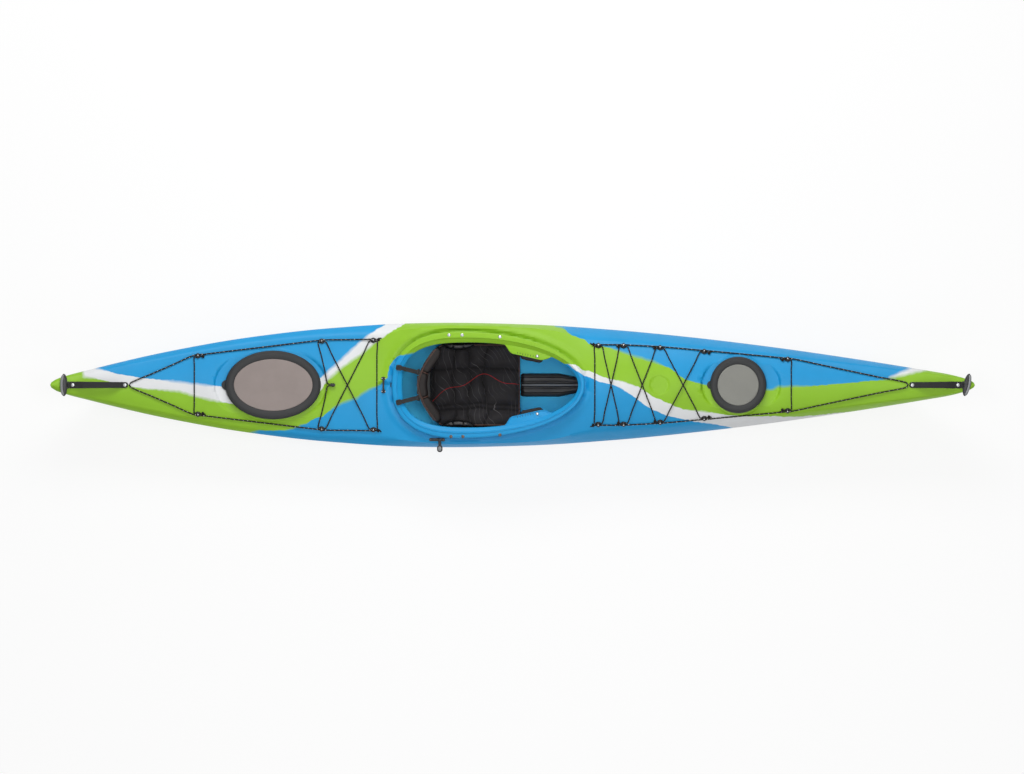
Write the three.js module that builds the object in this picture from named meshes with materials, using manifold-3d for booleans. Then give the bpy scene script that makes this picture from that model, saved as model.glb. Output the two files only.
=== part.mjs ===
// A rotomoulded sea kayak: one hollow hull with a raised coaming, two hatches, a drop skeg, an outfitted
// cockpit and laced deck lines. Sizes are millimetres. +X is the bow, +Y is port and +Z is up, and the
// origin is on the flat of the keel at mid-length.
import * as THREE from 'three';
import { mergeVertices } from 'three/addons/utils/BufferGeometryUtils.js';
import Module from 'manifold-3d';

const wasm = await Module();
wasm.setup();

// Driving dimensions of the hull
const hull_length = 4420;
const hull_beam = 598;
const hull_height = 408;
const hull_skin = 5.5;
const keel_flat_width = 32;
const bow_rake = 330;
const stern_rake = 250;
const station_count = 36;
const inner_station_count = 26;
const fit_gap = 0.3;
const cut_overrun = 30;

// Lines of the hull. Stations are shares of half the length, from the stern at -1 to the bow at 1.
const beam_station_shares = [
  -1, -0.985, -0.915, -0.742, -0.568, -0.395, -0.222, -0.135, 0.038, 0.212, 0.385, 0.558, 0.732, 0.905,
  0.948, 0.988, 1,
];
const beam_shares = [
  0.03, 0.1, 0.2475, 0.545, 0.769, 0.913, 0.99, 1, 0.972, 0.89, 0.769, 0.615, 0.431, 0.224, 0.167, 0.08,
  0.025,
];
const keel_station_shares = [-1, -0.95, -0.85, -0.7, -0.45, 0.45, 0.7, 0.85, 0.95, 1];
const keel_height_shares = [0.16, 0.1, 0.042, 0.012, 0, 0, 0.015, 0.05, 0.12, 0.19];
const gunwale_station_shares = [-1, -0.9, -0.75, -0.5, -0.25, 0, 0.25, 0.5, 0.75, 0.9, 1];
const gunwale_height_shares = [0.8, 0.69, 0.585, 0.49, 0.453, 0.453, 0.47, 0.527, 0.657, 0.81, 0.94];
const crease_station_shares = [
  -1, -0.9, -0.75, -0.52, -0.38, -0.3, -0.25, -0.19, -0.14, 0, 0.08, 0.176, 0.3, 0.49, 0.65, 0.8, 0.92, 1,
];
const crease_inset_shares = [
  0.01, 0.06, 0.094, 0.1, 0.12, 0.14, 0.112, 0.075, 0.054, 0.054, 0.08, 0.177, 0.167, 0.14, 0.115, 0.085,
  0.05, 0.008,
];
const crease_height_shares = [
  0.862, 0.77, 0.67, 0.569, 0.55, 0.548, 0.572, 0.61, 0.637, 0.667, 0.683, 0.691, 0.705, 0.748, 0.79, 0.865,
  0.94, 0.985,
];
const crown_station_shares = [
  -1, -0.9, -0.75, -0.52, -0.4, -0.28, -0.2, 0, 0.1, 0.16, 0.25, 0.49, 0.65, 0.8, 0.92, 1,
];
const crown_height_shares = [
  0.887, 0.806, 0.718, 0.632, 0.604, 0.596, 0.635, 0.74, 0.79, 0.824, 0.831, 0.83, 0.856, 0.909, 0.963, 1,
];

// Cross-section of the hull, from the edge of the keel flat to the gunwale: shares of the half-beam and of
// the height between keel and gunwale, amidships and at the ends.
const bilge_width_shares = [0.3, 0.55, 0.75, 0.885, 0.955, 0.99, 1];
const bilge_height_shares = [0.035, 0.085, 0.165, 0.31, 0.53, 0.77, 1];
const stem_width_shares = [0.14, 0.28, 0.42, 0.57, 0.72, 0.87, 1];
const stem_height_shares = [0.14, 0.27, 0.4, 0.54, 0.69, 0.84, 1];
const deck_width_shares = [1, 0.86, 0.66, 0.44, 0.22, 0];
const deck_camber_power = 1.9;
const stem_power = 1.5;
const stem_flare_start_share = 0.3;
const rake_start_share = 0.72;
const hollow_end_share = 0.93;
const station_crowding_share = 0.6;

// Cockpit coaming: the outer edge of its lip and the inner edge of its flange are both egg shapes
const lip_egg = { aft: -576, fore: 345, widest: -250, half_width: 254, aft_power: 2.4, fore_power: 2.05 };
const mouth_egg = { aft: -528, fore: 315, widest: -200, half_width: 203.5, aft_power: 2.9, fore_power: 2 };
const coaming_aft_height = 272;
const coaming_fore_height = 362;
const lip_thickness = 7;
const lip_ridge = 4;
const flange_drop = 11;
const flange_thickness = 5;
const coaming_wall_outer_share = 0.46;
const coaming_wall_inner_share = 0.6;
const lip_crest_share = 0.5;
const lip_shoulder_share = 0.12;
const coaming_segments = 42;

// Thigh-brace tabs of the coaming, with their adjusting slots and sliding pads
const tab_aft = -42;
const tab_shoulder = 2;
const tab_nose = 150;
const tab_fore = 188;
const tab_aft_share = 0.7224;
const tab_fore_share = 0.5848;
const tab_aft_reach = mouth_egg.half_width * tab_aft_share;
const tab_fore_reach = mouth_egg.half_width * tab_fore_share;
const tab_overlap = 12;
const brace_slot_lead = 24;
const brace_slot_tail = 30;
const brace_slot_aft_edge = 10;
const brace_slot_fore_edge = 19;
const brace_slot_aft = { x: tab_shoulder + brace_slot_lead, y: tab_aft_reach + brace_slot_aft_edge };
const brace_slot_fore = { x: tab_nose - brace_slot_tail, y: tab_fore_reach + brace_slot_fore_edge };
const brace_slot_width = 8;
const brace_pad_length = 112;
const brace_pad_width = 44;
const brace_pad_thickness = 20;
const brace_pad_lead = 24;
const brace_bolt_diameter = 6;
const brace_bolt_head_diameter = 14;
const brace_bolt_head_height = 5;
const brace_bolt_length = 16;

// Hatches, each on a flat seat sunk in the deck: oval aft, round forward
const hatch_spigot_height = 20;
const hatch_spigot_wall = 7;
const hatch_skirt_wall = 8;
const hatch_cover_roof = 6;
const hatch_plinth_margin = 8;
const hatch_plate_thickness = 3;
const hatch_recess_flare = 10;
const rear_hatch_along = -0.51901;
const front_hatch_along = 0.48914;
const rear_hatch = {
  x: (hull_length / 2) * rear_hatch_along, half_length: 229, half_width: 164.5, rim: 40, seat_depth: 12,
  recess_shift: -11, recess_half_length: 265, recess_half_width: 179, tab_reach: 18, tab_radius: 25,
};
const front_hatch = {
  x: (hull_length / 2) * front_hatch_along, half_length: 135, half_width: 135, rim: 36.5, seat_depth: 14,
  recess_shift: 13, recess_half_length: 184, recess_half_width: 143, tab_reach: 14, tab_radius: 20,
};

// Security bar behind the cockpit and its finger dish, and the flat seat for a compass
const security_bar_x = -617;
const security_bar_span = 62;
const security_bar_diameter = 8;
const security_bar_rise = 16;
const security_foot_length = 22;
const security_foot_width = 17;
const security_foot_thickness = 3;
const dish_half_length = 20;
const dish_half_width = 22;
const dish_depth = 10;
const compass_along = 0.319;
const compass_x = (hull_length / 2) * compass_along;
const compass_radius = 44;
const compass_seat_depth = 4.5;

// Bulkheads
const rear_bulkhead_x = -590;
const front_bulkhead_along = 0.362;
const front_bulkhead_x = (hull_length / 2) * front_bulkhead_along;
const bulkhead_thickness = 10;

// Keel stiffener on the cockpit floor
const stiffener_aft = 52;
const stiffener_fore = 620;
const stiffener_width = 109;
const stiffener_fore_width = 78;
const stiffener_height = 26;
const stiffener_taper_start = 230;
const stiffener_rib_height = 8;

// Seat
const seat_aft = -402;
const seat_fore = 38;
const seat_pan_bottom = 24;
const seat_pan_half_width = 214;
const seat_pan_floor_half_width = 140;
const seat_pan_bilge_height = 80;
const seat_pan_wall = 5;
const seat_hanger_aft = -345;
const seat_hanger_fore = -46;
const seat_hanger_clearance = 3;
const seat_skid_y = 100;
const seat_skid_width = 18;
const seat_rear_height = 62;
const seat_front_height = 96;
const cushion_thickness = 40;
const cushion_front_rise = 34;
const cushion_crown = 9;
const cushion_bolster = 14;
const cushion_channel = 6;
const cushion_margin = 8;
const cushion_corner = 82;
const cushion_corner_share = 0.8;
const cushion_side_gap = 14;
const cushion_half_width = seat_pan_half_width - cushion_side_gap;
const hip_pad_length = 158;
const hip_pad_x = -260;
const hip_pad_height = 70;
const hip_pad_thickness = 34;
const hip_pad_bottom = 96;

// Backrest: a curved padded band on a stiff shell that pivots on the seat pan
const backrest_pivot_x = -414;
const backrest_pivot_z = 92;
const backrest_pin_diameter = 8;
const backrest_pin_clearance = 0.5;
const backrest_ear_thickness = 7;
const backrest_ear_y = 56;
const backrest_ear_radius = 11;
const backrest_crest_x = -458;
const backrest_end_x = -362;
const backrest_half_width = 190;
const backrest_bottom = 122;
const backrest_end_bottom = 212;
const backrest_top = 296;
const backrest_pad_thickness = 38;
const backrest_shell_thickness = 4;
const backrest_neck_width = 90;
const backrest_neck_overlap = 30;
const strap_width = 20;
const strap_thickness = 2.5;
const strap_crest_y = 62;
const strap_anchor_y = 86;
const strap_anchor_x = -557;
const strap_height_on_shell = 262;
const strap_drop = 6;
const strap_run_on_lip = 34;
const strap_run_over_edge = 14;
const strap_inward_run = 7;
const strap_free_run = 10;
const strap_free_rise = 4;
const strap_slant_share = 0.2;

// Foot braces
const foot_rail_aft = 380;
const foot_rail_fore = 740;
const foot_rail_z = 150;
const foot_rail_height = 30;
const foot_rail_depth = 14;
const foot_rail_slot = 10;
const foot_rail_groove = 18;
const foot_rail_lip = 4;
const foot_rail_web = 3.5;
const foot_runner_play = 0.6;
const foot_pedal_x = 560;
const foot_pedal_width = 78;
const foot_pedal_height = 108;
const foot_pedal_thickness = 9;
const foot_pedal_shoe_length = 56;
const foot_pedal_shoe_depth = 12;
const foot_pedal_rib = 3;
const foot_pedal_rib_count = 4;

// Drop skeg: box, blade and pivot aft, pull toggle beside the cockpit
const skeg_along = -0.59276;
const skeg_pivot_x = (hull_length / 2) * skeg_along;
const skeg_pivot_z = 56;
const skeg_blade_length = 318;
const skeg_blade_depth = 112;
const skeg_blade_thickness = 8;
const skeg_blade_nose = 22;
const skeg_slot_width = 12;
const skeg_box_wall = 4;
const skeg_box_height = 170;
const skeg_box_margin = 12;
const skeg_pin_diameter = 6;
const fairlead_x = -360;
const fairlead_y = 262;
const fairlead_length = 76;
const fairlead_width = 15;
const fairlead_thickness = 6;
const fairlead_boss_x = -346;
const fairlead_boss_width = 16;
const fairlead_boss_height = 15;
const skeg_cord_diameter = 4;
const skeg_tube_diameter = 9;
const skeg_tube_hole_route = [
  { back: 0, inboard: 0, drop: 11 },
  { back: 14, inboard: 6, drop: 26 },
  { back: 70, inboard: 24, drop: 42 },
];
const skeg_tube_side_shares = [
  { along: -0.2398, out: -0.6555, up: 0.4559 },
  { along: -0.2941, out: -0.6087, up: 0.4314 },
  { along: -0.3982, out: -0.6187, up: 0.4044 },
  { along: -0.5113, out: -0.5017, up: 0.4044 },
  { along: -0.571, out: -0.408, up: 0.4216 },
];
const skeg_tube_end_back = 30;
const toggle_stem_diameter = 10;
const toggle_stem_length = 18;
const toggle_knob_length = 34;
const toggle_knob_width = 26;
const toggle_knob_thickness = 14;

// Deck fittings and lines
const fitting_length = 28;
const fitting_width = 25;
const fitting_base = 3;
const fitting_arch_width = 9;
const fitting_arch_height = 15;
const fitting_hole_width = 16;
const fitting_hole_height = 9;
const line_diameter = 6.5;
const bungee_diameter = 6;
const line_pitch = 130;
const bungee_pitch = 66;
const end_bungee_pitch = 47;
const cord_lane = 3.8;
const cord_exit = 17;
const cord_rest_gap = 2;
const cord_lock_along = -0.38914;
const cord_lock_x = (hull_length / 2) * cord_lock_along;
const cord_lock_length = 24;
const cord_lock_diameter = 17;
const fitting_shares = [
  { name: 'stern', along: -0.6819, out: 0.4649 },
  { name: 'aft', along: -0.4136, out: 0.7023 },
  { name: 'quarter', along: -0.3014, out: 0.7157 },
  { name: 'knee', along: 0.1864, out: 0.6254 },
  { name: 'midfore', along: 0.2412, out: 0.6221 },
  { name: 'fore', along: 0.3204, out: 0.592 },
  { name: 'hatch', along: 0.4158, out: 0.5318 },
  { name: 'bow', along: 0.5964, out: 0.408 },
];
const fitting_places = fitting_shares.map(({ name, along, out }) => (
  { name, x: (hull_length / 2) * along, y: (hull_beam / 2) * out }));

// Carry handles at both ends
const strap_band_width = 24;
const strap_band_thickness = 5;
const strap_pad_width = 36;
const strap_pad_length = 30;
const strap_band_rise = 22;
const stern_strap_inset = 107;
const stern_strap_span = 248;
const bow_strap_inset = 80;
const bow_strap_span = 217;
const stern_strap = {
  inner: -hull_length / 2 + stern_strap_inset + stern_strap_span,
  outer: -hull_length / 2 + stern_strap_inset,
};
const bow_strap = {
  inner: hull_length / 2 - bow_strap_inset - bow_strap_span,
  outer: hull_length / 2 - bow_strap_inset,
};
const knuckle_diameter = 15;
const knuckle_bore = 8;
const knuckle_width = 20;
const grip_pin_diameter = 6.5;
const grip_arm_width = 6;
const grip_arm_gap = 1;
const grip_neck_length = 17;
const grip_width = 105;
const grip_depth = 21;
const grip_thickness = 13;
const bow_grip_skew_share = 0.21;

// Finishes of the pieces
function finish(color, roughness, metalness = 0) {
  return new THREE.MeshStandardMaterial({ color, roughness, metalness });
}

const finishes = {
  plastic: finish('#8fc332', 0.42),
  bulkhead: finish('#3a3d40', 0.85),
  moulding: finish('#17181a', 0.5),
  cushion: finish('#262526', 0.9),
  webbing: finish('#1b1b1c', 0.88),
  rubber: finish('#2b2b2c', 0.7),
  lid: finish('#9a908c', 0.6),
  cord: finish('#1d1a18', 0.8),
  steel: finish('#b9bcbf', 0.3, 1),
  blade: finish('#222427', 0.45),
};

// Small tools: curves through tables, lofts through rings, and joining and cutting

/** Returns a smooth function through a table, without overshoot between its values. */
function curve_through(shares, values) {
  const secants = values.slice(1).map((value, i) => (value - values[i]) / (shares[i + 1] - shares[i]));
  const slopes = values.map((_, i) => {
    const before = secants[Math.max(i - 1, 0)];
    const after = secants[Math.min(i, secants.length - 1)];
    return before * after <= 0 ? 0 : (2 * before * after) / (before + after);
  });
  return (share) => {
    const found = shares.findIndex((end, i) => i > 0 && share <= end);
    const k = found < 0 ? shares.length - 2 : found - 1;
    const width = shares[k + 1] - shares[k];
    const t = THREE.MathUtils.clamp((share - shares[k]) / width, 0, 1);
    const rise = t * t * (3 - 2 * t);
    const lead_in = t * (1 - t) * (1 - t) * slopes[k] * width;
    const lead_out = t * t * (1 - t) * slopes[k + 1] * width;
    return values[k] + (values[k + 1] - values[k]) * rise + lead_in - lead_out;
  };
}

/** Builds a closed geometry from corner points and triangles, turned so that its faces point out. */
function closed_geometry(points, triangles) {
  const volume = triangles.reduce((sum, [a, b, c]) => {
    return sum + points[a].dot(new THREE.Vector3().crossVectors(points[b], points[c]));
  }, 0);
  const index = triangles.flatMap(([a, b, c]) => (volume < 0 ? [a, c, b] : [a, b, c]));
  const geometry = new THREE.BufferGeometry();
  geometry.setAttribute('position', new THREE.Float32BufferAttribute(points.flatMap((p) => p.toArray()), 3));
  geometry.setIndex(index);
  geometry.computeVertexNormals();
  return geometry;
}

/** Lofts a skin through rings of equal counts: closed on itself, or with its two ends capped. */
function loft(rings, closed = false) {
  const count = rings[0].length;
  const triangles = [];
  const spans = closed ? rings.length : rings.length - 1;
  for (let r = 0; r < spans; r += 1) {
    const here = r * count;
    const next = ((r + 1) % rings.length) * count;
    for (let k = 0; k < count; k += 1) {
      const after = (k + 1) % count;
      triangles.push([here + k, here + after, next + after]);
      triangles.push([here + k, next + after, next + k]);
    }
  }
  if (!closed) {
    const base = (rings.length - 1) * count;
    for (let k = 0; k < (count - 1) / 2; k += 1) {
      const far = count - 1 - k;
      const near_side = [[k, far, k + 1], [k + 1, far, far - 1]];
      near_side.filter(([a, b, c]) => a !== b && b !== c && a !== c).forEach(([a, b, c]) => {
        triangles.push([a, b, c]);
        triangles.push([base + a, base + c, base + b]);
      });
    }
  }
  return closed_geometry(rings.flat(), triangles);
}

/** Turns a closed geometry into a solid that can be joined and cut. */
function solid_of(geometry) {
  const bare = geometry.clone();
  bare.deleteAttribute('normal');
  bare.deleteAttribute('uv');
  const welded = mergeVertices(bare);
  return new wasm.Manifold(new wasm.Mesh({
    numProp: 3,
    vertProperties: new Float32Array(welded.attributes.position.array),
    triVerts: new Uint32Array(welded.index.array),
  }));
}

/** Turns a joined or cut solid back into a geometry. */
function geometry_of(solid) {
  const mesh = solid.getMesh();
  const geometry = new THREE.BufferGeometry();
  geometry.setAttribute('position', new THREE.Float32BufferAttribute(mesh.vertProperties, 3));
  geometry.setIndex(Array.from(mesh.triVerts));
  geometry.computeVertexNormals();
  return geometry;
}

/** Moves a geometry by a position and turns in degrees about X, Y and Z. */
function placed(geometry, position = [0, 0, 0], degrees = [0, 0, 0]) {
  const turn = new THREE.Euler(...degrees.map(THREE.MathUtils.degToRad));
  const scale = new THREE.Vector3(1, 1, 1);
  const matrix = new THREE.Matrix4().compose(
    new THREE.Vector3(...position), new THREE.Quaternion().setFromEuler(turn), scale);
  return geometry.clone().applyMatrix4(matrix);
}

const box = (length, width, height) => new THREE.BoxGeometry(length, width, height);

/** A plate: a flat outline in X and Y, extruded upwards. */
function plate(shape, thickness, curve_steps = 6) {
  const curveSegments = curve_steps;
  return new THREE.ExtrudeGeometry(shape, { depth: thickness, bevelEnabled: false, curveSegments });
}

/** A cylinder along Z that starts at zero height. */
function post(radius, height, sides = 16) {
  const profile = [[0, 0], [radius, 0], [radius, height], [0, height]].map((p) => new THREE.Vector2(...p));
  return new THREE.LatheGeometry(profile, sides).rotateX(Math.PI / 2);
}

/** A rectangle with round corners, centred on the origin. */
function rounded_rectangle(length, width, corner) {
  const shape = new THREE.Shape();
  const x = length / 2 - corner;
  const y = width / 2 - corner;
  shape.absarc(x, y, corner, 0, Math.PI / 2);
  shape.absarc(-x, y, corner, Math.PI / 2, Math.PI);
  shape.absarc(-x, -y, corner, Math.PI, Math.PI * 1.5);
  shape.absarc(x, -y, corner, Math.PI * 1.5, Math.PI * 2);
  return shape;
}

/** A level oval ring of points; its height may be a number or a function of the place. */
function oval_ring(half_length, half_width, height, segments) {
  return Array.from({ length: segments }, (_, i) => {
    const angle = (i / segments) * Math.PI * 2;
    const x = half_length * Math.cos(angle);
    const y = half_width * Math.sin(angle);
    return new THREE.Vector3(x, y, typeof height === 'function' ? height(x, y) : height);
  });
}

/** A route that is straight between its points, with one ring of the section at each point. */
class StraightRoute extends THREE.Curve {
  constructor(points) {
    super();
    this.points = points;
  }

  getPoint(share, target = new THREE.Vector3()) {
    const place = share * (this.points.length - 1);
    const before = Math.min(Math.floor(place + Number.EPSILON * this.points.length), this.points.length - 2);
    return target.lerpVectors(this.points[before], this.points[before + 1], place - before);
  }

  getPointAt(share, target) {
    return this.getPoint(share, target);
  }

  getTangentAt(share, target = new THREE.Vector3()) {
    const here = Math.round(share * (this.points.length - 1));
    const before = this.points[Math.max(here - 1, 0)];
    const after = this.points[Math.min(here + 1, this.points.length - 1)];
    const into = this.points[here].clone().sub(before).normalize();
    const out = after.clone().sub(this.points[here]).normalize();
    return target.copy(into).add(out).normalize();
  }
}

/** A round cord, tube or rod along a list of points. */
function cord_along(points, diameter, sides = 6) {
  const section = new THREE.Shape(Array.from({ length: sides }, (_, i) => {
    const angle = (i / sides) * Math.PI * 2;
    return new THREE.Vector2(Math.cos(angle), Math.sin(angle)).multiplyScalar(diameter / 2);
  }));
  const extrudePath = new StraightRoute(points);
  return new THREE.ExtrudeGeometry(section, { steps: points.length - 1, extrudePath, bevelEnabled: false });
}

const kayak = new THREE.Group();

/** Adds one named sub-part to the kayak, or to a group of it. */
function add_piece(name, shape, material, parent = kayak) {
  const mesh = new THREE.Mesh(shape instanceof THREE.BufferGeometry ? shape : geometry_of(shape), material);
  mesh.name = name;
  parent.add(mesh);
  return mesh;
}

// Hull lines
const half_length = hull_length / 2;
const half_beam_at = curve_through(beam_station_shares, beam_shares.map((share) => (share * hull_beam) / 2));
const keel_at = curve_through(keel_station_shares, keel_height_shares.map((share) => share * hull_height));
const gunwale_at = curve_through(
  gunwale_station_shares, gunwale_height_shares.map((share) => share * hull_height));
const crease_at = curve_through(
  crease_station_shares, crease_height_shares.map((share) => share * hull_height));
const crease_inset_at = curve_through(
  crease_station_shares, crease_inset_shares.map((share) => (share * hull_beam) / 2));
const crown_at = curve_through(
  crown_station_shares, crown_height_shares.map((share) => share * hull_height));

/** Height of the deck at a share of the way from the centreline to the crease at its edge. */
function deck_rise(station, width_share) {
  const camber = 1 - width_share ** deck_camber_power;
  return crease_at(station) + (crown_at(station) - crease_at(station)) * camber;
}

/** Height of the outside of the deck above a place. */
function deck_height(x, y) {
  const station = x / half_length;
  const crease = half_beam_at(station) - crease_inset_at(station);
  return deck_rise(station, Math.min(Math.abs(y) / crease, 1));
}

/** Slope of the deck's centreline, as a turn about Y in degrees. */
function deck_pitch(x) {
  const reach = hull_beam / 2;
  const fall = deck_height(x - reach, 0) - deck_height(x + reach, 0);
  return THREE.MathUtils.radToDeg(Math.atan2(fall, reach * 2));
}

/** The port half of the outside section, as points of (y, z) from the keel flat up to the crown. */
function half_section(station) {
  const ends = THREE.MathUtils.smoothstep(Math.abs(station), stem_flare_start_share, 1);
  const half_beam = half_beam_at(station);
  const keel = keel_at(station);
  const depth = gunwale_at(station) - keel;
  const flat = Math.min(keel_flat_width / 2, half_beam * stem_width_shares[0]);
  const section = [new THREE.Vector2(flat, keel)];
  bilge_width_shares.forEach((share, i) => {
    const width = THREE.MathUtils.lerp(share, stem_width_shares[i], ends) * half_beam;
    const height = THREE.MathUtils.lerp(bilge_height_shares[i], stem_height_shares[i], ends) * depth;
    section.push(new THREE.Vector2(width, keel + height));
  });
  const crease = half_beam - crease_inset_at(station);
  deck_width_shares.forEach((share) => {
    section.push(new THREE.Vector2(crease * share, deck_rise(station, share)));
  });
  return section;
}

/** Moves an open section inwards by a distance, square to its faces. */
function inset_section(section, distance) {
  const mirrored = (point) => new THREE.Vector2(-point.x, point.y);
  const chain = [mirrored(section[0]), ...section, mirrored(section[section.length - 2])];
  return section.map((point, i) => {
    const into = point.clone().sub(chain[i]).normalize();
    const out = chain[i + 2].clone().sub(point).normalize();
    const along = into.clone().add(out).normalize();
    const reach = distance / Math.max(along.dot(into), 0.5);
    return new THREE.Vector2(point.x - along.y * reach, point.y + along.x * reach);
  });
}

/** A full section ring of the hull, raked towards the stems, at a distance inside the outer surface. */
function hull_ring(station, inset) {
  const section = inset ? inset_section(half_section(station), inset) : half_section(station);
  const raked = THREE.MathUtils.smoothstep(Math.abs(station), rake_start_share, 1);
  const rake = (station > 0 ? bow_rake : -stern_rake) * raked;
  const keel = keel_at(station);
  const depth = gunwale_at(station) - keel;
  const vertex = (point, side) => {
    const climb = THREE.MathUtils.clamp((point.y - keel) / depth, 0, 1);
    const x = station * half_length - rake * (1 - climb) ** stem_power;
    return new THREE.Vector3(x, side * point.x, point.y);
  };
  const port = section.map((point) => vertex(point, 1));
  const starboard = section.slice(0, -1).reverse().map((point) => vertex(point, -1));
  return [...port, ...starboard];
}

/** The solid that fills the hull at a distance inside its outer surface. */
function hull_form(inset) {
  const count = inset ? inner_station_count : station_count;
  const end_share = inset ? hollow_end_share : 1;
  const rings = Array.from({ length: count + 1 }, (_, i) => {
    const even = (2 * i) / count - 1;
    const crowded = Math.sin((Math.PI / 2) * even);
    const station = even + (crowded - even) * station_crowding_share;
    return hull_ring(station * end_share, inset);
  });
  return solid_of(loft(rings));
}

const cavity = hull_form(hull_skin + fit_gap);

/** Trims a piece to the inside of the hull. */
const fitted_in_hull = (geometry) => cavity.intersect(geometry instanceof THREE.BufferGeometry
  ? solid_of(geometry) : geometry);

// Coaming: one ring swept round the cockpit, between the lip's edge and the mouth

const coaming_slope = (coaming_fore_height - coaming_aft_height) / (lip_egg.fore - lip_egg.aft);
const coaming_height = (x) => coaming_aft_height + (x - lip_egg.aft) * coaming_slope;
const coaming_pitch = -THREE.MathUtils.radToDeg(Math.atan(coaming_slope));

/** A point of an egg-shaped outline at an angle from the bow. */
function egg_point(egg, angle) {
  const forward = Math.cos(angle);
  const power = 2 / (forward > 0 ? egg.fore_power : egg.aft_power);
  const reach = forward > 0 ? egg.fore - egg.widest : egg.aft - egg.widest;
  const side = Math.sin(angle);
  return new THREE.Vector2(
    egg.widest + reach * Math.abs(forward) ** power,
    Math.sign(side) * egg.half_width * Math.abs(side) ** power);
}

/** Half the width of an egg-shaped outline at a place along it. */
function egg_half_width(egg, x) {
  const power = x > egg.widest ? egg.fore_power : egg.aft_power;
  const reach = x > egg.widest ? egg.fore - egg.widest : egg.widest - egg.aft;
  return egg.half_width * (1 - (Math.abs(x - egg.widest) / reach) ** power) ** (1 / power);
}

/** A ring between the lip's edge (share 0) and the mouth (share 1), at a height above the coaming's plane. */
function coaming_ring(share, height) {
  return Array.from({ length: coaming_segments }, (_, i) => {
    const angle = (i / coaming_segments) * Math.PI * 2;
    const place = egg_point(lip_egg, angle).lerp(egg_point(mouth_egg, angle), share);
    const z = typeof height === 'function' ? height(place.x, place.y) : coaming_height(place.x) + height;
    return new THREE.Vector3(place.x, place.y, z);
  });
}

function coaming() {
  const wall_foot = (x, y) => deck_height(x, y) - hull_skin * coaming_wall_inner_share;
  return loft([
    coaming_ring(0, -lip_thickness),
    coaming_ring(0, -lip_thickness / 3),
    coaming_ring(lip_shoulder_share, 0),
    coaming_ring(lip_crest_share, lip_ridge),
    coaming_ring(1, -flange_drop),
    coaming_ring(1, -flange_drop - flange_thickness),
    coaming_ring(coaming_wall_inner_share, -lip_thickness),
    coaming_ring(coaming_wall_inner_share, wall_foot),
    coaming_ring(coaming_wall_outer_share, wall_foot),
    coaming_ring(coaming_wall_outer_share, -lip_thickness),
  ], true);
}

/** Slants a level piece along the coaming's plane. */
function on_coaming(geometry) {
  const slant = new THREE.Matrix4().set(
    1, 0, 0, 0,
    0, 1, 0, 0,
    coaming_slope, 0, 1, coaming_height(0),
    0, 0, 0, 1);
  return geometry.applyMatrix4(slant);
}

function thigh_tab(side) {
  const edge = (x) => egg_half_width(mouth_egg, x);
  const shape = new THREE.Shape();
  shape.moveTo(tab_aft, side * (edge(tab_aft) + tab_overlap));
  shape.lineTo(tab_aft, side * edge(tab_aft));
  shape.bezierCurveTo(
    (tab_aft + tab_shoulder) / 2, side * edge(tab_aft), (tab_aft + tab_shoulder) / 2, side * tab_aft_reach,
    tab_shoulder + tab_overlap, side * tab_aft_reach);
  shape.lineTo(tab_nose - tab_overlap, side * tab_fore_reach);
  shape.quadraticCurveTo(tab_nose + tab_overlap, side * tab_fore_reach, tab_fore, side * edge(tab_fore));
  shape.lineTo(tab_fore, side * (edge(tab_fore) + tab_overlap));
  const middle = (tab_aft + tab_fore) / 2;
  shape.quadraticCurveTo(
    middle, side * (edge(middle) + tab_overlap * 1.5), tab_aft, side * (edge(tab_aft) + tab_overlap));
  const level = plate(shape, flange_thickness).translate(0, 0, -flange_drop - flange_thickness);
  return on_coaming(level);
}

/** A slot with round ends between two places of a thigh tab, cut right through it. */
function brace_slot(side) {
  const run = brace_slot_fore.x - brace_slot_aft.x;
  const drift = brace_slot_fore.y - brace_slot_aft.y;
  const length = Math.hypot(run, drift) + brace_slot_width;
  const slot = plate(
    rounded_rectangle(length, brace_slot_width, brace_slot_width * 0.49), cut_overrun * 2, 4);
  const turn = Math.atan2(side * drift, run);
  slot.rotateZ(turn);
  return slot.translate(
    (brace_slot_aft.x + brace_slot_fore.x) / 2,
    (side * (brace_slot_aft.y + brace_slot_fore.y)) / 2,
    coaming_height(0) - cut_overrun);
}

// Hatches: a flat seat in the deck, a spigot to close over, and the lid

const hatch_segments = 30;

/** Puts a piece made at a hatch's own origin, the middle of its flat seat, on the deck. */
function on_hatch(hatch, geometry) {
  const seat = [hatch.x, 0, deck_height(hatch.x, 0) - hatch.seat_depth];
  return placed(geometry, seat, [0, deck_pitch(hatch.x), 0]);
}

function hatch_tool(hatch, half_size, bottom, top, flare = 0, shift = 0) {
  const [length, width] = half_size;
  const rings = [
    oval_ring(length, width, bottom, hatch_segments),
    oval_ring(length + flare, width + flare, top, hatch_segments),
  ];
  return solid_of(on_hatch(hatch, loft(rings).translate(shift, 0, 0)));
}

/** The raised part of a hatch's flat seat; the hollow under it is the same, shrunk by the skin. */
function hatch_plinth(hatch, shrink) {
  const size = [hatch.half_length, hatch.half_width].map((half) => half + hatch_plinth_margin - shrink);
  return hatch_tool(hatch, size, -hatch.seat_depth * 3, -shrink);
}

/** The recess round a hatch; its underside is the same, grown by the skin. */
function hatch_recess(hatch, grow) {
  const size = [hatch.recess_half_length + grow, hatch.recess_half_width + grow];
  return hatch_tool(hatch, size, -grow, hatch.seat_depth * 3, hatch_recess_flare, hatch.recess_shift);
}

const spigot_inset = hatch_skirt_wall + fit_gap * 1.5;

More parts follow.
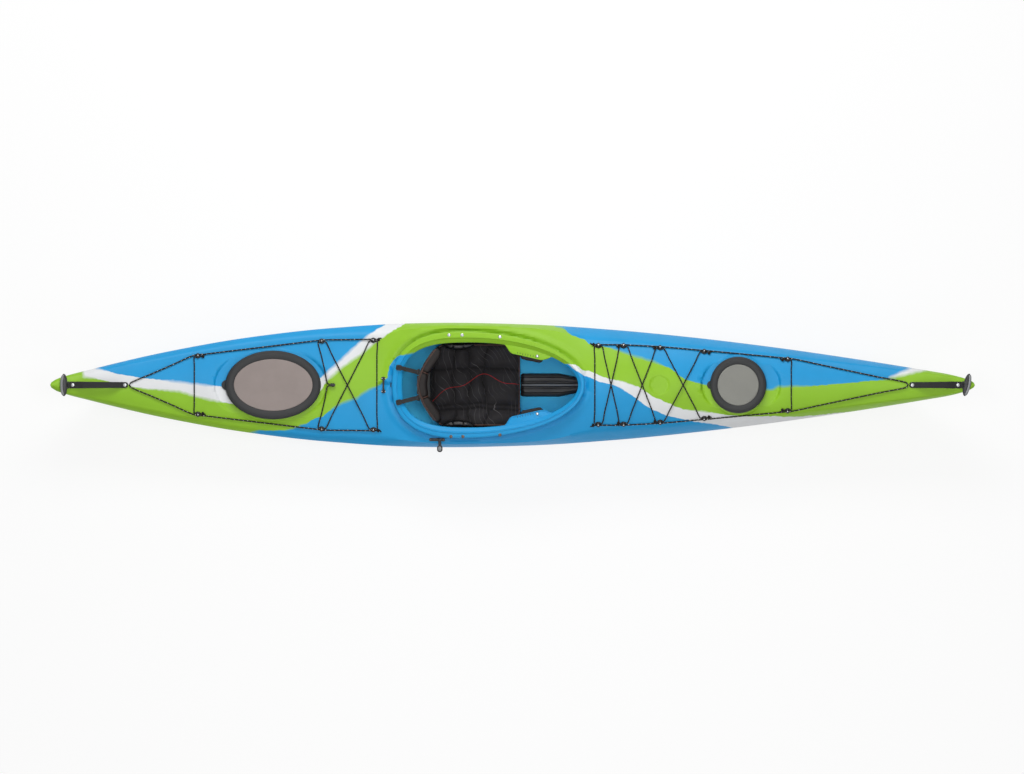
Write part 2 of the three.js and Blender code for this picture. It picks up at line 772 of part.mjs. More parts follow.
function hatch_spigot(hatch) {
  const ring = (inset, height) => oval_ring(
    hatch.half_length - inset, hatch.half_width - inset, height, hatch_segments);
  const inner = spigot_inset + hatch_spigot_wall;
  return solid_of(on_hatch(hatch, loft([
    ring(spigot_inset, -hull_skin / 2),
    ring(spigot_inset, hatch_spigot_height),
    ring(inner, hatch_spigot_height),
    ring(inner, -hull_skin / 2),
  ], true)));
}

function hatch_hole(hatch) {
  const inset = spigot_inset + hatch_spigot_wall / 2;
  const size = [hatch.half_length - inset, hatch.half_width - inset];
  return hatch_tool(hatch, size, -cut_overrun, cut_overrun);
}

function hatch_cover(hatch) {
  const ring = (inset, height) => oval_ring(
    hatch.half_length - inset, hatch.half_width - inset, height, hatch_segments);
  const underside = hatch_spigot_height + fit_gap;
  const floor = underside + hatch_cover_roof / 2;
  const crest = underside + hatch_cover_roof * 1.6;
  const body = solid_of(loft([
    ring(hatch_skirt_wall, underside),
    ring(hatch_skirt_wall, fit_gap),
    ring(0, fit_gap),
    ring(0, underside - hatch_cover_roof / 2),
    ring(hatch.rim * 0.16, crest - hatch_cover_roof / 3),
    ring(hatch.rim * 0.5, crest),
    ring(hatch.rim * 0.86, crest - hatch_cover_roof / 3),
    ring(hatch.rim, floor),
  ]));
  const tab_outline = rounded_rectangle(hatch.tab_radius * 2, hatch.tab_radius * 2, hatch.tab_radius * 0.98);
  const tab = plate(tab_outline, hatch_cover_roof, 5)
    .translate(hatch.tab_radius - hatch.tab_reach - hatch.half_length, 0, fit_gap);
  const hollow = solid_of(loft([
    ring(hatch_skirt_wall / 2, fit_gap / 2),
    ring(hatch_skirt_wall / 2, underside),
  ]));
  return on_hatch(hatch, geometry_of(body.add(solid_of(tab).subtract(hollow))));
}

function hatch_plate(hatch) {
  const floor = hatch_spigot_height + fit_gap * 2 + hatch_cover_roof / 2;
  const ring = (inset, height) => oval_ring(
    hatch.half_length - inset, hatch.half_width - inset, height, hatch_segments);
  const edge = hatch.rim + fit_gap;
  return on_hatch(hatch, loft([
    ring(edge, floor),
    ring(edge, floor + hatch_plate_thickness / 2),
    ring(edge + hatch.rim / 4, floor + hatch_plate_thickness),
  ]));
}

// Hull shell

function sunk_oval(x, half_size, depth, grow, flare) {
  const [length, width] = half_size;
  const rings = [
    oval_ring(length + grow, width + grow, -depth - grow, hatch_segments / 2),
    oval_ring(length + grow + flare, width + grow + flare, cut_overrun, hatch_segments / 2),
  ];
  return solid_of(placed(loft(rings), [x, 0, deck_height(x, 0)], [0, deck_pitch(x), 0]));
}

/** The filled hull with its deck features: the outer surface or, a skin's thickness in, the inner one. */
function moulded_form(thickness) {
  const form = hull_form(thickness);
  const with_hatches = [rear_hatch, front_hatch].reduce((whole, hatch) => {
    const raised = whole.add(hatch_plinth(hatch, thickness));
    return raised.subtract(hatch_recess(hatch, thickness));
  }, form);
  const finger_dish = sunk_oval(
    security_bar_x, [dish_half_length / 2, dish_half_width], dish_depth, thickness, dish_half_length / 4);
  const compass_seat = sunk_oval(
    compass_x, [compass_radius, compass_radius], compass_seat_depth, thickness, 0);
  return with_hatches.subtract(finger_dish).subtract(compass_seat);
}

function cockpit_cut() {
  const share = (coaming_wall_outer_share + coaming_wall_inner_share) / 2;
  const middle = (x, y) => (deck_height(x, y) + gunwale_at(0)) / 2;
  return solid_of(loft([coaming_ring(share, middle), coaming_ring(share, cut_overrun)]));
}

const skeg_reach = Math.hypot(skeg_blade_length, skeg_blade_depth / 2);
const skeg_slot_aft = skeg_pivot_x - skeg_reach - skeg_box_margin;
const skeg_slot_fore = skeg_pivot_x + skeg_blade_nose + skeg_box_margin / 2;

function skeg_slot() {
  const length = skeg_slot_fore - skeg_slot_aft;
  const middle = (skeg_slot_fore + skeg_slot_aft) / 2;
  const slot = box(length, skeg_slot_width, cut_overrun * 2);
  return solid_of(slot.translate(middle, 0, keel_at(middle / half_length)));
}

const fairlead_seat = () => deck_height(fairlead_x, fairlead_y);

function control_hole() {
  const hole = post(skeg_tube_diameter / 2, cut_overrun * 2, 10);
  return solid_of(placed(hole, [fairlead_x, -fairlead_y, fairlead_seat() - cut_overrun]));
}

const shell = moulded_form(0)
  .subtract(moulded_form(hull_skin))
  .subtract(cockpit_cut())
  .add(solid_of(coaming()))
  .add(solid_of(thigh_tab(1)))
  .add(solid_of(thigh_tab(-1)))
  .subtract(solid_of(brace_slot(1)))
  .subtract(solid_of(brace_slot(-1)))
  .subtract(hatch_hole(rear_hatch))
  .subtract(hatch_hole(front_hatch))
  .add(hatch_spigot(rear_hatch))
  .add(hatch_spigot(front_hatch))
  .subtract(skeg_slot())
  .subtract(control_hole());
const hull_shell = add_piece('hull_shell', shell, finishes.plastic);
hull_shell.updateMatrixWorld(true);

/** Finds where the shell's outside lies under a place, and which way its deck faces there. */
function deck_seat(x, y) {
  const above = new THREE.Vector3(x, y, hull_height * 2);
  const hit = new THREE.Raycaster(above, new THREE.Vector3(0, 0, -1)).intersectObject(hull_shell)[0];
  return { point: hit.point, facing: hit.face.normal.clone() };
}

/** A group that stands on the deck, square to it, just clear of its surface. */
function deck_group(x, y, turn = 0) {
  const { point, facing } = deck_seat(x, y);
  const group = new THREE.Group();
  group.position.copy(point).addScaledVector(facing, fit_gap);
  group.quaternion.setFromUnitVectors(new THREE.Vector3(0, 0, 1), facing);
  group.rotateZ(turn);
  group.updateMatrixWorld(true);
  kayak.add(group);
  return group;
}

// Bulkheads: flat walls cut to the inside of the hull

const skeg_tube_places = [
  ...skeg_tube_hole_route.map(({ back, inboard, drop }) => new THREE.Vector3(
    fairlead_x - back, inboard - fairlead_y, fairlead_seat() - drop)),
  ...skeg_tube_side_shares.map(({ along, out, up }) => new THREE.Vector3(
    (hull_length / 2) * along, (hull_beam / 2) * out, hull_height * up)),
  new THREE.Vector3(
    skeg_pivot_x - skeg_tube_end_back, 0, skeg_box_height + skeg_tube_diameter / 2 + fit_gap),
];

const skeg_tube_points = new THREE.CatmullRomCurve3(skeg_tube_places, false, 'centripetal').getPoints(20);

function bulkhead(x) {
  const slab = box(bulkhead_thickness, hull_beam, hull_height);
  return fitted_in_hull(slab.translate(x + bulkhead_thickness / 2, 0, hull_height / 2));
}

const skeg_tube_clearance = cord_along(skeg_tube_points, skeg_tube_diameter + fit_gap * 4, 8);
const rear_bulkhead = bulkhead(rear_bulkhead_x).subtract(solid_of(skeg_tube_clearance));
add_piece('rear_bulkhead', rear_bulkhead, finishes.bulkhead);
add_piece('front_bulkhead', bulkhead(front_bulkhead_x), finishes.bulkhead);
add_piece('skeg_line_tube', cord_along(skeg_tube_points, skeg_tube_diameter), finishes.moulding);

// Keel stiffener: a ribbed runner along the cockpit floor

function keel_stiffener() {
  const floor = hull_skin * 2;
  const edge = stiffener_width / 2;
  const fore_edge = stiffener_fore_width / 2;
  const outline = new THREE.Shape();
  outline.moveTo(stiffener_aft, -edge);
  outline.lineTo(stiffener_taper_start, -edge);
  outline.lineTo(stiffener_fore, -fore_edge);
  outline.lineTo(stiffener_fore, fore_edge);
  outline.lineTo(stiffener_taper_start, edge);
  outline.lineTo(stiffener_aft, edge);
  const base = solid_of(plate(outline, floor + stiffener_height));
  const length = stiffener_fore - stiffener_aft + cut_overrun;
  const groove_width = edge / 5;
  const middle = (stiffener_aft + stiffener_fore) / 2;
  const height = floor + stiffener_height;
  const grooves = [-0.62, -0.26, 0.26, 0.62].map((share) => solid_of(
    box(length, groove_width, stiffener_rib_height * 2).translate(middle, share * edge, height)));
  return grooves.reduce((whole, groove) => whole.subtract(groove), fitted_in_hull(base));
}

add_piece('keel_stiffener', keel_stiffener(), finishes.moulding);

// Seat: a hung pan, a contoured cushion, hip pads and a folding backrest

/** Extrudes a closed outline of (y, z) places along X between two stations. */
function along_x(points, from, to) {
  const shape = new THREE.Shape(points.map(([y, z]) => new THREE.Vector2(y, z)));
  const geometry = new THREE.ExtrudeGeometry(shape, { depth: to - from, bevelEnabled: false });
  geometry.applyMatrix4(new THREE.Matrix4().set(0, 0, 1, from, 1, 0, 0, 0, 0, 1, 0, 0, 0, 0, 0, 1));
  return geometry;
}

/** Extrudes a closed outline of (x, z) places across the hull, centred on a place. */
function across(points, width, y = 0) {
  const shape = new THREE.Shape(points.map(([x, z]) => new THREE.Vector2(x, z)));
  const geometry = new THREE.ExtrudeGeometry(shape, { depth: width, bevelEnabled: false });
  return geometry.rotateX(Math.PI / 2).translate(0, y + width / 2, 0);
}

const hanger_top = (x) => coaming_height(x) - flange_drop - flange_thickness - seat_hanger_clearance;

function seat_pan() {
  const top = hull_height;
  const trough = (inset) => [
    [-seat_pan_floor_half_width + inset / 2, seat_pan_bottom + inset],
    [seat_pan_floor_half_width - inset / 2, seat_pan_bottom + inset],
    [seat_pan_half_width - inset, seat_pan_bilge_height],
    [seat_pan_half_width - inset, top],
    [-seat_pan_half_width + inset, top],
    [-seat_pan_half_width + inset, seat_pan_bilge_height],
  ];
  const outer = solid_of(along_x(trough(0), seat_aft, seat_fore));
  const inner = solid_of(along_x(trough(seat_pan_wall), seat_aft - cut_overrun, seat_fore + cut_overrun));
  const flank = solid_of(across([
    [seat_aft - cut_overrun, 0],
    [seat_fore + cut_overrun, 0],
    [seat_fore + cut_overrun, seat_front_height],
    [seat_fore - seat_pan_wall, seat_front_height],
    [seat_hanger_fore, seat_front_height + cut_overrun * 2],
    [seat_hanger_fore, hanger_top(seat_hanger_fore)],
    [seat_hanger_aft, hanger_top(seat_hanger_aft)],
    [seat_hanger_aft, seat_front_height + cut_overrun],
    [seat_aft, seat_rear_height + cut_overrun],
    [seat_aft - cut_overrun, seat_rear_height + cut_overrun],
  ], hull_beam));
  const window_length = (seat_hanger_fore - seat_hanger_aft) / 2;
  const window_height = seat_front_height * 0.7;
  const window_shape = rounded_rectangle(window_length, window_height, window_height / 4);
  const window_cut = solid_of(placed(
    plate(window_shape, hull_beam, 3), [
      (seat_hanger_fore + seat_hanger_aft) / 2, hull_beam / 2, seat_front_height * 2.1], [90, 0, 0]));
  const ear_profile = [
    [backrest_pivot_x - backrest_ear_radius, seat_pan_bottom],
    [backrest_pivot_x + backrest_ear_radius, seat_pan_bottom],
    [backrest_pivot_x + backrest_ear_radius, backrest_pivot_z + backrest_ear_radius / 2],
    [backrest_pivot_x + backrest_ear_radius / 2, backrest_pivot_z + backrest_ear_radius],
    [backrest_pivot_x - backrest_ear_radius / 2, backrest_pivot_z + backrest_ear_radius],
    [backrest_pivot_x - backrest_ear_radius, backrest_pivot_z + backrest_ear_radius / 2],
  ];
  const ears = [1, -1].map(
    (side) => solid_of(across(ear_profile, backrest_ear_thickness, side * backrest_ear_y)));
  const tail_length = (backrest_ear_radius + seat_pan_wall) * 2;
  const tail_width = (backrest_ear_y + backrest_ear_thickness) * 2;
  const tail = solid_of(box(tail_length, tail_width, seat_pan_wall)
    .translate(backrest_pivot_x + seat_pan_wall, 0, seat_pan_bottom + seat_pan_wall / 2));
  const skid_top = seat_pan_bottom + seat_pan_wall / 2;
  const skids = [1, -1].map((side) => solid_of(
    box(seat_fore - seat_aft, seat_skid_width, skid_top)
      .translate((seat_fore + seat_aft) / 2, side * seat_skid_y, skid_top / 2)));
  const bore = solid_of(placed(
    post(backrest_pin_diameter / 2 + backrest_pin_clearance, hull_beam, 12),
    [backrest_pivot_x, hull_beam / 2, backrest_pivot_z], [90, 0, 0]));
  const plan = new THREE.Shape();
  const front_half = seat_pan_half_width - cushion_corner * cushion_corner_share;
  plan.moveTo(seat_aft - cut_overrun, -hull_beam / 2);
  plan.lineTo(seat_fore - cushion_corner, -hull_beam / 2);
  plan.lineTo(seat_fore - cushion_corner, -seat_pan_half_width);
  plan.lineTo(seat_fore, -front_half);
  plan.lineTo(seat_fore, front_half);
  plan.lineTo(seat_fore - cushion_corner, seat_pan_half_width);
  plan.lineTo(seat_fore - cushion_corner, hull_beam / 2);
  plan.lineTo(seat_aft - cut_overrun, hull_beam / 2);
  const planform = solid_of(plate(plan, hull_height));
  const pan = outer.subtract(inner).intersect(flank).subtract(window_cut).intersect(planform);
  return fitted_in_hull(pan.add(tail).add(ears[0]).add(ears[1]).add(skids[0]).add(skids[1]).subtract(bore));
}

add_piece('seat_pan', seat_pan(), finishes.moulding);

/** Half the width inside the seat pan at a height. */
function pan_inside(z) {
  const low = seat_pan_bottom + seat_pan_wall;
  const climb = THREE.MathUtils.clamp((z - low) / (seat_pan_bilge_height - low), 0, 1);
  const floor = seat_pan_floor_half_width - seat_pan_wall / 2;
  return THREE.MathUtils.lerp(floor, seat_pan_half_width - seat_pan_wall, climb);
}

/** The seat cushion: crowned, dished for the legs, stitched across and along, and drawn in at its sides. */
function seat_cushion() {
  const pan_top = seat_pan_bottom + seat_pan_wall + fit_gap;
  const rows = 20;
  const columns = 12;
  const seams_along = [0.27, 0.46, 0.64];
  const seams_across = [0.45, -0.45];
  const near = (value, seams, reach) => Math.max(
    ...seams.map((seam) => 1 - Math.min(Math.abs(value - seam) / reach, 1)));
  const rings = Array.from({ length: rows + 1 }, (_, i) => {
    const along = i / rows;
    const x = seat_aft + cushion_margin + along * (seat_fore - seat_aft - cushion_margin);
    const corner = Math.max(x - (seat_fore - cushion_corner), 0);
    const width = cushion_half_width - corner * cushion_corner_share;
    const end_draw = 1 - Math.min(Math.min(along, 1 - along) * rows, 1);
    const rise = cushion_thickness + cushion_front_rise * THREE.MathUtils.smoothstep(along, 0.35, 0.95);
    const top = Array.from({ length: columns + 1 }, (_unused, j) => {
      const side = 1 - (2 * j) / columns;
      const crown = cushion_crown * (1 - side ** 4) * (1 - end_draw);
      const bolster = cushion_bolster * Math.abs(side) ** 3;
      const seam = Math.max(near(along, seams_along, 0.05), near(side, seams_across, 0.15));
      const channel = cushion_channel * seam;
      const drop = end_draw * cushion_margin;
      const z = pan_top + rise + crown + bolster - channel - drop;
      return new THREE.Vector3(x, side * (width - cushion_margin), z);
    });
    const flank = [0.98, 0.5, 0].map((share) => {
      const z = pan_top + share * rise;
      return new THREE.Vector2(Math.min(width, pan_inside(z) - fit_gap * 3), z);
    });
    const starboard = flank.map((place) => new THREE.Vector3(x, -place.x, place.y));
    const port = flank.map((place) => new THREE.Vector3(x, place.x, place.y)).reverse();
    return [...top, ...starboard, ...port];
  });
  return loft(rings);
}

add_piece('seat_cushion', seat_cushion(), finishes.cushion);

/** A hip pad: a plump roll along the inside of the seat's hanger. */
function hip_pad(side) {
  const outside = seat_pan_half_width - seat_pan_wall - fit_gap;
  const rings = Array.from({ length: 8 }, (_, i) => {
    const along = i / 7;
    const swell = Math.sin(Math.PI * (0.12 + along * 0.76)) ** 0.5;
    const x = hip_pad_x + (along - 0.5) * hip_pad_length;
    return Array.from({ length: 10 }, (_unused, k) => {
      const angle = (k / 10) * Math.PI * 2;
      const inward = (1 + Math.cos(angle)) / 2;
      const y = side * (outside - inward * hip_pad_thickness * swell);
      const z = hip_pad_bottom + (hip_pad_height / 2) * (1 + Math.sin(angle) * swell);
      return new THREE.Vector3(x, y, z);
    });
  });
  return loft(rings);
}

add_piece('port_hip_pad', hip_pad(1), finishes.cushion);
add_piece('starboard_hip_pad', hip_pad(-1), finishes.cushion);

/** A place on the curved front of the backrest's shell: side runs from -1 to 1 across the band. */
function backrest_place(side) {
  const bow = 1 - Math.abs(side) ** 1.7;
  return new THREE.Vector2(
    THREE.MathUtils.lerp(backrest_end_x, backrest_crest_x, bow), side * backrest_half_width);
}

/** Sections round the backrest's band, each a list of places given by thickness and height shares. */
function backrest_band(section, count, side_reach, offset, thickness) {
  const rings = Array.from({ length: count + 1 }, (_, i) => {
    const side = (1 - (2 * i) / count) * side_reach;
    const here = backrest_place(side);
    const ahead = backrest_place(side + 0.02);
    const along = ahead.clone().sub(here).normalize();
    const forward = new THREE.Vector2(along.y, -along.x);
    const low = THREE.MathUtils.lerp(backrest_bottom, backrest_end_bottom, Math.abs(side) ** 2.5);
    const high = backrest_top - (backrest_top - backrest_end_bottom) * 0.25 * side ** 4;
    const end = 1 - 0.35 * Math.max(Math.abs(side) - 0.85, 0) / 0.15;
    return section.map(([depth_share, height_share]) => {
      const out = offset + depth_share * thickness * end;
      return new THREE.Vector3(
        here.x + forward.x * out, here.y + forward.y * out, low + (high - low) * height_share);
    });
  });
  return loft(rings);
}

const backrest = new THREE.Group();
backrest.position.set(backrest_pivot_x, 0, backrest_pivot_z);
kayak.add(backrest);
const from_pivot = (geometry) => geometry.translate(-backrest_pivot_x, 0, -backrest_pivot_z);

function backrest_shell() {
  const section = [[0, 0], [1, 0], [1, 0.9], [0, 0.9]];
  const band = solid_of(backrest_band(section, 14, 0.9, 0, backrest_shell_thickness));
  const neck_profile = [
    [backrest_pivot_x - backrest_pin_diameter / 2, backrest_pivot_z],
    [backrest_pivot_x + backrest_pin_diameter / 2, backrest_pivot_z],
    [backrest_crest_x + backrest_shell_thickness, backrest_bottom + backrest_neck_overlap],
    [backrest_crest_x, backrest_bottom + backrest_neck_overlap],
  ];
  const neck = solid_of(across(neck_profile, backrest_neck_width));
  const pin_length = (backrest_ear_y + backrest_ear_thickness) * 2;
  const pin = placed(
    post(backrest_pin_diameter / 2, pin_length, 12),
    [backrest_pivot_x, pin_length / 2, backrest_pivot_z], [90, 0, 0]);
  return geometry_of(band.add(neck).add(solid_of(pin)));
}

add_piece('backrest_shell', from_pivot(backrest_shell()), finishes.moulding, backrest);

/** The backrest's pad: full at the top roll, stitched flat under it, and soft at its ends. */
function backrest_pad() {
  const section = [
    [0, 0.22], [0.45, 0.2], [0.68, 0.34], [0.7, 0.5], [0.58, 0.62], [0.82, 0.72], [1, 0.86], [0.84, 0.97],
    [0.42, 1], [0.06, 0.96], [0, 0.6],
  ];
  return backrest_band(section, 18, 1, backrest_shell_thickness + fit_gap * 2, backrest_pad_thickness);
}

add_piece('backrest_pad', from_pivot(backrest_pad()), finishes.cushion, backrest);

/** A flat strap along a list of places, in whose plane across it is level. */
function flat_strap(places, width, thickness, slant = 0) {
  const rings = places.map(([x, y, z]) => [
    [width / 2, 0], [width / 2, thickness], [-width / 2, thickness], [-width / 2, 0],
  ].map(([across_share, up]) => new THREE.Vector3(
    x + across_share * Math.sin(slant), y + across_share * Math.cos(slant), z + up)));
  return loft(rings);
}

/** A backrest strap, from the shell's back up to the rear of the coaming's flange. */
function backrest_strap(side) {
  const end = backrest_place((side * strap_crest_y) / backrest_half_width);
  const anchor_z = coaming_height(strap_anchor_x) + lip_ridge + strap_thickness;
  const edge_x = strap_anchor_x + strap_run_on_lip;
  const edge_y = strap_anchor_y - strap_inward_run;
  return flat_strap([
    [strap_anchor_x, side * strap_anchor_y, anchor_z],
    [edge_x, side * edge_y, anchor_z + fit_gap * 2],
    [edge_x + strap_run_over_edge, side * (edge_y - strap_free_rise), anchor_z - strap_drop],
    [end.x - strap_free_run, side * strap_crest_y, strap_height_on_shell + strap_free_rise],
    [end.x - fit_gap * 6, side * strap_crest_y, strap_height_on_shell],
  ], strap_width, strap_thickness, side * strap_slant_share);
}

add_piece('port_backrest_strap', backrest_strap(1), finishes.webbing);
add_piece('starboard_backrest_strap', backrest_strap(-1), finishes.webbing);

// Foot braces: a slotted rail on each side of the hull and a pedal that slides along it

/** Half the width inside the hull at a place along it and a height above the keel. */
function inside_half_width(x, z) {
  const section = half_section(x / half_length);
  const upper = section.findIndex((point) => point.y >= z);
  const [low, high] = [section[upper - 1], section[upper]];
  return THREE.MathUtils.lerp(low.x, high.x, (z - low.y) / (high.y - low.y)) - hull_skin;
}

const foot_rail_low = foot_rail_z - foot_rail_height / 2;
const rail_aft_reach = inside_half_width(foot_rail_aft, foot_rail_low) - fit_gap * 4;
const rail_fore_reach = inside_half_width(foot_rail_fore, foot_rail_low) - fit_gap * 4;
const rail_length = Math.hypot(foot_rail_fore - foot_rail_aft, rail_aft_reach - rail_fore_reach);
const rail_turn = Math.atan2(rail_aft_reach - rail_fore_reach, foot_rail_fore - foot_rail_aft);
const pedal_travel_start = (foot_pedal_x - foot_rail_aft) / (foot_rail_fore - foot_rail_aft);

/** The rail's section, as (inboard, up) places, with the slot on its inboard face. */
const rail_section = [
  [0, -foot_rail_height / 2],
  [foot_rail_depth, -foot_rail_height / 2],
  [foot_rail_depth, -foot_rail_slot / 2],
  [foot_rail_depth - foot_rail_lip, -foot_rail_slot / 2],
  [foot_rail_depth - foot_rail_lip, -foot_rail_groove / 2],
  [foot_rail_web, -foot_rail_groove / 2],
  [foot_rail_web, foot_rail_groove / 2],
  [foot_rail_depth - foot_rail_lip, foot_rail_groove / 2],
  [foot_rail_depth - foot_rail_lip, foot_rail_slot / 2],
  [foot_rail_depth, foot_rail_slot / 2],
  [foot_rail_depth, foot_rail_height / 2],
  [0, foot_rail_height / 2],
];

/** The pedal's shoe and tongue in the rail's slot, and its ribbed foot plate. */
function foot_pedal(side) {
  const play = foot_runner_play;
  const neck = foot_rail_slot / 2 - play;
  const tongue = foot_rail_groove / 2 - play;
  const back = foot_rail_web + play;
  const shoe_face = foot_rail_depth + play;
  const shoe = along_x([
    [back, -tongue],
    [foot_rail_depth - foot_rail_lip - play, -tongue],
    [foot_rail_depth - foot_rail_lip - play, -neck],
    [shoe_face, -neck],
    [shoe_face, -foot_rail_height / 2],
    [shoe_face + foot_pedal_shoe_depth, -foot_rail_height / 2],
    [shoe_face + foot_pedal_shoe_depth, foot_rail_height / 2],
    [shoe_face, foot_rail_height / 2],
    [shoe_face, neck],
    [foot_rail_depth - foot_rail_lip - play, neck],
    [foot_rail_depth - foot_rail_lip - play, tongue],
    [back, tongue],
  ].map(([inward, up]) => [-side * inward, up]), -foot_pedal_shoe_length / 2, foot_pedal_shoe_length / 2);
  const face = plate(
    rounded_rectangle(foot_pedal_width, foot_pedal_height, foot_pedal_width / 6), foot_pedal_thickness, 3);
  const middle = -side * (shoe_face + foot_pedal_width / 2);
  const upright = placed(face, [-foot_pedal_thickness / 2, middle, 0], [90, 0, 90]);
  const pitch = foot_pedal_height / (foot_pedal_rib_count + 1);
  const ribs = Array.from({ length: foot_pedal_rib_count }, (_, i) => solid_of(
    box(foot_pedal_rib * 2, foot_pedal_width * 0.8, foot_pedal_rib).translate(
      -foot_pedal_thickness / 2, middle, (i + 1) * pitch - foot_pedal_height / 2)));
  return ribs.reduce((whole, rib) => whole.add(rib), solid_of(shoe).add(solid_of(upright)));
}

[1, -1].forEach((side) => {
  const name = side > 0 ? 'port' : 'starboard';
  const rail = new THREE.Group();
  rail.position.set(foot_rail_aft, side * rail_aft_reach, foot_rail_z);
  rail.rotation.z = -side * rail_turn;
  kayak.add(rail);
  const places = rail_section.map(([inward, up]) => [-side * inward, up]);
  add_piece(`${name}_foot_rail`, along_x(places, 0, rail_length), finishes.moulding, rail);
  const pedal = add_piece(`${name}_foot_pedal`, foot_pedal(side), finishes.moulding, rail);
  pedal.position.x = pedal_travel_start * rail_length;
});

// Skeg: a narrow box over the slot in the keel, with the blade stowed in it on its pivot pin

function skeg_box() {
  const length = skeg_slot_fore - skeg_slot_aft;
  const middle = (skeg_slot_fore + skeg_slot_aft) / 2;
  const outer_width = skeg_slot_width + skeg_box_wall * 2;
  const outer = box(length + skeg_box_wall * 2, outer_width, skeg_box_height)
    .translate(middle, 0, skeg_box_height / 2);
  const hollow_height = skeg_box_height - skeg_box_wall;
  const hollow = box(length, skeg_slot_width, hollow_height * 2);
  const bore = placed(
    post(skeg_pin_diameter / 2 + fit_gap, outer_width * 2, 12),
    [skeg_pivot_x, outer_width, skeg_pivot_z], [90, 0, 0]);
  return fitted_in_hull(outer).subtract(solid_of(hollow.translate(middle, 0, 0))).subtract(solid_of(bore));
}

add_piece('skeg_box', skeg_box(), finishes.moulding);

function skeg_blade() {
  const tail = -skeg_blade_length;
  const low = keel_at(skeg_pivot_x / half_length) + fit_gap * 4 - skeg_pivot_z;
  const tail_low = keel_at((skeg_pivot_x + tail) / half_length) + fit_gap * 4 - skeg_pivot_z;
  const shape = new THREE.Shape();
  shape.moveTo(tail * 0.2, low);
  shape.lineTo(0, -skeg_blade_nose);
  shape.absarc(0, 0, skeg_blade_nose, -Math.PI / 2, Math.PI / 2);
  const tail_top = skeg_blade_depth + tail_low;
  shape.bezierCurveTo(tail * 0.3, skeg_blade_nose, tail * 0.5, tail_top, tail * 0.8, tail_top);
  shape.quadraticCurveTo(tail, tail_top, tail, skeg_blade_depth * 0.5 + tail_low);
  shape.quadraticCurveTo(tail, tail_low, tail * 0.86, tail_low);
  const hole = new THREE.Path();
  hole.absarc(0, 0, skeg_pin_diameter / 2 + fit_gap, 0, Math.PI * 2);
  shape.holes.push(hole);
  const blade = plate(shape, skeg_blade_thickness).rotateX(Math.PI / 2);
  return blade.translate(0, skeg_blade_thickness / 2, 0);
}

const skeg = add_piece('skeg_blade', skeg_blade(), finishes.blade);
skeg.position.set(skeg_pivot_x, 0, skeg_pivot_z);

const pin_length = skeg_slot_width + skeg_box_wall * 2;
const skeg_pin = add_piece('skeg_pivot_pin', post(skeg_pin_diameter / 2, pin_length, 12), finishes.steel);
skeg_pin.position.set(skeg_pivot_x, pin_length / 2, skeg_pivot_z);
skeg_pin.rotation.x = Math.PI / 2;

// Skeg control: a fairlead on the starboard deck edge, its cord and the pull toggle

function skeg_fairlead() {
  const outline = rounded_rectangle(fairlead_length, fairlead_width, fairlead_width * 0.45);
  const base = plate(outline, fairlead_thickness, 3);
  const boss = box(fairlead_boss_width, fairlead_width, fairlead_boss_height)
    .translate(fairlead_boss_x - fairlead_x, 0, fairlead_thickness + fairlead_boss_height / 2 - fit_gap);
  const bore_z = fairlead_thickness + fairlead_boss_height / 2;
  const bore = placed(
    post(skeg_cord_diameter / 2 + fit_gap, fairlead_width * 2, 8),
    [fairlead_boss_x - fairlead_x, fairlead_width, bore_z], [90, 0, 0]);
  return solid_of(base).add(solid_of(boss)).subtract(solid_of(bore));
}

// The control stands beside the hole that its cord goes down, square to the deck there
const control_offset = skeg_tube_diameter;
const control = deck_group(fairlead_x + control_offset, -fairlead_y);
const fairlead = add_piece('skeg_fairlead', skeg_fairlead(), finishes.moulding, control);
fairlead.position.x = -control_offset;

const toggle = new THREE.Group();
toggle.position.set(
  fairlead_boss_x - fairlead_x - control_offset,
  -fairlead_width / 2 - fit_gap * 2,
  fairlead_thickness + fairlead_boss_height / 2);
control.add(toggle);

/** The pull toggle: a round stem that carries a flat grip. */
function skeg_toggle() {
  const stem = placed(post(toggle_stem_diameter / 2, toggle_stem_length, 12), [0, 0, 0], [90, 0, 0]);
  const outline = rounded_rectangle(toggle_knob_width, toggle_knob_length, toggle_knob_width * 0.45);
  const knob = plate(outline, toggle_knob_thickness, 4)
    .translate(0, -toggle_stem_length - toggle_knob_length / 2 + fit_gap * 4, -toggle_knob_thickness / 2);
  const bore = placed(
    post(skeg_cord_diameter / 2 + fit_gap, toggle_stem_length / 2, 8), [0, fit_gap, 0], [90, 0, 0]);
  return solid_of(stem).add(solid_of(knob)).subtract(solid_of(bore));
}

add_piece('skeg_toggle', skeg_toggle(), finishes.moulding, toggle);
const cord_length = fairlead_width / 2 + toggle_stem_length / 3;
const cord_stub = post(skeg_cord_diameter / 2, cord_length, 8);
add_piece('skeg_cord', placed(cord_stub, [0, fairlead_width / 2, 0], [90, 0, 0]), finishes.cord, toggle);

// Hatch lids

[['rear', rear_hatch], ['front', front_hatch]].forEach(([name, hatch]) => {
  add_piece(`${name}_hatch_cover`, hatch_cover(hatch), finishes.rubber);
  add_piece(`${name}_hatch_plate`, hatch_plate(hatch), finishes.lid);
});

// Security bar: a bent rod on two feet, across a finger dish

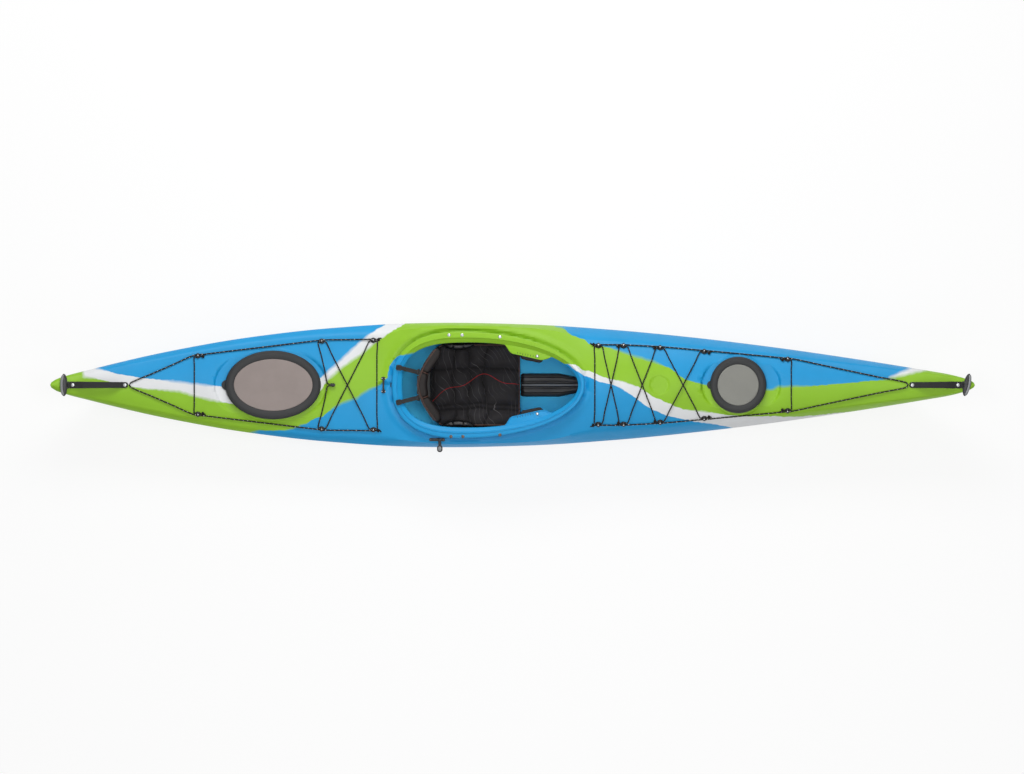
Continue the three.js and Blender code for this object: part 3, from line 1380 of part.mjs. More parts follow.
function security_bar() {
  const half = security_bar_span / 2;
  const drop = deck_height(security_bar_x, 0) - deck_seat(security_bar_x, half).point.z;
  const foot_z = fit_gap * 2 - drop;
  const rod_low = foot_z + security_foot_thickness;
  const rod = cord_along([
    [0, half, rod_low - fit_gap],
    [0, half, security_bar_rise * 0.55],
    [0, half - security_bar_rise * 0.22, security_bar_rise * 0.88],
    [0, half - security_bar_rise * 0.6, security_bar_rise],
    [0, -half + security_bar_rise * 0.6, security_bar_rise],
    [0, -half + security_bar_rise * 0.22, security_bar_rise * 0.88],
    [0, -half, security_bar_rise * 0.55],
    [0, -half, rod_low - fit_gap],
  ].map((place) => new THREE.Vector3(...place)), security_bar_diameter, 6);
  const feet = [1, -1].map((side) => solid_of(
    plate(rounded_rectangle(security_foot_width, security_foot_length, security_foot_width * 0.4),
      security_foot_thickness, 3).translate(0, side * half, foot_z)));
  return solid_of(rod).add(feet[0]).add(feet[1]);
}

const bar = add_piece('security_bar', security_bar(), finishes.moulding);
bar.position.set(security_bar_x, 0, deck_height(security_bar_x, 0));
bar.rotation.y = THREE.MathUtils.degToRad(deck_pitch(security_bar_x));

// Thigh braces: a pad under each tab, held by a bolt through the tab's slot

/** Puts a piece made round a thigh bolt's axis, under its head, on the coaming. */
const on_bolt = (side, geometry) => placed(geometry, [
  brace_slot_fore.x, side * brace_slot_fore.y, coaming_height(brace_slot_fore.x) - flange_drop,
], [0, coaming_pitch, 0]);

function brace_pad(side) {
  const run = brace_slot_fore.x - brace_slot_aft.x;
  const drift = side * (brace_slot_fore.y - brace_slot_aft.y);
  const outline = rounded_rectangle(brace_pad_length, brace_pad_width, brace_pad_width * 0.45);
  const bolt_side = (side * brace_pad_width) / 6;
  const pad = plate(outline, brace_pad_thickness, 4)
    .translate(-brace_pad_lead, -bolt_side, 0)
    .rotateZ(Math.atan2(drift, run));
  const low = -flange_drop - flange_thickness - fit_gap - brace_pad_thickness;
  const socket = post(brace_bolt_diameter / 2 + fit_gap, brace_bolt_length, 10)
    .translate(0, 0, -brace_bolt_length - fit_gap);
  return solid_of(on_coaming(pad.translate(brace_slot_fore.x, side * brace_slot_fore.y, low)))
    .subtract(solid_of(on_bolt(side, socket)));
}

function brace_bolt() {
  const radius = brace_bolt_diameter / 2;
  const head = brace_bolt_head_diameter / 2;
  const profile = [
    [0, -brace_bolt_length], [radius, -brace_bolt_length], [radius, fit_gap], [head, fit_gap],
    [head, brace_bolt_head_height * 0.6], [head * 0.7, brace_bolt_head_height], [0, brace_bolt_head_height],
  ].map((p) => new THREE.Vector2(...p));
  return new THREE.LatheGeometry(profile, 10).rotateX(Math.PI / 2);
}

[1, -1].forEach((side) => {
  const name = side > 0 ? 'port' : 'starboard';
  add_piece(`${name}_thigh_pad`, brace_pad(side), finishes.cushion);
  add_piece(`${name}_thigh_bolt`, on_bolt(side, brace_bolt()), finishes.steel);
});

// Deck fittings: an arched eye on a small base, repeated along both edges of the deck

function deck_fitting() {
  const half = fitting_width / 2;
  const hole = fitting_hole_width / 2;
  const top = fitting_base + fitting_hole_height;
  const shoulder = fitting_hole_height;
  const arch_shape = [
    [-half, 0], [half, 0], [half, shoulder], [hole, fitting_arch_height], [-hole, fitting_arch_height],
    [-half, shoulder],
  ];
  const hole_shape = [[-hole, fitting_base], [hole, fitting_base], [hole, top], [-hole, top]];
  const arch = solid_of(along_x(arch_shape, -fitting_arch_width / 2, fitting_arch_width / 2));
  const opening = solid_of(along_x(hole_shape, -cut_overrun, cut_overrun));
  const base = box(fitting_length, fitting_width * 0.92, fitting_base).translate(0, 0, fitting_base / 2);
  return geometry_of(arch.subtract(opening).add(solid_of(base)));
}

const fitting_geometry = deck_fitting();
const fittings = {};

[1, -1].forEach((side) => fitting_places.forEach((place, i) => {
  const before = fitting_places[Math.max(i - 1, 0)];
  const after = fitting_places[Math.min(i + 1, fitting_places.length - 1)];
  const turn = Math.atan2(side * (after.y - before.y), after.x - before.x);
  const group = deck_group(place.x, side * place.y, turn);
  const name = `${side > 0 ? 'port' : 'starboard'}_${place.name}_fitting`;
  add_piece(name, fitting_geometry, finishes.moulding, group);
  fittings[name] = { group, side };
}));

// Deck lines and bungees: each cord runs through the fittings and lies on the deck between them

/** The places where a cord passes through a fitting: outboard in the eye for a line, inboard for a bungee. */
function through(name, outboard, forward) {
  const { group, side } = fittings[name];
  const lane = side * (outboard ? cord_lane : -cord_lane);
  const height = fitting_base + (outboard ? line_diameter : bungee_diameter) / 2 + fit_gap;
  const straight = [-cord_exit, cord_exit];
  const held = [-cord_exit, -fitting_arch_width, fitting_arch_width, cord_exit];
  const ends = outboard ? straight : held;
  const order = forward ? ends : ends.reverse();
  return order.map((along) => group.localToWorld(new THREE.Vector3(along, lane, height)));
}

/** The places of a cord that lies on the deck between two points, raised where it crosses another. */
function lying(from, to, diameter, pitch, cross_over = 0) {
  const run = Math.hypot(to.x - from.x, to.y - from.y);
  const count = Math.max(Math.round(run / pitch) - 1, 1);
  return Array.from({ length: count }, (_, i) => {
    const share = (i + 1) / (count + 1);
    const place = from.clone().lerp(to, share);
    const rest = deck_seat(place.x, place.y).point.z + diameter / 2 + cord_rest_gap;
    const over = cross_over * Math.max(1 - Math.abs(share - 0.5) * 3, 0);
    place.z = rest + over;
    return place;
  });
}

/** Joins passes through fittings into one route, with the stretches between them laid on the deck. */
function laid_route(passes, diameter, pitch, crossings = []) {
  return passes.flatMap((pass, i) => {
    if (i === 0) {
      return pass;
    }
    const from = passes[i - 1][passes[i - 1].length - 1];
    const over = crossings.includes(i) ? diameter + cord_rest_gap : 0;
    return [...lying(from, pass[0], diameter, pitch, over), ...pass];
  });
}

const along_side = (side, names, forward) => names.map(
  (name) => through(`${side}_${name}_fitting`, true, forward));

/** A place on the centreline that a line passes, at a height above the deck. */
const on_deck = (x, y, lift) => {
  const { point } = deck_seat(x, y);
  return point.setZ(point.z + lift);
};

const line_lift = line_diameter / 2 + cord_rest_gap;
const rear_turn_x = stern_strap.inner + strap_pad_length / 2 + line_diameter;
const rear_line = laid_route([
  ...along_side('port', ['quarter', 'aft', 'stern'], false),
  [on_deck(rear_turn_x + line_diameter, line_diameter * 1.5, line_lift)],
  [on_deck(rear_turn_x, 0, line_lift)],
  [on_deck(rear_turn_x + line_diameter, -line_diameter * 1.5, line_lift)],
  ...along_side('starboard', ['stern', 'aft', 'quarter'], true),
], line_diameter, line_pitch);
add_piece('rear_deck_line', cord_along(rear_line, line_diameter), finishes.cord);

const fore_turn_x = bow_strap.inner - strap_pad_length / 2 - line_diameter;
const fore_names = ['knee', 'midfore', 'fore', 'hatch', 'bow'];
const front_line = laid_route([
  ...along_side('port', fore_names, true),
  [on_deck(fore_turn_x - line_diameter, line_diameter * 1.5, line_lift)],
  [on_deck(fore_turn_x, 0, line_lift)],
  [on_deck(fore_turn_x - line_diameter, -line_diameter * 1.5, line_lift)],
  ...along_side('starboard', [...fore_names].reverse(), false),
], line_diameter, line_pitch);
add_piece('front_deck_line', cord_along(front_line, line_diameter), finishes.cord);

const bungee = (name, forward) => through(`${name}_fitting`, false, forward);
const lock_z = deck_seat(cord_lock_x, 0).point.z + cord_lock_diameter / 2 + cord_rest_gap;
const lock_side = bungee_diameter * 0.6;
const lock_entry = (side) => [
  new THREE.Vector3(cord_lock_x - cord_lock_length / 2 - fit_gap * 3, side * lock_side, lock_z),
  new THREE.Vector3(cord_lock_x - cord_lock_length, side * lock_side * 1.6, lock_z - fit_gap * 4),
];
const rear_bungee = laid_route([
  lock_entry(1),
  bungee('port_aft', true),
  bungee('starboard_quarter', true),
  bungee('port_quarter', false),
  bungee('starboard_aft', false),
  lock_entry(-1).reverse(),
], bungee_diameter, bungee_pitch, [2]);
add_piece('rear_bungee', cord_along(rear_bungee, bungee_diameter), finishes.cord);

const front_bungee = laid_route([
  bungee('port_hatch', false),
  bungee('starboard_fore', false),
  bungee('port_midfore', false),
  bungee('starboard_knee', false),
  bungee('port_knee', true),
  bungee('starboard_midfore', true),
  bungee('port_fore', true),
  bungee('starboard_hatch', true),
], bungee_diameter, bungee_pitch, [1, 2, 3]);
add_piece('front_bungee', cord_along(front_bungee, bungee_diameter), finishes.cord);

[['stern', false], ['bow', true]].forEach(([name, forward]) => {
  const route = laid_route([
    bungee(`port_${name}`, forward),
    bungee(`starboard_${name}`, !forward),
  ], bungee_diameter, end_bungee_pitch);
  add_piece(`${name}_bungee`, cord_along(route, bungee_diameter), finishes.cord);
});

const cord_lock_barrel = post(cord_lock_diameter / 2, cord_lock_length, 10);
const cord_lock = add_piece(
  'cord_lock', placed(cord_lock_barrel, [-cord_lock_length / 2, 0, 0], [0, 90, 0]), finishes.moulding);
cord_lock.position.set(cord_lock_x, 0, lock_z);

// Carry handles: a strap with screwed pads, and a T grip that swings on the strap's end

/** The strap: two wide pads on the deck, a raised band between them and a rolled knuckle at its outer end. */
function carry_strap(strap) {
  const outward = Math.sign(strap.outer);
  const start = strap.inner - (outward * strap_pad_length) / 2;
  const end = strap.outer + (outward * strap_pad_length) / 2;
  const seat = (x) => deck_seat(x, 0).point.z + fit_gap * 2;
  const stops = [
    [start, 0, strap_pad_width],
    [start + outward * strap_pad_length, 0, strap_pad_width],
    [start + outward * strap_pad_length * 1.5, 0.35, strap_band_width],
    [start + outward * strap_pad_length * 2.3, 0.85, strap_band_width],
    [(start + end) / 2, 1, strap_band_width],
    [end - outward * strap_pad_length * 2.3, 0.85, strap_band_width],
    [end - outward * strap_pad_length * 1.5, 0.35, strap_band_width],
    [end - outward * strap_pad_length, 0, strap_pad_width],
    [end, 0, strap_pad_width],
  ];
  const chord = (x) => THREE.MathUtils.mapLinear(x, start, end, seat(start), seat(end));
  const bow_up = Math.max(...stops.map(([x]) => seat(x) - chord(x)));
  const rings = stops.map(([x, rise, width]) => {
    const z = chord(x) + bow_up + rise * strap_band_rise;
    return [[1, 0], [1, 1], [-1, 1], [-1, 0]].map(
      ([side, up]) => new THREE.Vector3(x, (side * width) / 2, z + up * strap_band_thickness));
  });
  const pivot = knuckle_pivot(strap);
  const knuckle = placed(
    post(knuckle_diameter / 2, knuckle_width, 14), [0, knuckle_width / 2, 0], [90, 0, 0]);
  const bore = placed(post(knuckle_bore / 2, knuckle_width * 2, 12), [0, knuckle_width, 0], [90, 0, 0]);
  const roll = solid_of(knuckle).subtract(solid_of(bore)).translate(pivot.toArray());
  return solid_of(loft(rings)).add(roll);
}

/** The axis of a strap's knuckle, where the grip swings. */
function knuckle_pivot(strap) {
  const outward = Math.sign(strap.outer);
  const x = strap.outer + outward * (strap_pad_length / 2 + knuckle_diameter * 0.3);
  const deck = Math.max(deck_height(x, 0), deck_height(x - outward * knuckle_diameter, 0));
  return new THREE.Vector3(x, 0, deck + knuckle_diameter / 2 + fit_gap * 3);
}

/** The T grip, made pointing forward from its pivot: a pin in the knuckle, two arms and a round crossbar. */
function t_grip(skew_share) {
  const arm_y = knuckle_width / 2 + grip_arm_gap + grip_arm_width / 2;
  const reach = grip_neck_length + grip_depth / 2;
  const pin_width = (arm_y + grip_arm_width / 2) * 2 - grip_arm_width;
  const pin = solid_of(placed(post(grip_pin_diameter / 2, pin_width, 12), [0, pin_width / 2, 0], [90, 0, 0]));
  const arms = [1, -1].map((side) => solid_of(
    box(reach + grip_pin_diameter, grip_arm_width, grip_pin_diameter * 1.1)
      .translate(reach / 2, side * arm_y, 0)));
  const bar_outline = rounded_rectangle(grip_depth, grip_width, grip_depth * 0.45);
  const bar = plate(bar_outline, grip_thickness, 4).translate(0, 0, -grip_thickness / 2);
  const skewed = new THREE.Matrix4().makeShear(0, 0, skew_share, 0, 0, 0);
  bar.applyMatrix4(skewed).translate(reach, 0, 0);
  return arms.reduce((whole, arm) => whole.add(arm), pin).add(solid_of(bar));
}

[['stern', stern_strap, 0], ['bow', bow_strap, bow_grip_skew_share]].forEach(([name, strap, skew]) => {
  add_piece(`${name}_carry_strap`, carry_strap(strap), finishes.webbing);
  const pivot = knuckle_pivot(strap);
  const outward = Math.sign(strap.outer);
  const reach = grip_neck_length + grip_depth;
  const climb = deck_height(pivot.x + outward * reach, 0) - deck_height(pivot.x, 0);
  const rest_tilt = Math.atan2(climb, reach);
  const grip = add_piece(`${name}_grip`, geometry_of(t_grip(skew)).rotateY(-rest_tilt), finishes.moulding);
  grip.position.copy(pivot);
  grip.rotation.z = outward > 0 ? 0 : Math.PI;
});

export default kayak;
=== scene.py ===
"""Visual model of a rotomoulded sea kayak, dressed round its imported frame.

Lengths are metres. +X is the bow, +Y is port and +Z is up; the origin is on the keel at mid-length.
"""
import logging
import math
from contextlib import contextmanager
from dataclasses import dataclass
from enum import Enum
from functools import lru_cache
from typing import Callable, Iterator, Sequence

import bmesh
import bpy
import numpy as np
from mathutils import Matrix, Vector


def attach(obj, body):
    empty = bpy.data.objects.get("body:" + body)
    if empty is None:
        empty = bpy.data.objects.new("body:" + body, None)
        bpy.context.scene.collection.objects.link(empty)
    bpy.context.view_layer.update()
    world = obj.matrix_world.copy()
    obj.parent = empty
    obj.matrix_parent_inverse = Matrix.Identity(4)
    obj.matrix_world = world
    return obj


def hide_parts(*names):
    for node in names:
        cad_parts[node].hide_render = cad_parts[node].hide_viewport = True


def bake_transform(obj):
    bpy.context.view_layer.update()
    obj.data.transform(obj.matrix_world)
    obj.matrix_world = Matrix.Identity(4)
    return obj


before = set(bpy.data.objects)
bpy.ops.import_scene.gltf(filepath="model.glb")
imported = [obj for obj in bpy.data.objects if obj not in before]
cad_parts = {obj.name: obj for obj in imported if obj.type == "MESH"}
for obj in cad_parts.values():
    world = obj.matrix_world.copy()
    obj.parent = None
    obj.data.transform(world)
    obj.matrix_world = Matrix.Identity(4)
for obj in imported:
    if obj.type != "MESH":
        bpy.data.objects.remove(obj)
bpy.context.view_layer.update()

LOG = logging.getLogger("kayak")
FIT_GAP = 0.0003
WELD = 1e-7
HIDDEN_EDGE = -0.05
SIDES = (("port", 1), ("starboard", -1))
Array = np.ndarray
BMesh = bmesh.types.BMesh
Node = bpy.types.Node
Object = bpy.types.Object
Socket = bpy.types.NodeSocket
Points = Sequence[tuple[float, float]]
Curve = Callable[[Array], Array]
Place = Callable[[Array, Array], Array]


# Curves and small sums


def curve_through(shares: Sequence[float], values: Sequence[float]) -> Curve:
    """Makes a smooth curve through a table, without overshoot between its values.

    Args:
        shares: Places along the curve, rising.
        values: The curve's value at each place.

    Returns:
        A function of an array of places.
    """
    at, val = np.array(shares, float), np.array(values, float)
    secants = np.diff(val) / np.diff(at)
    before = np.concatenate([secants[:1], secants])
    after = np.concatenate([secants, secants[-1:]])
    total = np.where(before * after > 0, before + after, 1.0)
    slopes = np.where(before * after > 0, 2 * before * after / total, 0.0)

    def curve(share: Array) -> Array:
        """Value of the curve at each place.

        Args:
            share: Places to read it at.

        Returns:
            Values there.
        """
        share = np.asarray(share, float)
        k = np.clip(np.searchsorted(at, share, side="left") - 1, 0, len(at) - 2)
        width = at[k + 1] - at[k]
        t = np.clip((share - at[k]) / width, 0, 1)
        rise = t * t * (3 - 2 * t)
        lead_in = t * (1 - t) ** 2 * slopes[k] * width
        lead_out = t * t * (1 - t) * slopes[k + 1] * width
        return val[k] + (val[k + 1] - val[k]) * rise + lead_in - lead_out

    return curve


def smoothstep(value: Array, low: float, high: float) -> Array:
    """Rises smoothly from 0 at low to 1 at high."""
    t = np.clip((np.asarray(value, float) - low) / (high - low), 0, 1)
    return t * t * (3 - 2 * t)


def bump(value: Array) -> Array:
    """A smooth hump of height 1 at 0 that ends at -1 and 1."""
    return np.clip(1 - np.asarray(value, float) ** 2, 0, None) ** 2


def through_points(points: Sequence[Sequence[float]], step: float, closed: bool = False) -> Array:
    """Samples a smooth route through points, without loops where they are unevenly spaced.

    Args:
        points: Places that the route passes.
        step: Distance between two samples, at most.
        closed: True where the route returns to its start.

    Returns:
        The samples, one row each.
    """
    p = np.array(points, float)
    p = np.vstack([p[-1], p, p[:2]]) if closed else np.vstack([2 * p[0] - p[1], p, 2 * p[-1] - p[-2]])
    knots = np.concatenate([[0], np.cumsum(np.sqrt(np.linalg.norm(np.diff(p, axis=0), axis=1)))])
    out = []
    for i in range(1, len(p) - 2):
        count = max(int(math.ceil(np.linalg.norm(p[i + 1] - p[i]) / step)), 1)
        k, t = knots[i - 1:i + 3], np.linspace(knots[i], knots[i + 1], count, endpoint=False)[:, None]
        blend = lambda a, b, low, high: ((high - t) * a + (t - low) * b) / (high - low)
        a1, a2, a3 = (blend(p[i - 1 + n], p[i + n], k[n], k[n + 1]) for n in range(3))
        b1, b2 = blend(a1, a2, k[0], k[2]), blend(a2, a3, k[1], k[3])
        out.append(blend(b1, b2, k[1], k[2]))
    if not closed:
        out.append(p[-2:-1])
    return np.vstack(out)


def bezier(points: Points, count: int) -> Array:
    """Samples a curve drawn by its control points.

    Args:
        points: Its control points.
        count: Number of samples.

    Returns:
        Points at even shares of it, one row each.
    """
    share, rows = np.linspace(0, 1, count)[:, None], [np.array(point) for point in points]
    while len(rows) > 1:
        rows = [a + (b - a) * share for a, b in zip(rows, rows[1:])]
    return rows[0]


def whole(value: Array) -> Array:
    """Nearest whole numbers."""
    return np.rint(value).astype(int)


def move(x: float, y: float, z: float) -> Matrix:
    """A matrix that shifts."""
    return Matrix.Translation((x, y, z))


def turned(angle: float, axis: str) -> Matrix:
    """A matrix that turns about an axis."""
    return Matrix.Rotation(angle, 4, axis)


def mirrored(points: Sequence[Sequence[float]]) -> list[tuple[float, float, float]]:
    """Some points and then, in reverse, the same ones on the other side of the centre plane."""
    return list(points) + [(x, -y, z) for x, y, z in reversed(points)]


def inside_depth(x: Array, y: Array, outline: Points) -> Array:
    """Signed distance to a closed outline seen from above: positive inside it.

    Args:
        x: Places along the hull.
        y: Places across the hull.
        outline: Points of the outline, in order.

    Returns:
        Distances, negative outside.
    """
    poly = np.array(outline, float)
    best, inside = np.full(len(x), 1e9), np.zeros(len(x), bool)
    for (ax, ay), (bx, by) in zip(poly, np.roll(poly, -1, axis=0)):
        ex, ey = bx - ax, by - ay
        t = np.clip(((x - ax) * ex + (y - ay) * ey) / max(ex * ex + ey * ey, 1e-12), 0, 1)
        best = np.minimum(best, np.hypot(x - ax - t * ex, y - ay - t * ey))
        crosses = (ay > y) != (by > y)
        with np.errstate(divide="ignore", invalid="ignore"):
            inside ^= crosses & (x < (bx - ax) * (y - ay) / (by - ay) + ax)
    return np.where(inside, best, -best)


# Mesh making


def object_of(name: str, bm: BMesh, sharp: float = 35.0) -> Object:
    """Turns a bmesh into a smooth-shaded object at the origin, with edges sharp past an angle in degrees.

    Args:
        name: Name of the object.
        bm: Its shape; the bmesh is freed.
        sharp: Angle in degrees past which its edges are sharp.

    Returns:
        The object.
    """
    mesh = bpy.data.meshes.new(name)
    bm.to_mesh(mesh)
    bm.free()
    mesh.polygons.foreach_set("use_smooth", np.ones(len(mesh.polygons), bool))
    mesh.set_sharp_from_angle(angle=math.radians(sharp))
    obj = bpy.data.objects.new(name, mesh)
    bpy.context.scene.collection.objects.link(obj)
    return obj


def added(bm: BMesh, before: set) -> list:
    """The vertices of a bmesh beyond an earlier set of them."""
    return [v for v in bm.verts if v not in before]


@contextmanager
def placing(bm: BMesh, at: Matrix) -> Iterator[set]:
    """Places by a matrix whatever is added to a bmesh meanwhile.

    Args:
        bm: The bmesh that takes them.
        at: Frame that they are moved into.

    Yields:
        Nothing.
    """
    before = set(bm.verts)
    yield before
    bmesh.ops.transform(bm, matrix=at, verts=added(bm, before))


def add_grid(bm: BMesh, columns: int, rows: int, place: Place, cap: bool = False,
             marks: Callable | None = None, at: Matrix = Matrix()) -> None:
    """Adds a grid bent into a surface, welded where it meets itself.

    Args:
        bm: The bmesh that takes it.
        columns: Steps along the first direction.
        rows: Steps along the second one.
        place: Gives the points for arrays of the two shares, each from 0 to 1.
        cap: True to close the open ends of a tube.
        marks: Gives the run along a cord or strap, and the turn round or across it, for the same shares.
        at: Matrix that places the points.
    """
    layers = [bm.verts.layers.float.get(n) or bm.verts.layers.float.new(n) for n in ("run", "turn") if marks]
    made = bmesh.ops.create_grid(bm, x_segments=columns, y_segments=rows, size=1.0)["verts"]
    shares = np.clip((np.array([v.co[:2] for v in made]) + 1) / 2, 0, 1).T
    for vert, co in zip(made, place(*shares) @ np.array(at.to_3x3()).T + np.array(at.translation)):
        vert.co = co
    for layer, values in zip(layers, marks(*shares) if marks else ()):
        for vert, value in zip(made, values):
            vert[layer] = value
    faces = {f for v in made for f in v.link_faces}
    bmesh.ops.remove_doubles(bm, verts=made, dist=WELD)
    faces = [f for f in faces if f.is_valid]
    if cap:
        ends = list({e for f in faces for e in f.edges if e.is_boundary})
        faces += bmesh.ops.holes_fill(bm, edges=ends, sides=0)["faces"]
    bmesh.ops.recalc_face_normals(bm, faces=faces)


def grid_object(name: str, columns: int, rows: int, place: Place, cap: bool = False, sharp: float = 35.0) -> Object:
    """An object of its own from one bent grid; see add_grid for its arguments.

    Args:
        name: Name of the object.
        columns: Number of steps along it.
        rows: Number of steps round it.
        place: Gives the points for shares along and round it.
        cap: True where its ends are closed.
        sharp: Angle in degrees past which its edges are sharp.

    Returns:
        The object.
    """
    bm = bmesh.new()
    add_grid(bm, columns, rows, place, cap)
    return object_of(name, bm, sharp)


def tangents_of(route: Array) -> Array:
    """The way that a route runs at each of its places."""
    tangents = np.gradient(route, axis=0)
    return tangents / np.linalg.norm(tangents, axis=1)[:, None]


def run_along(route: Array) -> Array:
    """Distance of each place of a route from its start."""
    return np.concatenate([[0], np.cumsum(np.linalg.norm(np.diff(route, axis=0), axis=1))])


def add_tube(bm: BMesh, route: Array, radius: float | Array, sides: int = 10, flatten: float = 1.0,
             at: Matrix = Matrix()) -> None:
    """Adds a capped round bar along a route.

    Args:
        bm: The bmesh that takes it.
        route: Middle of the bar, one row for each place.
        radius: Its radius, one for all or one for each place.
        sides: Steps round its section.
        flatten: Height of the section as a share of its width.
        at: Matrix that places the bar.
    """
    tangents = tangents_of(route)
    up = Vector((0, 0, 1)) if abs(tangents[0][2]) < 0.9 else Vector((1, 0, 0))
    frames = []
    for t in tangents:
        side = Vector(t).cross(up).normalized()
        up = side.cross(Vector(t)).normalized()
        frames.append((np.array(side), np.array(up)))
    out, ups = (np.array(f) for f in zip(*frames))
    radii = np.broadcast_to(np.asarray(radius, float), (len(route),))
    runs, last = run_along(route), len(route) - 1

    def place(u: Array, v: Array) -> Array:
        """Points of the bar.

        Args:
            u: Shares of the way along, from 0 to 1.
            v: Shares of the way round, from 0 to 1.

        Returns:
            Points, one row each.
        """
        i, turn = whole(u * last), v * 2 * math.pi
        reach = out[i] * np.cos(turn)[:, None] + ups[i] * (np.sin(turn) * flatten)[:, None]
        return route[i] + reach * radii[i][:, None]

    add_grid(bm, last, sides, place, True, lambda u, v: (runs[whole(u * last)], v), at)


def add_band(bm: BMesh, route: Array, width: float | Array, thickness: float, across: Sequence,
             sides: int = 18) -> None:
    """Adds a flat strap with round edges along a route.

    Args:
        bm: The bmesh that takes it.
        route: Middle of the strap, one row for each place.
        width: Its width, one for all or one for each place.
        thickness: Its thickness.
        across: Way that its width points.
        sides: Steps round its section.
    """
    tangents, last = tangents_of(route), len(route) - 1
    ways = np.broadcast_to(np.array(across, float), route.shape)
    ways = ways - tangents * np.sum(ways * tangents, axis=1)[:, None]
    ways /= np.linalg.norm(ways, axis=1)[:, None]
    faces = np.cross(tangents, ways)
    widths = np.broadcast_to(np.asarray(width, float), (len(route),))
    runs = run_along(route)

    def spread(u: Array, v: Array) -> tuple[Array, ...]:
        """Row, place across and place through the strap."""
        i, c, s = whole(u * last), np.cos(v * 2 * math.pi), np.sin(v * 2 * math.pi)
        return (i, np.sign(c) * np.abs(c) ** 0.35 * widths[i] / 2, np.sign(s) * np.abs(s) ** 0.5 * thickness / 2)

    def place(u: Array, v: Array) -> Array:
        """Points of the strap."""
        i, a, b = spread(u, v)
        return route[i] + ways[i] * a[:, None] + faces[i] * b[:, None]

    add_grid(bm, last, sides, place, True, lambda u, v: (runs[spread(u, v)[0]], spread(u, v)[1]))


def round_edges(bm: BMesh, edges: list, radius: float, segments: int) -> None:
    """Rounds some edges."""
    bmesh.ops.bevel(bm, geom=edges, offset=radius, segments=segments, profile=0.5, affect="EDGES",
                    clamp_overlap=True, material=-1)


def add_lathe(bm: BMesh, profile: Points, at: Matrix, segments: int = 24) -> None:
    """Spins a profile of (radius, height) about the Z axis and places it; it starts and ends on the axis.

    Args:
        bm: The bmesh that takes it.
        profile: Distances from the axis and heights, in order.
        at: Frame that it stands in.
        segments: Number of steps round it.
    """
    with placing(bm, at) as before:
        verts = [bm.verts.new((r, 0, z)) for r, z in profile]
        edges = [bm.edges.new(pair) for pair in zip(verts, verts[1:])]
        bmesh.ops.spin(bm, geom=verts + edges, cent=(0, 0, 0), axis=(0, 0, 1), dvec=(0, 0, 0), angle=2 * math.pi,
                       steps=segments, use_merge=True, use_duplicate=False)
        bmesh.ops.remove_doubles(bm, verts=added(bm, before), dist=WELD)
        faces = {f for v in added(bm, before) for f in v.link_faces}
        bmesh.ops.recalc_face_normals(bm, faces=list(faces))


def add_box(bm: BMesh, size: Sequence[float], at: Matrix, radius: float, segments: int = 3) -> None:
    """Adds a box with rounded edges, placed by a matrix.

    Args:
        bm: The bmesh that takes it.
        size: Length, width and height.
        at: Frame that it stands in.
        radius: Radius of its rounded edges.
        segments: Number of steps in its rounded edges.
    """
    with placing(bm, at):
        made = bmesh.ops.create_cube(bm, size=1.0)["verts"]
        bmesh.ops.scale(bm, vec=Vector(size), verts=made)
        round_edges(bm, list({e for v in made for e in v.link_edges}), radius, segments)


def add_plate(bm: BMesh, outline: Points, thickness: float, at: Matrix, radius: float, segments: int = 3) -> None:
    """Adds a flat plate from an outline, with rounded rims on both faces, placed by a matrix.

    Args:
        bm: The bmesh that takes it.
        outline: Points of the outline, in order.
        thickness: Thickness of the plate.
        at: Frame that it stands in.
        radius: Radius of its rounded edges.
        segments: Number of steps in its rounded edges.
    """
    with placing(bm, at):
        rim = [bm.verts.new((x, y, 0)) for x, y in outline]
        raised = bmesh.ops.extrude_face_region(bm, geom=[bm.faces.new(rim)])["geom"]
        top = [g for g in raised if isinstance(g, bmesh.types.BMVert)]
        bmesh.ops.translate(bm, vec=(0, 0, thickness), verts=top)
        faces = list({f for v in rim + top for f in v.link_faces})
        bmesh.ops.recalc_face_normals(bm, faces=faces)
        round_edges(bm, [e for f in faces if len(f.verts) == len(outline) for e in f.edges], radius, segments)



def rounded_outline(length: float, width: float, corner: float, steps: int = 6) -> list[tuple[float, float]]:
    """Corner points of a rectangle with round corners, anticlockwise.

    Args:
        length: Its length.
        width: Its width.
        corner: Radius of its corners.
        steps: Number of steps in each corner.

    Returns:
        Points of the outline, in order.
    """
    out = []
    for k, (sx, sy) in enumerate(((1, 1), (-1, 1), (-1, -1), (1, -1))):
        for i in range(steps + 1):
            a = math.pi / 2 * (k + i / steps)
            out.append((sx * (length / 2 - corner) + corner * math.cos(a),
                        sy * (width / 2 - corner) + corner * math.sin(a)))
    return out


def write_attribute(obj: Object, name: str, values: Array) -> None:
    """Writes one float for each vertex of an object."""
    layer = obj.data.attributes.get(name) or obj.data.attributes.new(name, "FLOAT", "POINT")
    layer.data.foreach_set("value", np.asarray(values, np.float32))


def points_of(obj: Object) -> Array:
    """The vertices of an object, one row each.

    Args:
        obj: The object.

    Returns:
        A row for each vertex.
    """
    co = np.zeros(len(obj.data.vertices) * 3)
    obj.data.vertices.foreach_get("co", co)
    return co.reshape(-1, 3)


def apply_modifiers(obj: Object) -> None:
    """Replaces an object's mesh by its mesh with all modifiers applied.

    Args:
        obj: The object.
    """
    graph = bpy.context.evaluated_depsgraph_get()
    mesh = bpy.data.meshes.new_from_object(obj.evaluated_get(graph))
    obj.modifiers.clear()
    old, obj.data = obj.data, mesh
    bpy.data.meshes.remove(old)


# Node graphs


class Effect(Enum):
    """Shared surface effects, each one node group."""

    GRAIN = "Moulded grain"
    WEAVE = "Woven threads"
    SCUFF = "Fine scuffs"


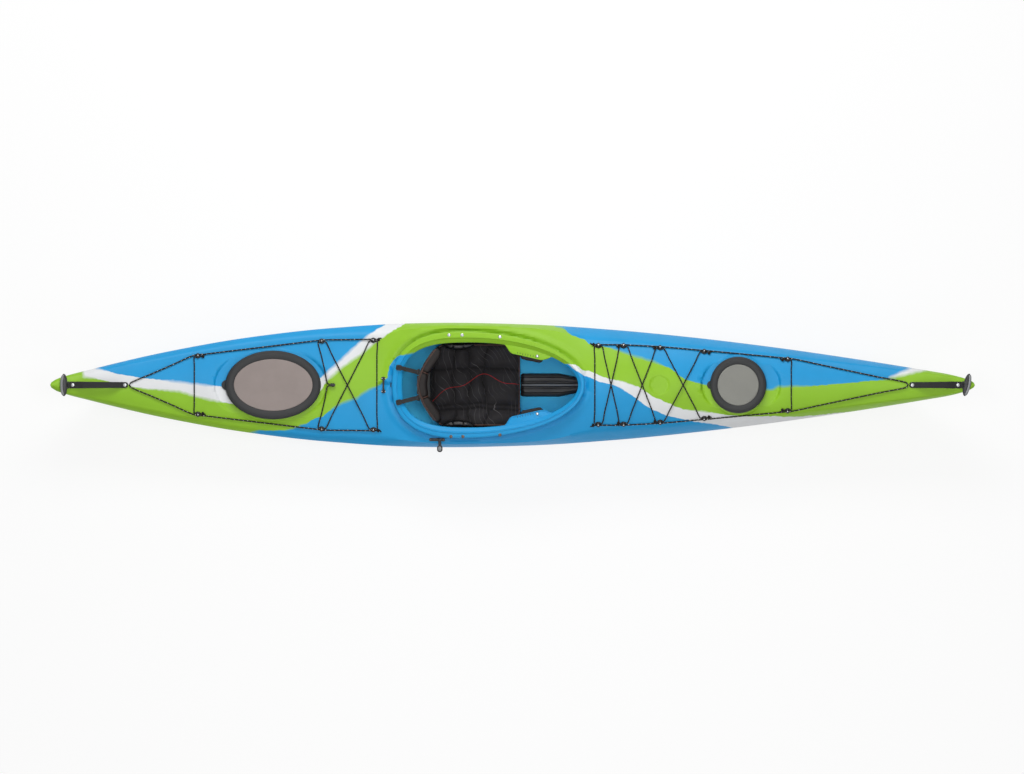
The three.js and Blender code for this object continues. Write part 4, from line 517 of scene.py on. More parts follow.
class Graph:
    """A node tree with short calls to make and join its nodes."""

    def __init__(self, tree: bpy.types.NodeTree) -> None:
        """Keeps the tree that takes the nodes."""
        self.tree = tree

    def feed(self, node: Node, inputs: dict) -> Node:
        """Sets a node's inputs, by name or number, to values or to the sockets of other nodes.

        Args:
            node: The node.
            inputs: Values or sockets, by the name or number of the input.

        Returns:
            The same node.
        """
        for key, value in inputs.items():
            if isinstance(value, Socket):
                self.tree.links.new(value, node.inputs[key])
            else:
                node.inputs[key].default_value = value
        return node

    def add(self, kind: str, inputs: dict | None = None, **settings: object) -> Node:
        """Adds a node.

        Args:
            kind: Type of the node.
            inputs: Values or sockets for its inputs, by name or number.
            settings: Properties of the node.

        Returns:
            The node.
        """
        node = self.tree.nodes.new(kind)
        for key, value in settings.items():
            setattr(node, key, value)
        return self.feed(node, inputs or {})

    def math(self, operation: str, a: object, b: object = 0.0, c: object = 0.5, clamp: bool = False) -> Socket:
        """Result of a Math node."""
        return self.add("ShaderNodeMath", {0: a, 1: b, 2: c}, operation=operation, use_clamp=clamp).outputs[0]

    def mix(self, share: object, a: object, b: object) -> Socket:
        """Colour between two others."""
        return self.add("ShaderNodeMix", {0: share, 6: a, 7: b}, data_type="RGBA").outputs[2]

    def ramp(self, value: object, low: float, high: float, bottom: float = 0.0, top: float = 1.0) -> Socket:
        """Smooth rise of a value between two limits."""
        inputs = {0: value, 1: low, 2: high, 3: bottom, 4: top}
        return self.add("ShaderNodeMapRange", inputs, interpolation_type="SMOOTHSTEP").outputs[0]

    def where(self) -> Socket:
        """The object's own coordinates."""
        return self.add("ShaderNodeTexCoord").outputs["Object"]

    def noise(self, scale: object, detail: float, vector: Socket | None = None) -> Socket:
        """Noise over the object's own coordinates, or over a given vector."""
        inputs = {"Vector": vector or self.where(), "Scale": scale, "Detail": detail}
        return self.add("ShaderNodeTexNoise", inputs).outputs["Fac"]

    def sway(self, scale: float, detail: float, reach: float) -> Socket:
        """Noise that goes either way from zero."""
        return self.math("MULTIPLY", self.math("SUBTRACT", self.noise(scale, detail), 0.5), reach)

    def attribute(self, name: str) -> Socket:
        """Value of a mesh attribute."""
        return self.add("ShaderNodeAttribute", attribute_name=name).outputs["Fac"]

    def effect(self, effect: Effect, **inputs: object) -> bpy.types.NodeOutputs:
        """The outputs of a shared effect, with the values of this use of it."""
        inputs = {key.capitalize(): value for key, value in inputs.items()}
        return self.add("ShaderNodeGroup", inputs, node_tree=effect_group(effect)).outputs


@lru_cache(maxsize=None)
def effect_group(effect: Effect) -> bpy.types.NodeTree:
    """The node group of a shared effect, which puts out a height and a mask, made once.

    Args:
        effect: The effect.

    Returns:
        The group's node tree.
    """
    tree = bpy.data.node_groups.new(effect.value, "ShaderNodeTree")
    number = "NodeSocketFloat"
    taken = {"Scale": (number, 200.0)}
    if effect is Effect.WEAVE:
        taken = {"Vector": ("NodeSocketVector", (0, 0, 0)), "Pitch": (number, 0.001)}
    for key, (kind, value) in taken.items():
        tree.interface.new_socket(key, in_out="INPUT", socket_type=kind).default_value = value
    for key in ("Height", "Mask"):
        tree.interface.new_socket(key, in_out="OUTPUT", socket_type=number)
    g = Graph(tree)
    source = g.add("NodeGroupInput").outputs
    if effect is Effect.WEAVE:
        parts = g.add("ShaderNodeSeparateXYZ", {0: source["Vector"]}).outputs
        turns = [g.math("DIVIDE", parts[k], source["Pitch"]) for k in range(2)]
        height = g.math("MULTIPLY_ADD", *(g.math("SINE", g.math("MULTIPLY", turn, 2 * math.pi)) for turn in turns))
        mask = g.ramp(height, 0.1, 0.9)
    elif effect is Effect.GRAIN:
        height, mask = g.noise(source["Scale"], 2.0), g.noise(9.0, 4.0)
    else:
        stretched = g.add("ShaderNodeMapping", {"Vector": g.where(), "Scale": (1.0, 9.0, 3.0)}).outputs[0]
        height = g.noise(source["Scale"], 6.0, stretched)
        mask = g.ramp(height, 0.58, 0.72)
    g.add("NodeGroupOutput", {"Height": height, "Mask": mask})
    return tree


def rgb(hexadecimal: str) -> tuple[float, float, float, float]:
    """Linear colour from a written sRGB one."""
    parts = [int(hexadecimal[i:i + 2], 16) / 255 for i in (0, 2, 4)]
    return (*[c / 12.92 if c <= 0.04045 else ((c + 0.055) / 1.055) ** 2.4 for c in parts], 1.0)


# Finishes


@dataclass(frozen=True)
class Finish:
    """A plain moulded or coated surface; the other finishes build on it."""

    name: str
    color: str
    roughness: float = 0.45
    metallic: float = 0.0
    grain: float = 260.0
    grain_depth: float = 0.0002
    shade: float = 0.12
    sheen: float = 0.0
    mirror: float = 0.5
    slot: str = "black_moulding"

    def tinted(self, g: Graph, color: object = None) -> tuple[Socket, bpy.types.NodeOutputs]:
        """Darkens and lightens a colour a little by the grain.

        Args:
            g: The material's graph.
            color: The colour, or none for the finish's own.

        Returns:
            The new colour and the grain's outputs.
        """
        grain = g.effect(Effect.GRAIN, scale=self.grain)
        value = g.ramp(grain["Mask"], 0.25, 0.75, 1 - self.shade, 1 + self.shade)
        inputs = {"Color": color or rgb(self.color), "Value": value}
        return g.add("ShaderNodeHueSaturation", inputs).outputs[0], grain

    def surface(self, g: Graph) -> dict[str, Socket]:
        """Its colour, height and gloss: grain, and a little change of the other two.

        Args:
            g: The material's node tree.

        Returns:
            Sockets for the shader, by name, and for the height of its bump.
        """
        color, grain = self.tinted(g)
        gloss = g.ramp(grain["Mask"], 0.2, 0.8, self.roughness - 0.06, self.roughness + 0.06)
        return {"Base Color": color, "Height": grain["Height"], "Roughness": gloss}

    @lru_cache(maxsize=None)
    def material(self) -> bpy.types.Material:
        """The finish as a material, made once.

        Returns:
            The material.
        """
        material = bpy.data.materials.new(self.name)
        material.use_nodes = True
        g, shader = Graph(material.node_tree), material.node_tree.nodes["Principled BSDF"]
        g.feed(shader, {"Base Color": rgb(self.color), "Metallic": self.metallic, "Roughness": self.roughness,
                        "Specular IOR Level": self.mirror, "Sheen Weight": self.sheen, "Sheen Roughness": 0.4})
        given = self.surface(g)
        bump = {"Height": given.pop("Height"), "Distance": self.grain_depth, "Strength": 1.0}
        g.feed(shader, given | {"Normal": g.add("ShaderNodeBump", bump).outputs[0]})
        return material


@dataclass(frozen=True)
class SwirledPlastic(Finish):
    """Three pigments that meet in drawn-out swirls, as in one rotomoulded charge."""

    white: str = "dfe1e3"
    green: str = "8bbd25"
    waver: float = 0.006
    slot: str = "hull_plastic"

    def surface(self, g: Graph) -> dict[str, Socket]:
        """Lays white and then green over the blue, by the distances kept on the mesh.

        Args:
            g: The material's node tree.

        Returns:
            Sockets for the shader, by name, and for the height of its bump.
        """
        drift = g.math("ADD", g.sway(38.0, 5.0, self.waver * 2.2), g.sway(9.0, 2.0, self.waver))
        soft = g.ramp(g.noise(3.5, 1.0), 0.42, 0.6, 0.0012, 0.009)
        color = rgb(self.color)
        for edge, pigment in (("white_edge", self.white), ("green_edge", self.green)):
            inside = g.math("ADD", g.math("ADD", g.attribute(edge), drift), soft)
            color = g.mix(g.math("DIVIDE", inside, g.math("MULTIPLY", soft, 2.0), clamp=True), color, rgb(pigment))
        color, grain = self.tinted(g, color)
        gloss = g.math("MULTIPLY_ADD", g.effect(Effect.SCUFF, scale=22.0)["Mask"], 0.08, self.roughness)
        return {"Base Color": color, "Height": grain["Height"], "Roughness": gloss}


@dataclass(frozen=True)
class WovenCover(Finish):
    """Coated seat cloth: fine threads, ripple lines in grey and one line in red, with painted shade along the seams
    and a painted highlight on the puffs between them.
    """

    line: str = "6d6b6c"
    shadow: str = "0b0a0b"
    # crest: painted highlight colour for the puffs away from the seams; shadow: painted shade colour in the seams
    crest: str = "454344"
    accent: str = "b3272c"
    pitch: float = 0.0016
    ripple_pitch: float = 0.027
    slot: str = "seat_cover"

    def surface(self, g: Graph) -> dict[str, Socket]:
        """Weaves the cloth, paints shade into the seams and a highlight on the puffs, and prints the ripple lines on
        it.

        Args:
            g: The material's node tree.

        Returns:
            Sockets for the shader, by name, and for the height of its bump.
        """
        where, reach = g.where(), g.attribute("seam_reach")
        # painted shade: the cloth darkens towards the seams' channels
        color = g.mix(g.ramp(reach, 0.0005, 0.012, 0.6, 0.0), self.tinted(g)[0], rgb(self.shadow))
        # painted highlight: the cloth lightens on the puffs far from the seams
        color = g.mix(g.ramp(reach, 0.012, 0.036, 0.0, 0.3), color, rgb(self.crest))
        parts = g.add("ShaderNodeSeparateXYZ", {0: where}).outputs
        slant = g.math("ADD", parts[0], g.math("MULTIPLY", parts[1], 0.45))
        turns = g.math("MULTIPLY", g.math("ADD", slant, g.sway(7.0, 1.0, 0.16)), math.pi / self.ripple_pitch)
        near = g.ramp(g.math("ABSOLUTE", g.math("SINE", turns)), 0.05, 0.13, 1.0, 0.0)
        lines = g.math("MULTIPLY", near, g.ramp(g.noise(9.0, 2.0), 0.4, 0.56))
        color = g.mix(g.math("MULTIPLY", lines, 0.6), color, rgb(self.line))
        stripe = g.ramp(g.math("ABSOLUTE", g.attribute("accent_run")), 0.0009, 0.0016, 1.0, 0.0)
        threads = g.effect(Effect.WEAVE, vector=where, pitch=self.pitch)
        return {"Base Color": g.mix(stripe, color, rgb(self.accent)), "Height": threads["Height"]}


@dataclass(frozen=True)
class Leatherette(Finish):
    """Smooth coated cover with a pebbled grain."""

    slot: str = "seat_cover"

    def surface(self, g: Graph) -> dict[str, Socket]:
        """Pebbles the surface."""
        cells = g.add("ShaderNodeTexVoronoi", {"Vector": g.where(), "Scale": self.grain})
        return {"Base Color": self.tinted(g)[0], "Height": cells.outputs["Distance"]}


@dataclass(frozen=True)
class Webbing(Finish):
    """Ribbed webbing whose ribs follow the strap."""

    rib: float = 0.0022
    thread: str = "3a3a3b"
    slot: str = "webbing"

    def surface(self, g: Graph) -> dict[str, Socket]:
        """Ribs the strap along its run.

        Args:
            g: The material's node tree.

        Returns:
            Sockets for the shader, by name, and for the height of its bump.
        """
        along = g.add("ShaderNodeCombineXYZ", {0: g.attribute("run"), 1: g.attribute("turn")}).outputs[0]
        threads = g.effect(Effect.WEAVE, vector=along, pitch=self.rib)
        color = g.mix(g.math("MULTIPLY", threads["Mask"], 0.25), self.tinted(g)[0], rgb(self.thread))
        return {"Base Color": color, "Height": threads["Height"]}


@dataclass(frozen=True)
class BraidedCord(Finish):
    """Braided cover with light tracer flecks that come round at an even pitch."""

    crest: str = "2e2a27"
    fleck: str = "c9c5bd"
    fleck_pitch: float = 0.021
    fleck_share: float = 0.22
    strand: float = 0.0032
    slot: str = "cord"

    def surface(self, g: Graph) -> dict[str, Socket]:
        """Braids the cord and adds its flecks.

        Args:
            g: The material's node tree.

        Returns:
            Sockets for the shader, by name, and for the height of its bump.
        """
        run, turn = g.attribute("run"), g.attribute("turn")
        ways = [g.math("ADD", g.math("DIVIDE", run, self.strand), g.math("MULTIPLY", turn, k)) for k in (4.0, -4.0)]
        height = g.math("MAXIMUM", *(g.math("SINE", g.math("MULTIPLY", way, math.pi)) for way in ways))
        band = g.math("LESS_THAN", g.math("FRACT", g.math("DIVIDE", run, self.fleck_pitch)), self.fleck_share)
        winding = g.math("ADD", g.math("MULTIPLY", turn, 4 * math.pi), g.math("MULTIPLY", run, 170.0))
        face = g.math("GREATER_THAN", g.math("SINE", winding), 0.1)
        flecks = g.math("MULTIPLY", g.math("MULTIPLY", band, face), g.ramp(height, 0.1, 0.7))
        color = g.mix(g.ramp(height, 0.0, 1.0, 0.0, 0.5), rgb(self.color), rgb(self.crest))
        return {"Base Color": g.mix(flecks, color, rgb(self.fleck)), "Height": height}


HULL_PLASTIC = SwirledPlastic("Swirled hull plastic", "1695d1", 0.44, grain=420.0, grain_depth=0.00025, shade=0.03,
                              mirror=0.28)
# Painted light: the inside of the hull is a paler, brighter blue than the hull plastic, standing in for the light that
# gets into the hull
BRIGHTENED_INNER_PLASTIC = Finish("Inside of the hull, painted bright", "44ccff", 0.5, grain=300.0, grain_depth=0.0006, shade=0.05, mirror=0.2)
MOULDING = Finish("Black moulding", "18191b", 0.42, grain=700.0, grain_depth=0.00012, shade=0.2, mirror=0.4)
RAIL_MOULDING = Finish("Runner moulding", "232324", 0.45, grain=900.0, grain_depth=0.0001, shade=0.15, mirror=0.35)
# Painted highlight: light grey laid along the black runner's top ridge, where it catches the light
RIDGE_HIGHLIGHT = Finish("Runner ridge highlight", "77797b", 0.5, grain=900.0, grain_depth=0.0001, shade=0.15, mirror=0.35)
# Painted highlight: light grey laid on the black grip's outer edge and on the toggle's top, where light catches them
HIGHLIGHT_GREY = Finish("Painted highlight grey", "86888a", 0.4, grain=700.0, grain_depth=0.00012, mirror=0.4)
FOAM = Finish("Bulkhead foam", "3a3d40", 0.9, grain=900.0, grain_depth=0.0008, shade=0.1)
BLADE = Finish("Skeg blade plastic", "222427", 0.4, grain=600.0)
RUBBER = Finish("Hatch rubber", "2e2f30", 0.6, grain=900.0, grain_depth=0.0003, shade=0.08, mirror=0.3,
                slot="hatch_rubber")
REAR_LID = Finish("Rear hatch lid", "8f8480", 0.55, grain=1500.0, grain_depth=0.0003, shade=0.06, mirror=0.3,
                  slot="hatch_plate_plastic")
FRONT_LID = Finish("Front hatch lid", "83837d", 0.5, grain=1500.0, grain_depth=0.0003, shade=0.05, mirror=0.3,
                   slot="hatch_plate_plastic")
SEAT_CLOTH = WovenCover("Seat cover", "2b292b", 0.75, grain=60.0, grain_depth=0.0003, shade=0.2, sheen=0.12,
                        mirror=0.2)
ROLL_COVER = Leatherette("Roll cover", "15100f", 0.5, grain=520.0, grain_depth=0.0004, shade=0.25, mirror=0.22)
SIDE_ROLL = Leatherette("Side roll", "0d0c0c", 0.32, grain=420.0, grain_depth=0.0006, shade=0.3)
PIPING = Leatherette("Piping", "4b342c", grain=700.0, mirror=0.3)
WEBBING = Webbing("Strap webbing", "2c2c2d", 0.75, grain=80.0, grain_depth=0.0004, shade=0.15, mirror=0.3)
LINE_CORD = BraidedCord("Deck line", "15120f", 0.8, grain_depth=0.0005, mirror=0.25)
BUNGEE_CORD = BraidedCord("Bungee cover", "171413", 0.75, grain_depth=0.0004, fleck="8d8880", fleck_share=0.12,
                          mirror=0.25)
STEEL = Finish("Stainless steel", "a9abad", 0.26, 1.0, 500.0, 0.00006, 0.06, slot="steel")
# Painted shade: a darker copy of the stainless steel for the starboard screws and rivets, which stand in shade
SHADED_STEEL = Finish("Steel painted in shade", "5d5450", 0.45, 1.0, 500.0, 0.00006, 0.1, slot="steel")


def finish_piece(obj: Object, finish: Finish, *nodes: str, body: str = "kayak", bends: bool = False) -> Object:
    """Dresses a finished piece and ties it to the frame.

    Args:
        obj: The piece, in its place.
        finish: Its finish.
        nodes: Nodes of the frame that it stands for.
        body: The body that carries it.
        bends: True to leave it unattached to the body.

    Returns:
        The piece.
    """
    if not obj.data.materials:
        obj.data.materials.append(finish.material())
    if not bends:
        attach(obj, body)
    if nodes:
        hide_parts(*nodes)
    LOG.info("%s rides on %s", obj.name, body)
    return obj


def make_piece(name: str, bm: BMesh, finish: Finish, *nodes: str, body: str = "kayak", bends: bool = False,
               sharp: float = 35.0) -> Object:
    """Turns a bmesh into a dressed piece; see object_of and finish_piece for its arguments."""
    return finish_piece(object_of(name, bm, sharp), finish, *nodes, body=body, bends=bends)


# Hull lines


@dataclass
class HullLines:
    """Driving lines of the hull, as curves of a share of half the length."""

    length: float = 4.42
    beam: float = 0.598
    height: float = 0.408
    skin: float = 0.0055
    keel_flat: float = 0.032
    bow_rake: float = 0.33
    stern_rake: float = 0.25
    stem_power: float = 1.5
    camber_power: float = 1.9
    rake_start: float = 0.72
    flare_start: float = 0.3
    beam_stations: tuple = (-1, -.985, -.915, -.742, -.568, -.395, -.222, -.135, .038, .212, .385, .558, .732,
                            .905, .948, .988, 1)
    beam_shares: tuple = (.03, .1, .2475, .545, .769, .913, .99, 1, .972, .89, .769, .615, .431, .224, .167,
                          .08, .025)
    keel_stations: tuple = (-1, -.95, -.85, -.7, -.45, .45, .7, .85, .95, 1)
    keel_shares: tuple = (.16, .1, .042, .012, 0, 0, .015, .05, .12, .19)
    gunwale_stations: tuple = (-1, -.9, -.75, -.5, -.25, 0, .25, .5, .75, .9, 1)
    gunwale_shares: tuple = (.8, .69, .585, .49, .453, .453, .47, .527, .657, .81, .94)
    crease_stations: tuple = (-1, -.9, -.75, -.52, -.38, -.3, -.25, -.19, -.14, 0, .08, .176, .3, .49, .65, .8,
                              .92, 1)
    inset_shares: tuple = (.01, .06, .094, .1, .12, .14, .112, .075, .054, .054, .08, .177, .167, .14, .115,
                           .085, .05, .008)
    crease_shares: tuple = (.862, .77, .67, .569, .55, .548, .572, .61, .637, .667, .683, .691, .705, .748,
                            .79, .865, .94, .985)
    crown_stations: tuple = (-1, -.9, -.75, -.52, -.4, -.28, -.2, 0, .1, .16, .25, .49, .65, .8, .92, 1)
    crown_shares: tuple = (.887, .806, .718, .632, .604, .596, .635, .74, .79, .824, .831, .83, .856, .909,
                           .963, 1)
    bilge_widths: tuple = (.3, .55, .75, .885, .955, .99, 1)
    bilge_heights: tuple = (.035, .085, .165, .31, .53, .77, 1)
    stem_widths: tuple = (.14, .28, .42, .57, .72, .87, 1)
    stem_heights: tuple = (.14, .27, .4, .54, .69, .84, 1)
    slope_step: float = 0.004

    def __post_init__(self) -> None:
        """Makes the curves from their tables."""
        half, height = self.beam / 2, self.height
        for name, stations, shares, unit in (
                ("half_beam", self.beam_stations, self.beam_shares, half),
                ("inset", self.crease_stations, self.inset_shares, half),
                ("keel", self.keel_stations, self.keel_shares, height),
                ("gunwale", self.gunwale_stations, self.gunwale_shares, height),
                ("crease", self.crease_stations, self.crease_shares, height),
                ("crown", self.crown_stations, self.crown_shares, height)):
            setattr(self, name, curve_through(stations, [share * unit for share in shares]))

    @property
    def half_length(self) -> float:
        """Half the length of the hull."""
        return self.length / 2

    def crease_width(self, station: Array) -> Array:
        """Half the width of the deck between its edges."""
        return self.half_beam(station) - self.inset(station)

    def deck(self, x: Array, y: Array) -> Array:
        """Height of the plain deck, before its recesses.

        Args:
            x: Places along the hull.
            y: Places across the hull.

        Returns:
            Heights.
        """
        station = np.asarray(x, float) / self.half_length
        share = np.clip(np.abs(y) / self.crease_width(station), 0, 1)
        edge = self.crease(station)
        return edge + (self.crown(station) - edge) * (1 - share ** self.camber_power)

    def top(self, x: float) -> float:
        """Height of the plain deck's middle."""
        return float(self.deck(x, 0))

    def deck_frame(self, x: float, y: float) -> Matrix:
        """A frame on the plain deck, square to it and clear of it.

        Args:
            x: Places along the hull.
            y: Places across the hull.

        Returns:
            The frame.
        """
        step, z = self.slope_step, float(self.deck(x, y))
        dx = float(self.deck(x + step, y) - self.deck(x - step, y)) / (2 * step)
        dy = float(self.deck(x, y + step) - self.deck(x, y - step)) / (2 * step)
        facing = Vector((-dx, -dy, 1)).normalized()
        lean = Vector((0, 0, 1)).rotation_difference(facing).to_matrix().to_4x4()
        return Matrix.Translation(Vector((x, y, z)) + facing * FIT_GAP) @ lean

    def pitch(self, x: float) -> float:
        """Slope of the deck's middle, as a turn about Y."""
        reach = self.beam / 2
        return math.atan2(self.top(x - reach) - self.top(x + reach), 2 * reach)

    def middle_frame(self, x: float, sunk: float = 0.0) -> Matrix:
        """A frame on the centreline that leans with the deck, sunk below it by a depth."""
        return move(x, 0, self.top(x) - sunk) @ turned(self.pitch(x), "Y")

    def plane(self, x: Array, middle: float, sunk: float) -> Array:
        """Height of the plane that leans with the deck at a place, sunk below it by a depth."""
        return self.top(middle) - sunk - math.tan(self.pitch(middle)) * (x - middle)


HULL = HullLines()


@dataclass(frozen=True)
class Egg:
    """An egg-shaped outline seen from above."""

    aft: float
    fore: float
    widest: float
    half_width: float
    aft_power: float
    fore_power: float

    def point(self, angle: Array) -> tuple[Array, Array]:
        """Places on the outline at angles from the bow.

        Args:
            angle: Angles in radians.

        Returns:
            Places along and across the hull.
        """
        forward, side = np.cos(angle), np.sin(angle)
        power = 2 / np.where(forward > 0, self.fore_power, self.aft_power)
        reach = np.where(forward > 0, self.fore - self.widest, self.aft - self.widest)
        x = self.widest + reach * np.abs(forward) ** power
        return x, np.sign(side) * self.half_width * np.abs(side) ** power

    def distance(self, x: Array, y: Array) -> Array:
        """Distance outside the outline, about right near it.

        Args:
            x: Places along the hull.
            y: Places across the hull.

        Returns:
            Distances, negative inside.
        """
        ahead = x > self.widest
        power = np.where(ahead, self.fore_power, self.aft_power)
        reach = np.where(ahead, self.fore - self.widest, self.widest - self.aft)
        across, along = np.abs(y) / self.half_width, np.abs(x - self.widest) / reach
        total = along ** power + across ** power + 1e-12
        level = total ** (1 / power)
        slope = np.hypot(along ** (power - 1) / reach, across ** (power - 1) / self.half_width)
        slope *= total ** (1 / power - 1)
        return (level - 1) / np.maximum(slope, 0.5)

    def half_width_at(self, x: float) -> float:
        """Half the width of the outline at a place along it.

        Args:
            x: Places along the hull.

        Returns:
            Half widths.
        """
        ahead = x > self.widest
        power = self.fore_power if ahead else self.aft_power
        reach = self.fore - self.widest if ahead else self.widest - self.aft
        return self.half_width * (1 - (abs(x - self.widest) / reach) ** power) ** (1 / power)


@dataclass(frozen=True)
class Oval:
    """An oval seen from above, on the centreline."""

    x: float
    half_length: float
    half_width: float

    def distance(self, x: Array, y: Array) -> Array:
        """Distance outside the oval, about right near it.

        Args:
            x: Places along the hull.
            y: Places across the hull.

        Returns:
            Distances, negative inside.
        """
        u, v = (x - self.x) / self.half_length, y / self.half_width
        level = np.hypot(u, v) + 1e-9
        slope = np.hypot(u / self.half_length, v / self.half_width) / level
        return (level - 1) / slope


LIP = Egg(-0.576, 0.345, -0.25, 0.254, 2.4, 2.05)
MOUTH = Egg(-0.528, 0.315, -0.2, 0.2035, 2.9, 2.0)
COCKPIT_CUT = Egg(-0.5505, 0.329, -0.2235, 0.2272, 2.66, 2.02)
COMPASS = Oval(0.705, 0.044, 0.044)
DISH = Oval(-0.617, 0.035, 0.023)


@dataclass(frozen=True)
class Hatch:
    """A hatch: its flat seat, the recess round it and its lid."""

    name: str
    x: float
    half_length: float
    half_width: float
    rim: float
    seat_depth: float
    recess: Oval
    tab_reach: float
    tab_radius: float
    lid: Finish
    plinth_margin: float = 0.008
    spigot_inset: float = 0.00845
    spigot_wall: float = 0.007
    spigot_height: float = 0.02
    skirt: float = 0.008
    roof: float = 0.006
    plate: float = 0.003

    @property
    def plinth(self) -> Oval:
        """Outline of the flat seat."""
        return Oval(self.x, self.half_length + self.plinth_margin, self.half_width + self.plinth_margin)

    @property
    def hole(self) -> Oval:
        """Outline of the opening under the lid."""
        inset = self.spigot_inset + self.spigot_wall / 2
        return Oval(self.x, self.half_length - inset, self.half_width - inset)

    def matrix(self) -> Matrix:
        """The seat's own frame: its middle, with Z square to it."""
        return HULL.middle_frame(self.x, self.seat_depth)

    def plane(self, x: Array) -> Array:
        """Height of the seat's plane."""
        return HULL.plane(x, self.x, self.seat_depth)


REAR_HATCH = Hatch("rear", -1.147, 0.229, 0.1645, 0.04, 0.012, Oval(-1.158, 0.265, 0.179), 0.018, 0.025, REAR_LID)
FRONT_HATCH = Hatch("front", 1.081, 0.135, 0.135, 0.0365, 0.014, Oval(1.094, 0.184, 0.143), 0.014, 0.02, FRONT_LID)
HATCHES = (REAR_HATCH, FRONT_HATCH)

# Where the pigments meet, in metres seen from above, drawn round each region and past the hull's edge
GREEN_REGION = (
    (-2.3, .2), (-2.06, .07), (-2.05, .041), (-1.998, .031), (-1.936, .017), (-1.845, .005), (-1.806, -.012),
    (-1.687, -.022), (-1.601, -.031), (-1.514, -.055), (-1.347, -.091), (-1.15, -.12), (-.95, -.07),
    (-.916, -.022), (-.884, .026), (-.849, .054), (-.825, .078), (-.724, .148), (-.674, .19), (-.628, .225),
    (-.581, .254), (-.514, .295), (-.5, .4), (.2, .4), (.2, .283), (.247, .273), (.281, .239), (.344, .22),
    (.367, .196), (.449, .184), (.549, .153), (.612, .132), (.669, .115), (.741, .086), (.77, .072),
    (.799, .043), (.846, .019), (.933, 0), (1.1, -.02), (1.215, -.024), (1.249, -.024), (1.268, -.007),
    (1.421, -.005), (1.613, .01), (1.766, .024), (1.828, .036), (1.881, .048), (1.981, .072), (2.05, .12),
    (2.4, .2), (2.4, -.3), (1.75, -.3), (1.7, -.16), (1.613, -.129), (1.503, -.141), (1.378, -.153),
    (1.254, -.15), (1.139, -.151), (1.034, -.144), (.961, -.134), (.89, -.125), (.816, -.117), (.741, -.086),
    (.669, -.053), (.612, -.014), (.549, .01), (.492, .024), (.42, .043), (.377, .067), (.334, .072),
    (.31, .096), (.267, .101), (-.2, .13), (-.485, .151), (-.514, .144), (-.547, .139), (-.564, .124),
    (-.59, .091), (-.6, .035), (-.629, .005), (-.657, -.01), (-.707, -.034), (-.748, -.067), (-.777, -.072),
    (-.834, -.096), (-.873, -.12), (-.911, -.153), (-.945, -.158), (-.983, -.184), (-1.007, -.192),
    (-1.055, -.211), (-1.098, -.218), (-1.222, -.218), (-1.27, -.24), (-1.3, -.35), (-2.4, -.3),
)
AFT_WHITE_REGION = (
    (-2.06, .12), (-1.988, .079), (-1.898, .055), (-1.783, .034), (-1.687, .024), (-1.591, .014),
    (-1.423, -.005), (-1.25, -.02), (-1.05, 0), (-.918, .035), (-.854, .091), (-.744, .194), (-.696, .237),
    (-.614, .287), (-.55, .35), (-.45, .4), (-.4, .32), (-.8, 0), (-1.0, -.15), (-1.4, -.15), (-1.8, -.05),
    (-2.1, .02),
)
FORE_WHITE_REGION = (
    (.2, .15), (.267, .1), (.29, .077), (.319, .062), (.344, .043), (.392, .029), (.42, .014), (.487, 0),
    (.535, -.024), (.595, -.067), (.669, -.117), (.741, -.148), (.816, -.163), (.89, -.177), (.961, -.187),
    (1.034, -.201), (1.144, -.225), (1.3, -.3), (1.8, -.3), (1.72, -.12), (1.2, -.1), (.9, -.05), (.6, .05),
    (.4, .12),
)
BOW_WHITE_REGION = ((1.8, .036), (1.909, .083), (1.94, .16), (2.05, .16), (2.0, .06), (1.88, .02))


class SwirledPiece:
    """Base of the pieces in hull plastic: it writes where the pigments meet on a mesh."""

    def mark_pigments(self, obj: Object, hidden: bool | Array = False) -> None:
        """Writes each vertex's distance inside the green and the white regions, or outside where it is hidden.

        Args:
            obj: The object.
            hidden: Where both pigments stay out.
        """
        x, y, _ = points_of(obj).T
        whites = [inside_depth(x, y, region) for region in (AFT_WHITE_REGION, FORE_WHITE_REGION, BOW_WHITE_REGION)]
        for name, depth in (("green_edge", inside_depth(x, y, GREEN_REGION)), ("white_edge", np.max(whites, axis=0))):
            write_attribute(obj, name, np.where(hidden, HIDDEN_EDGE, depth))


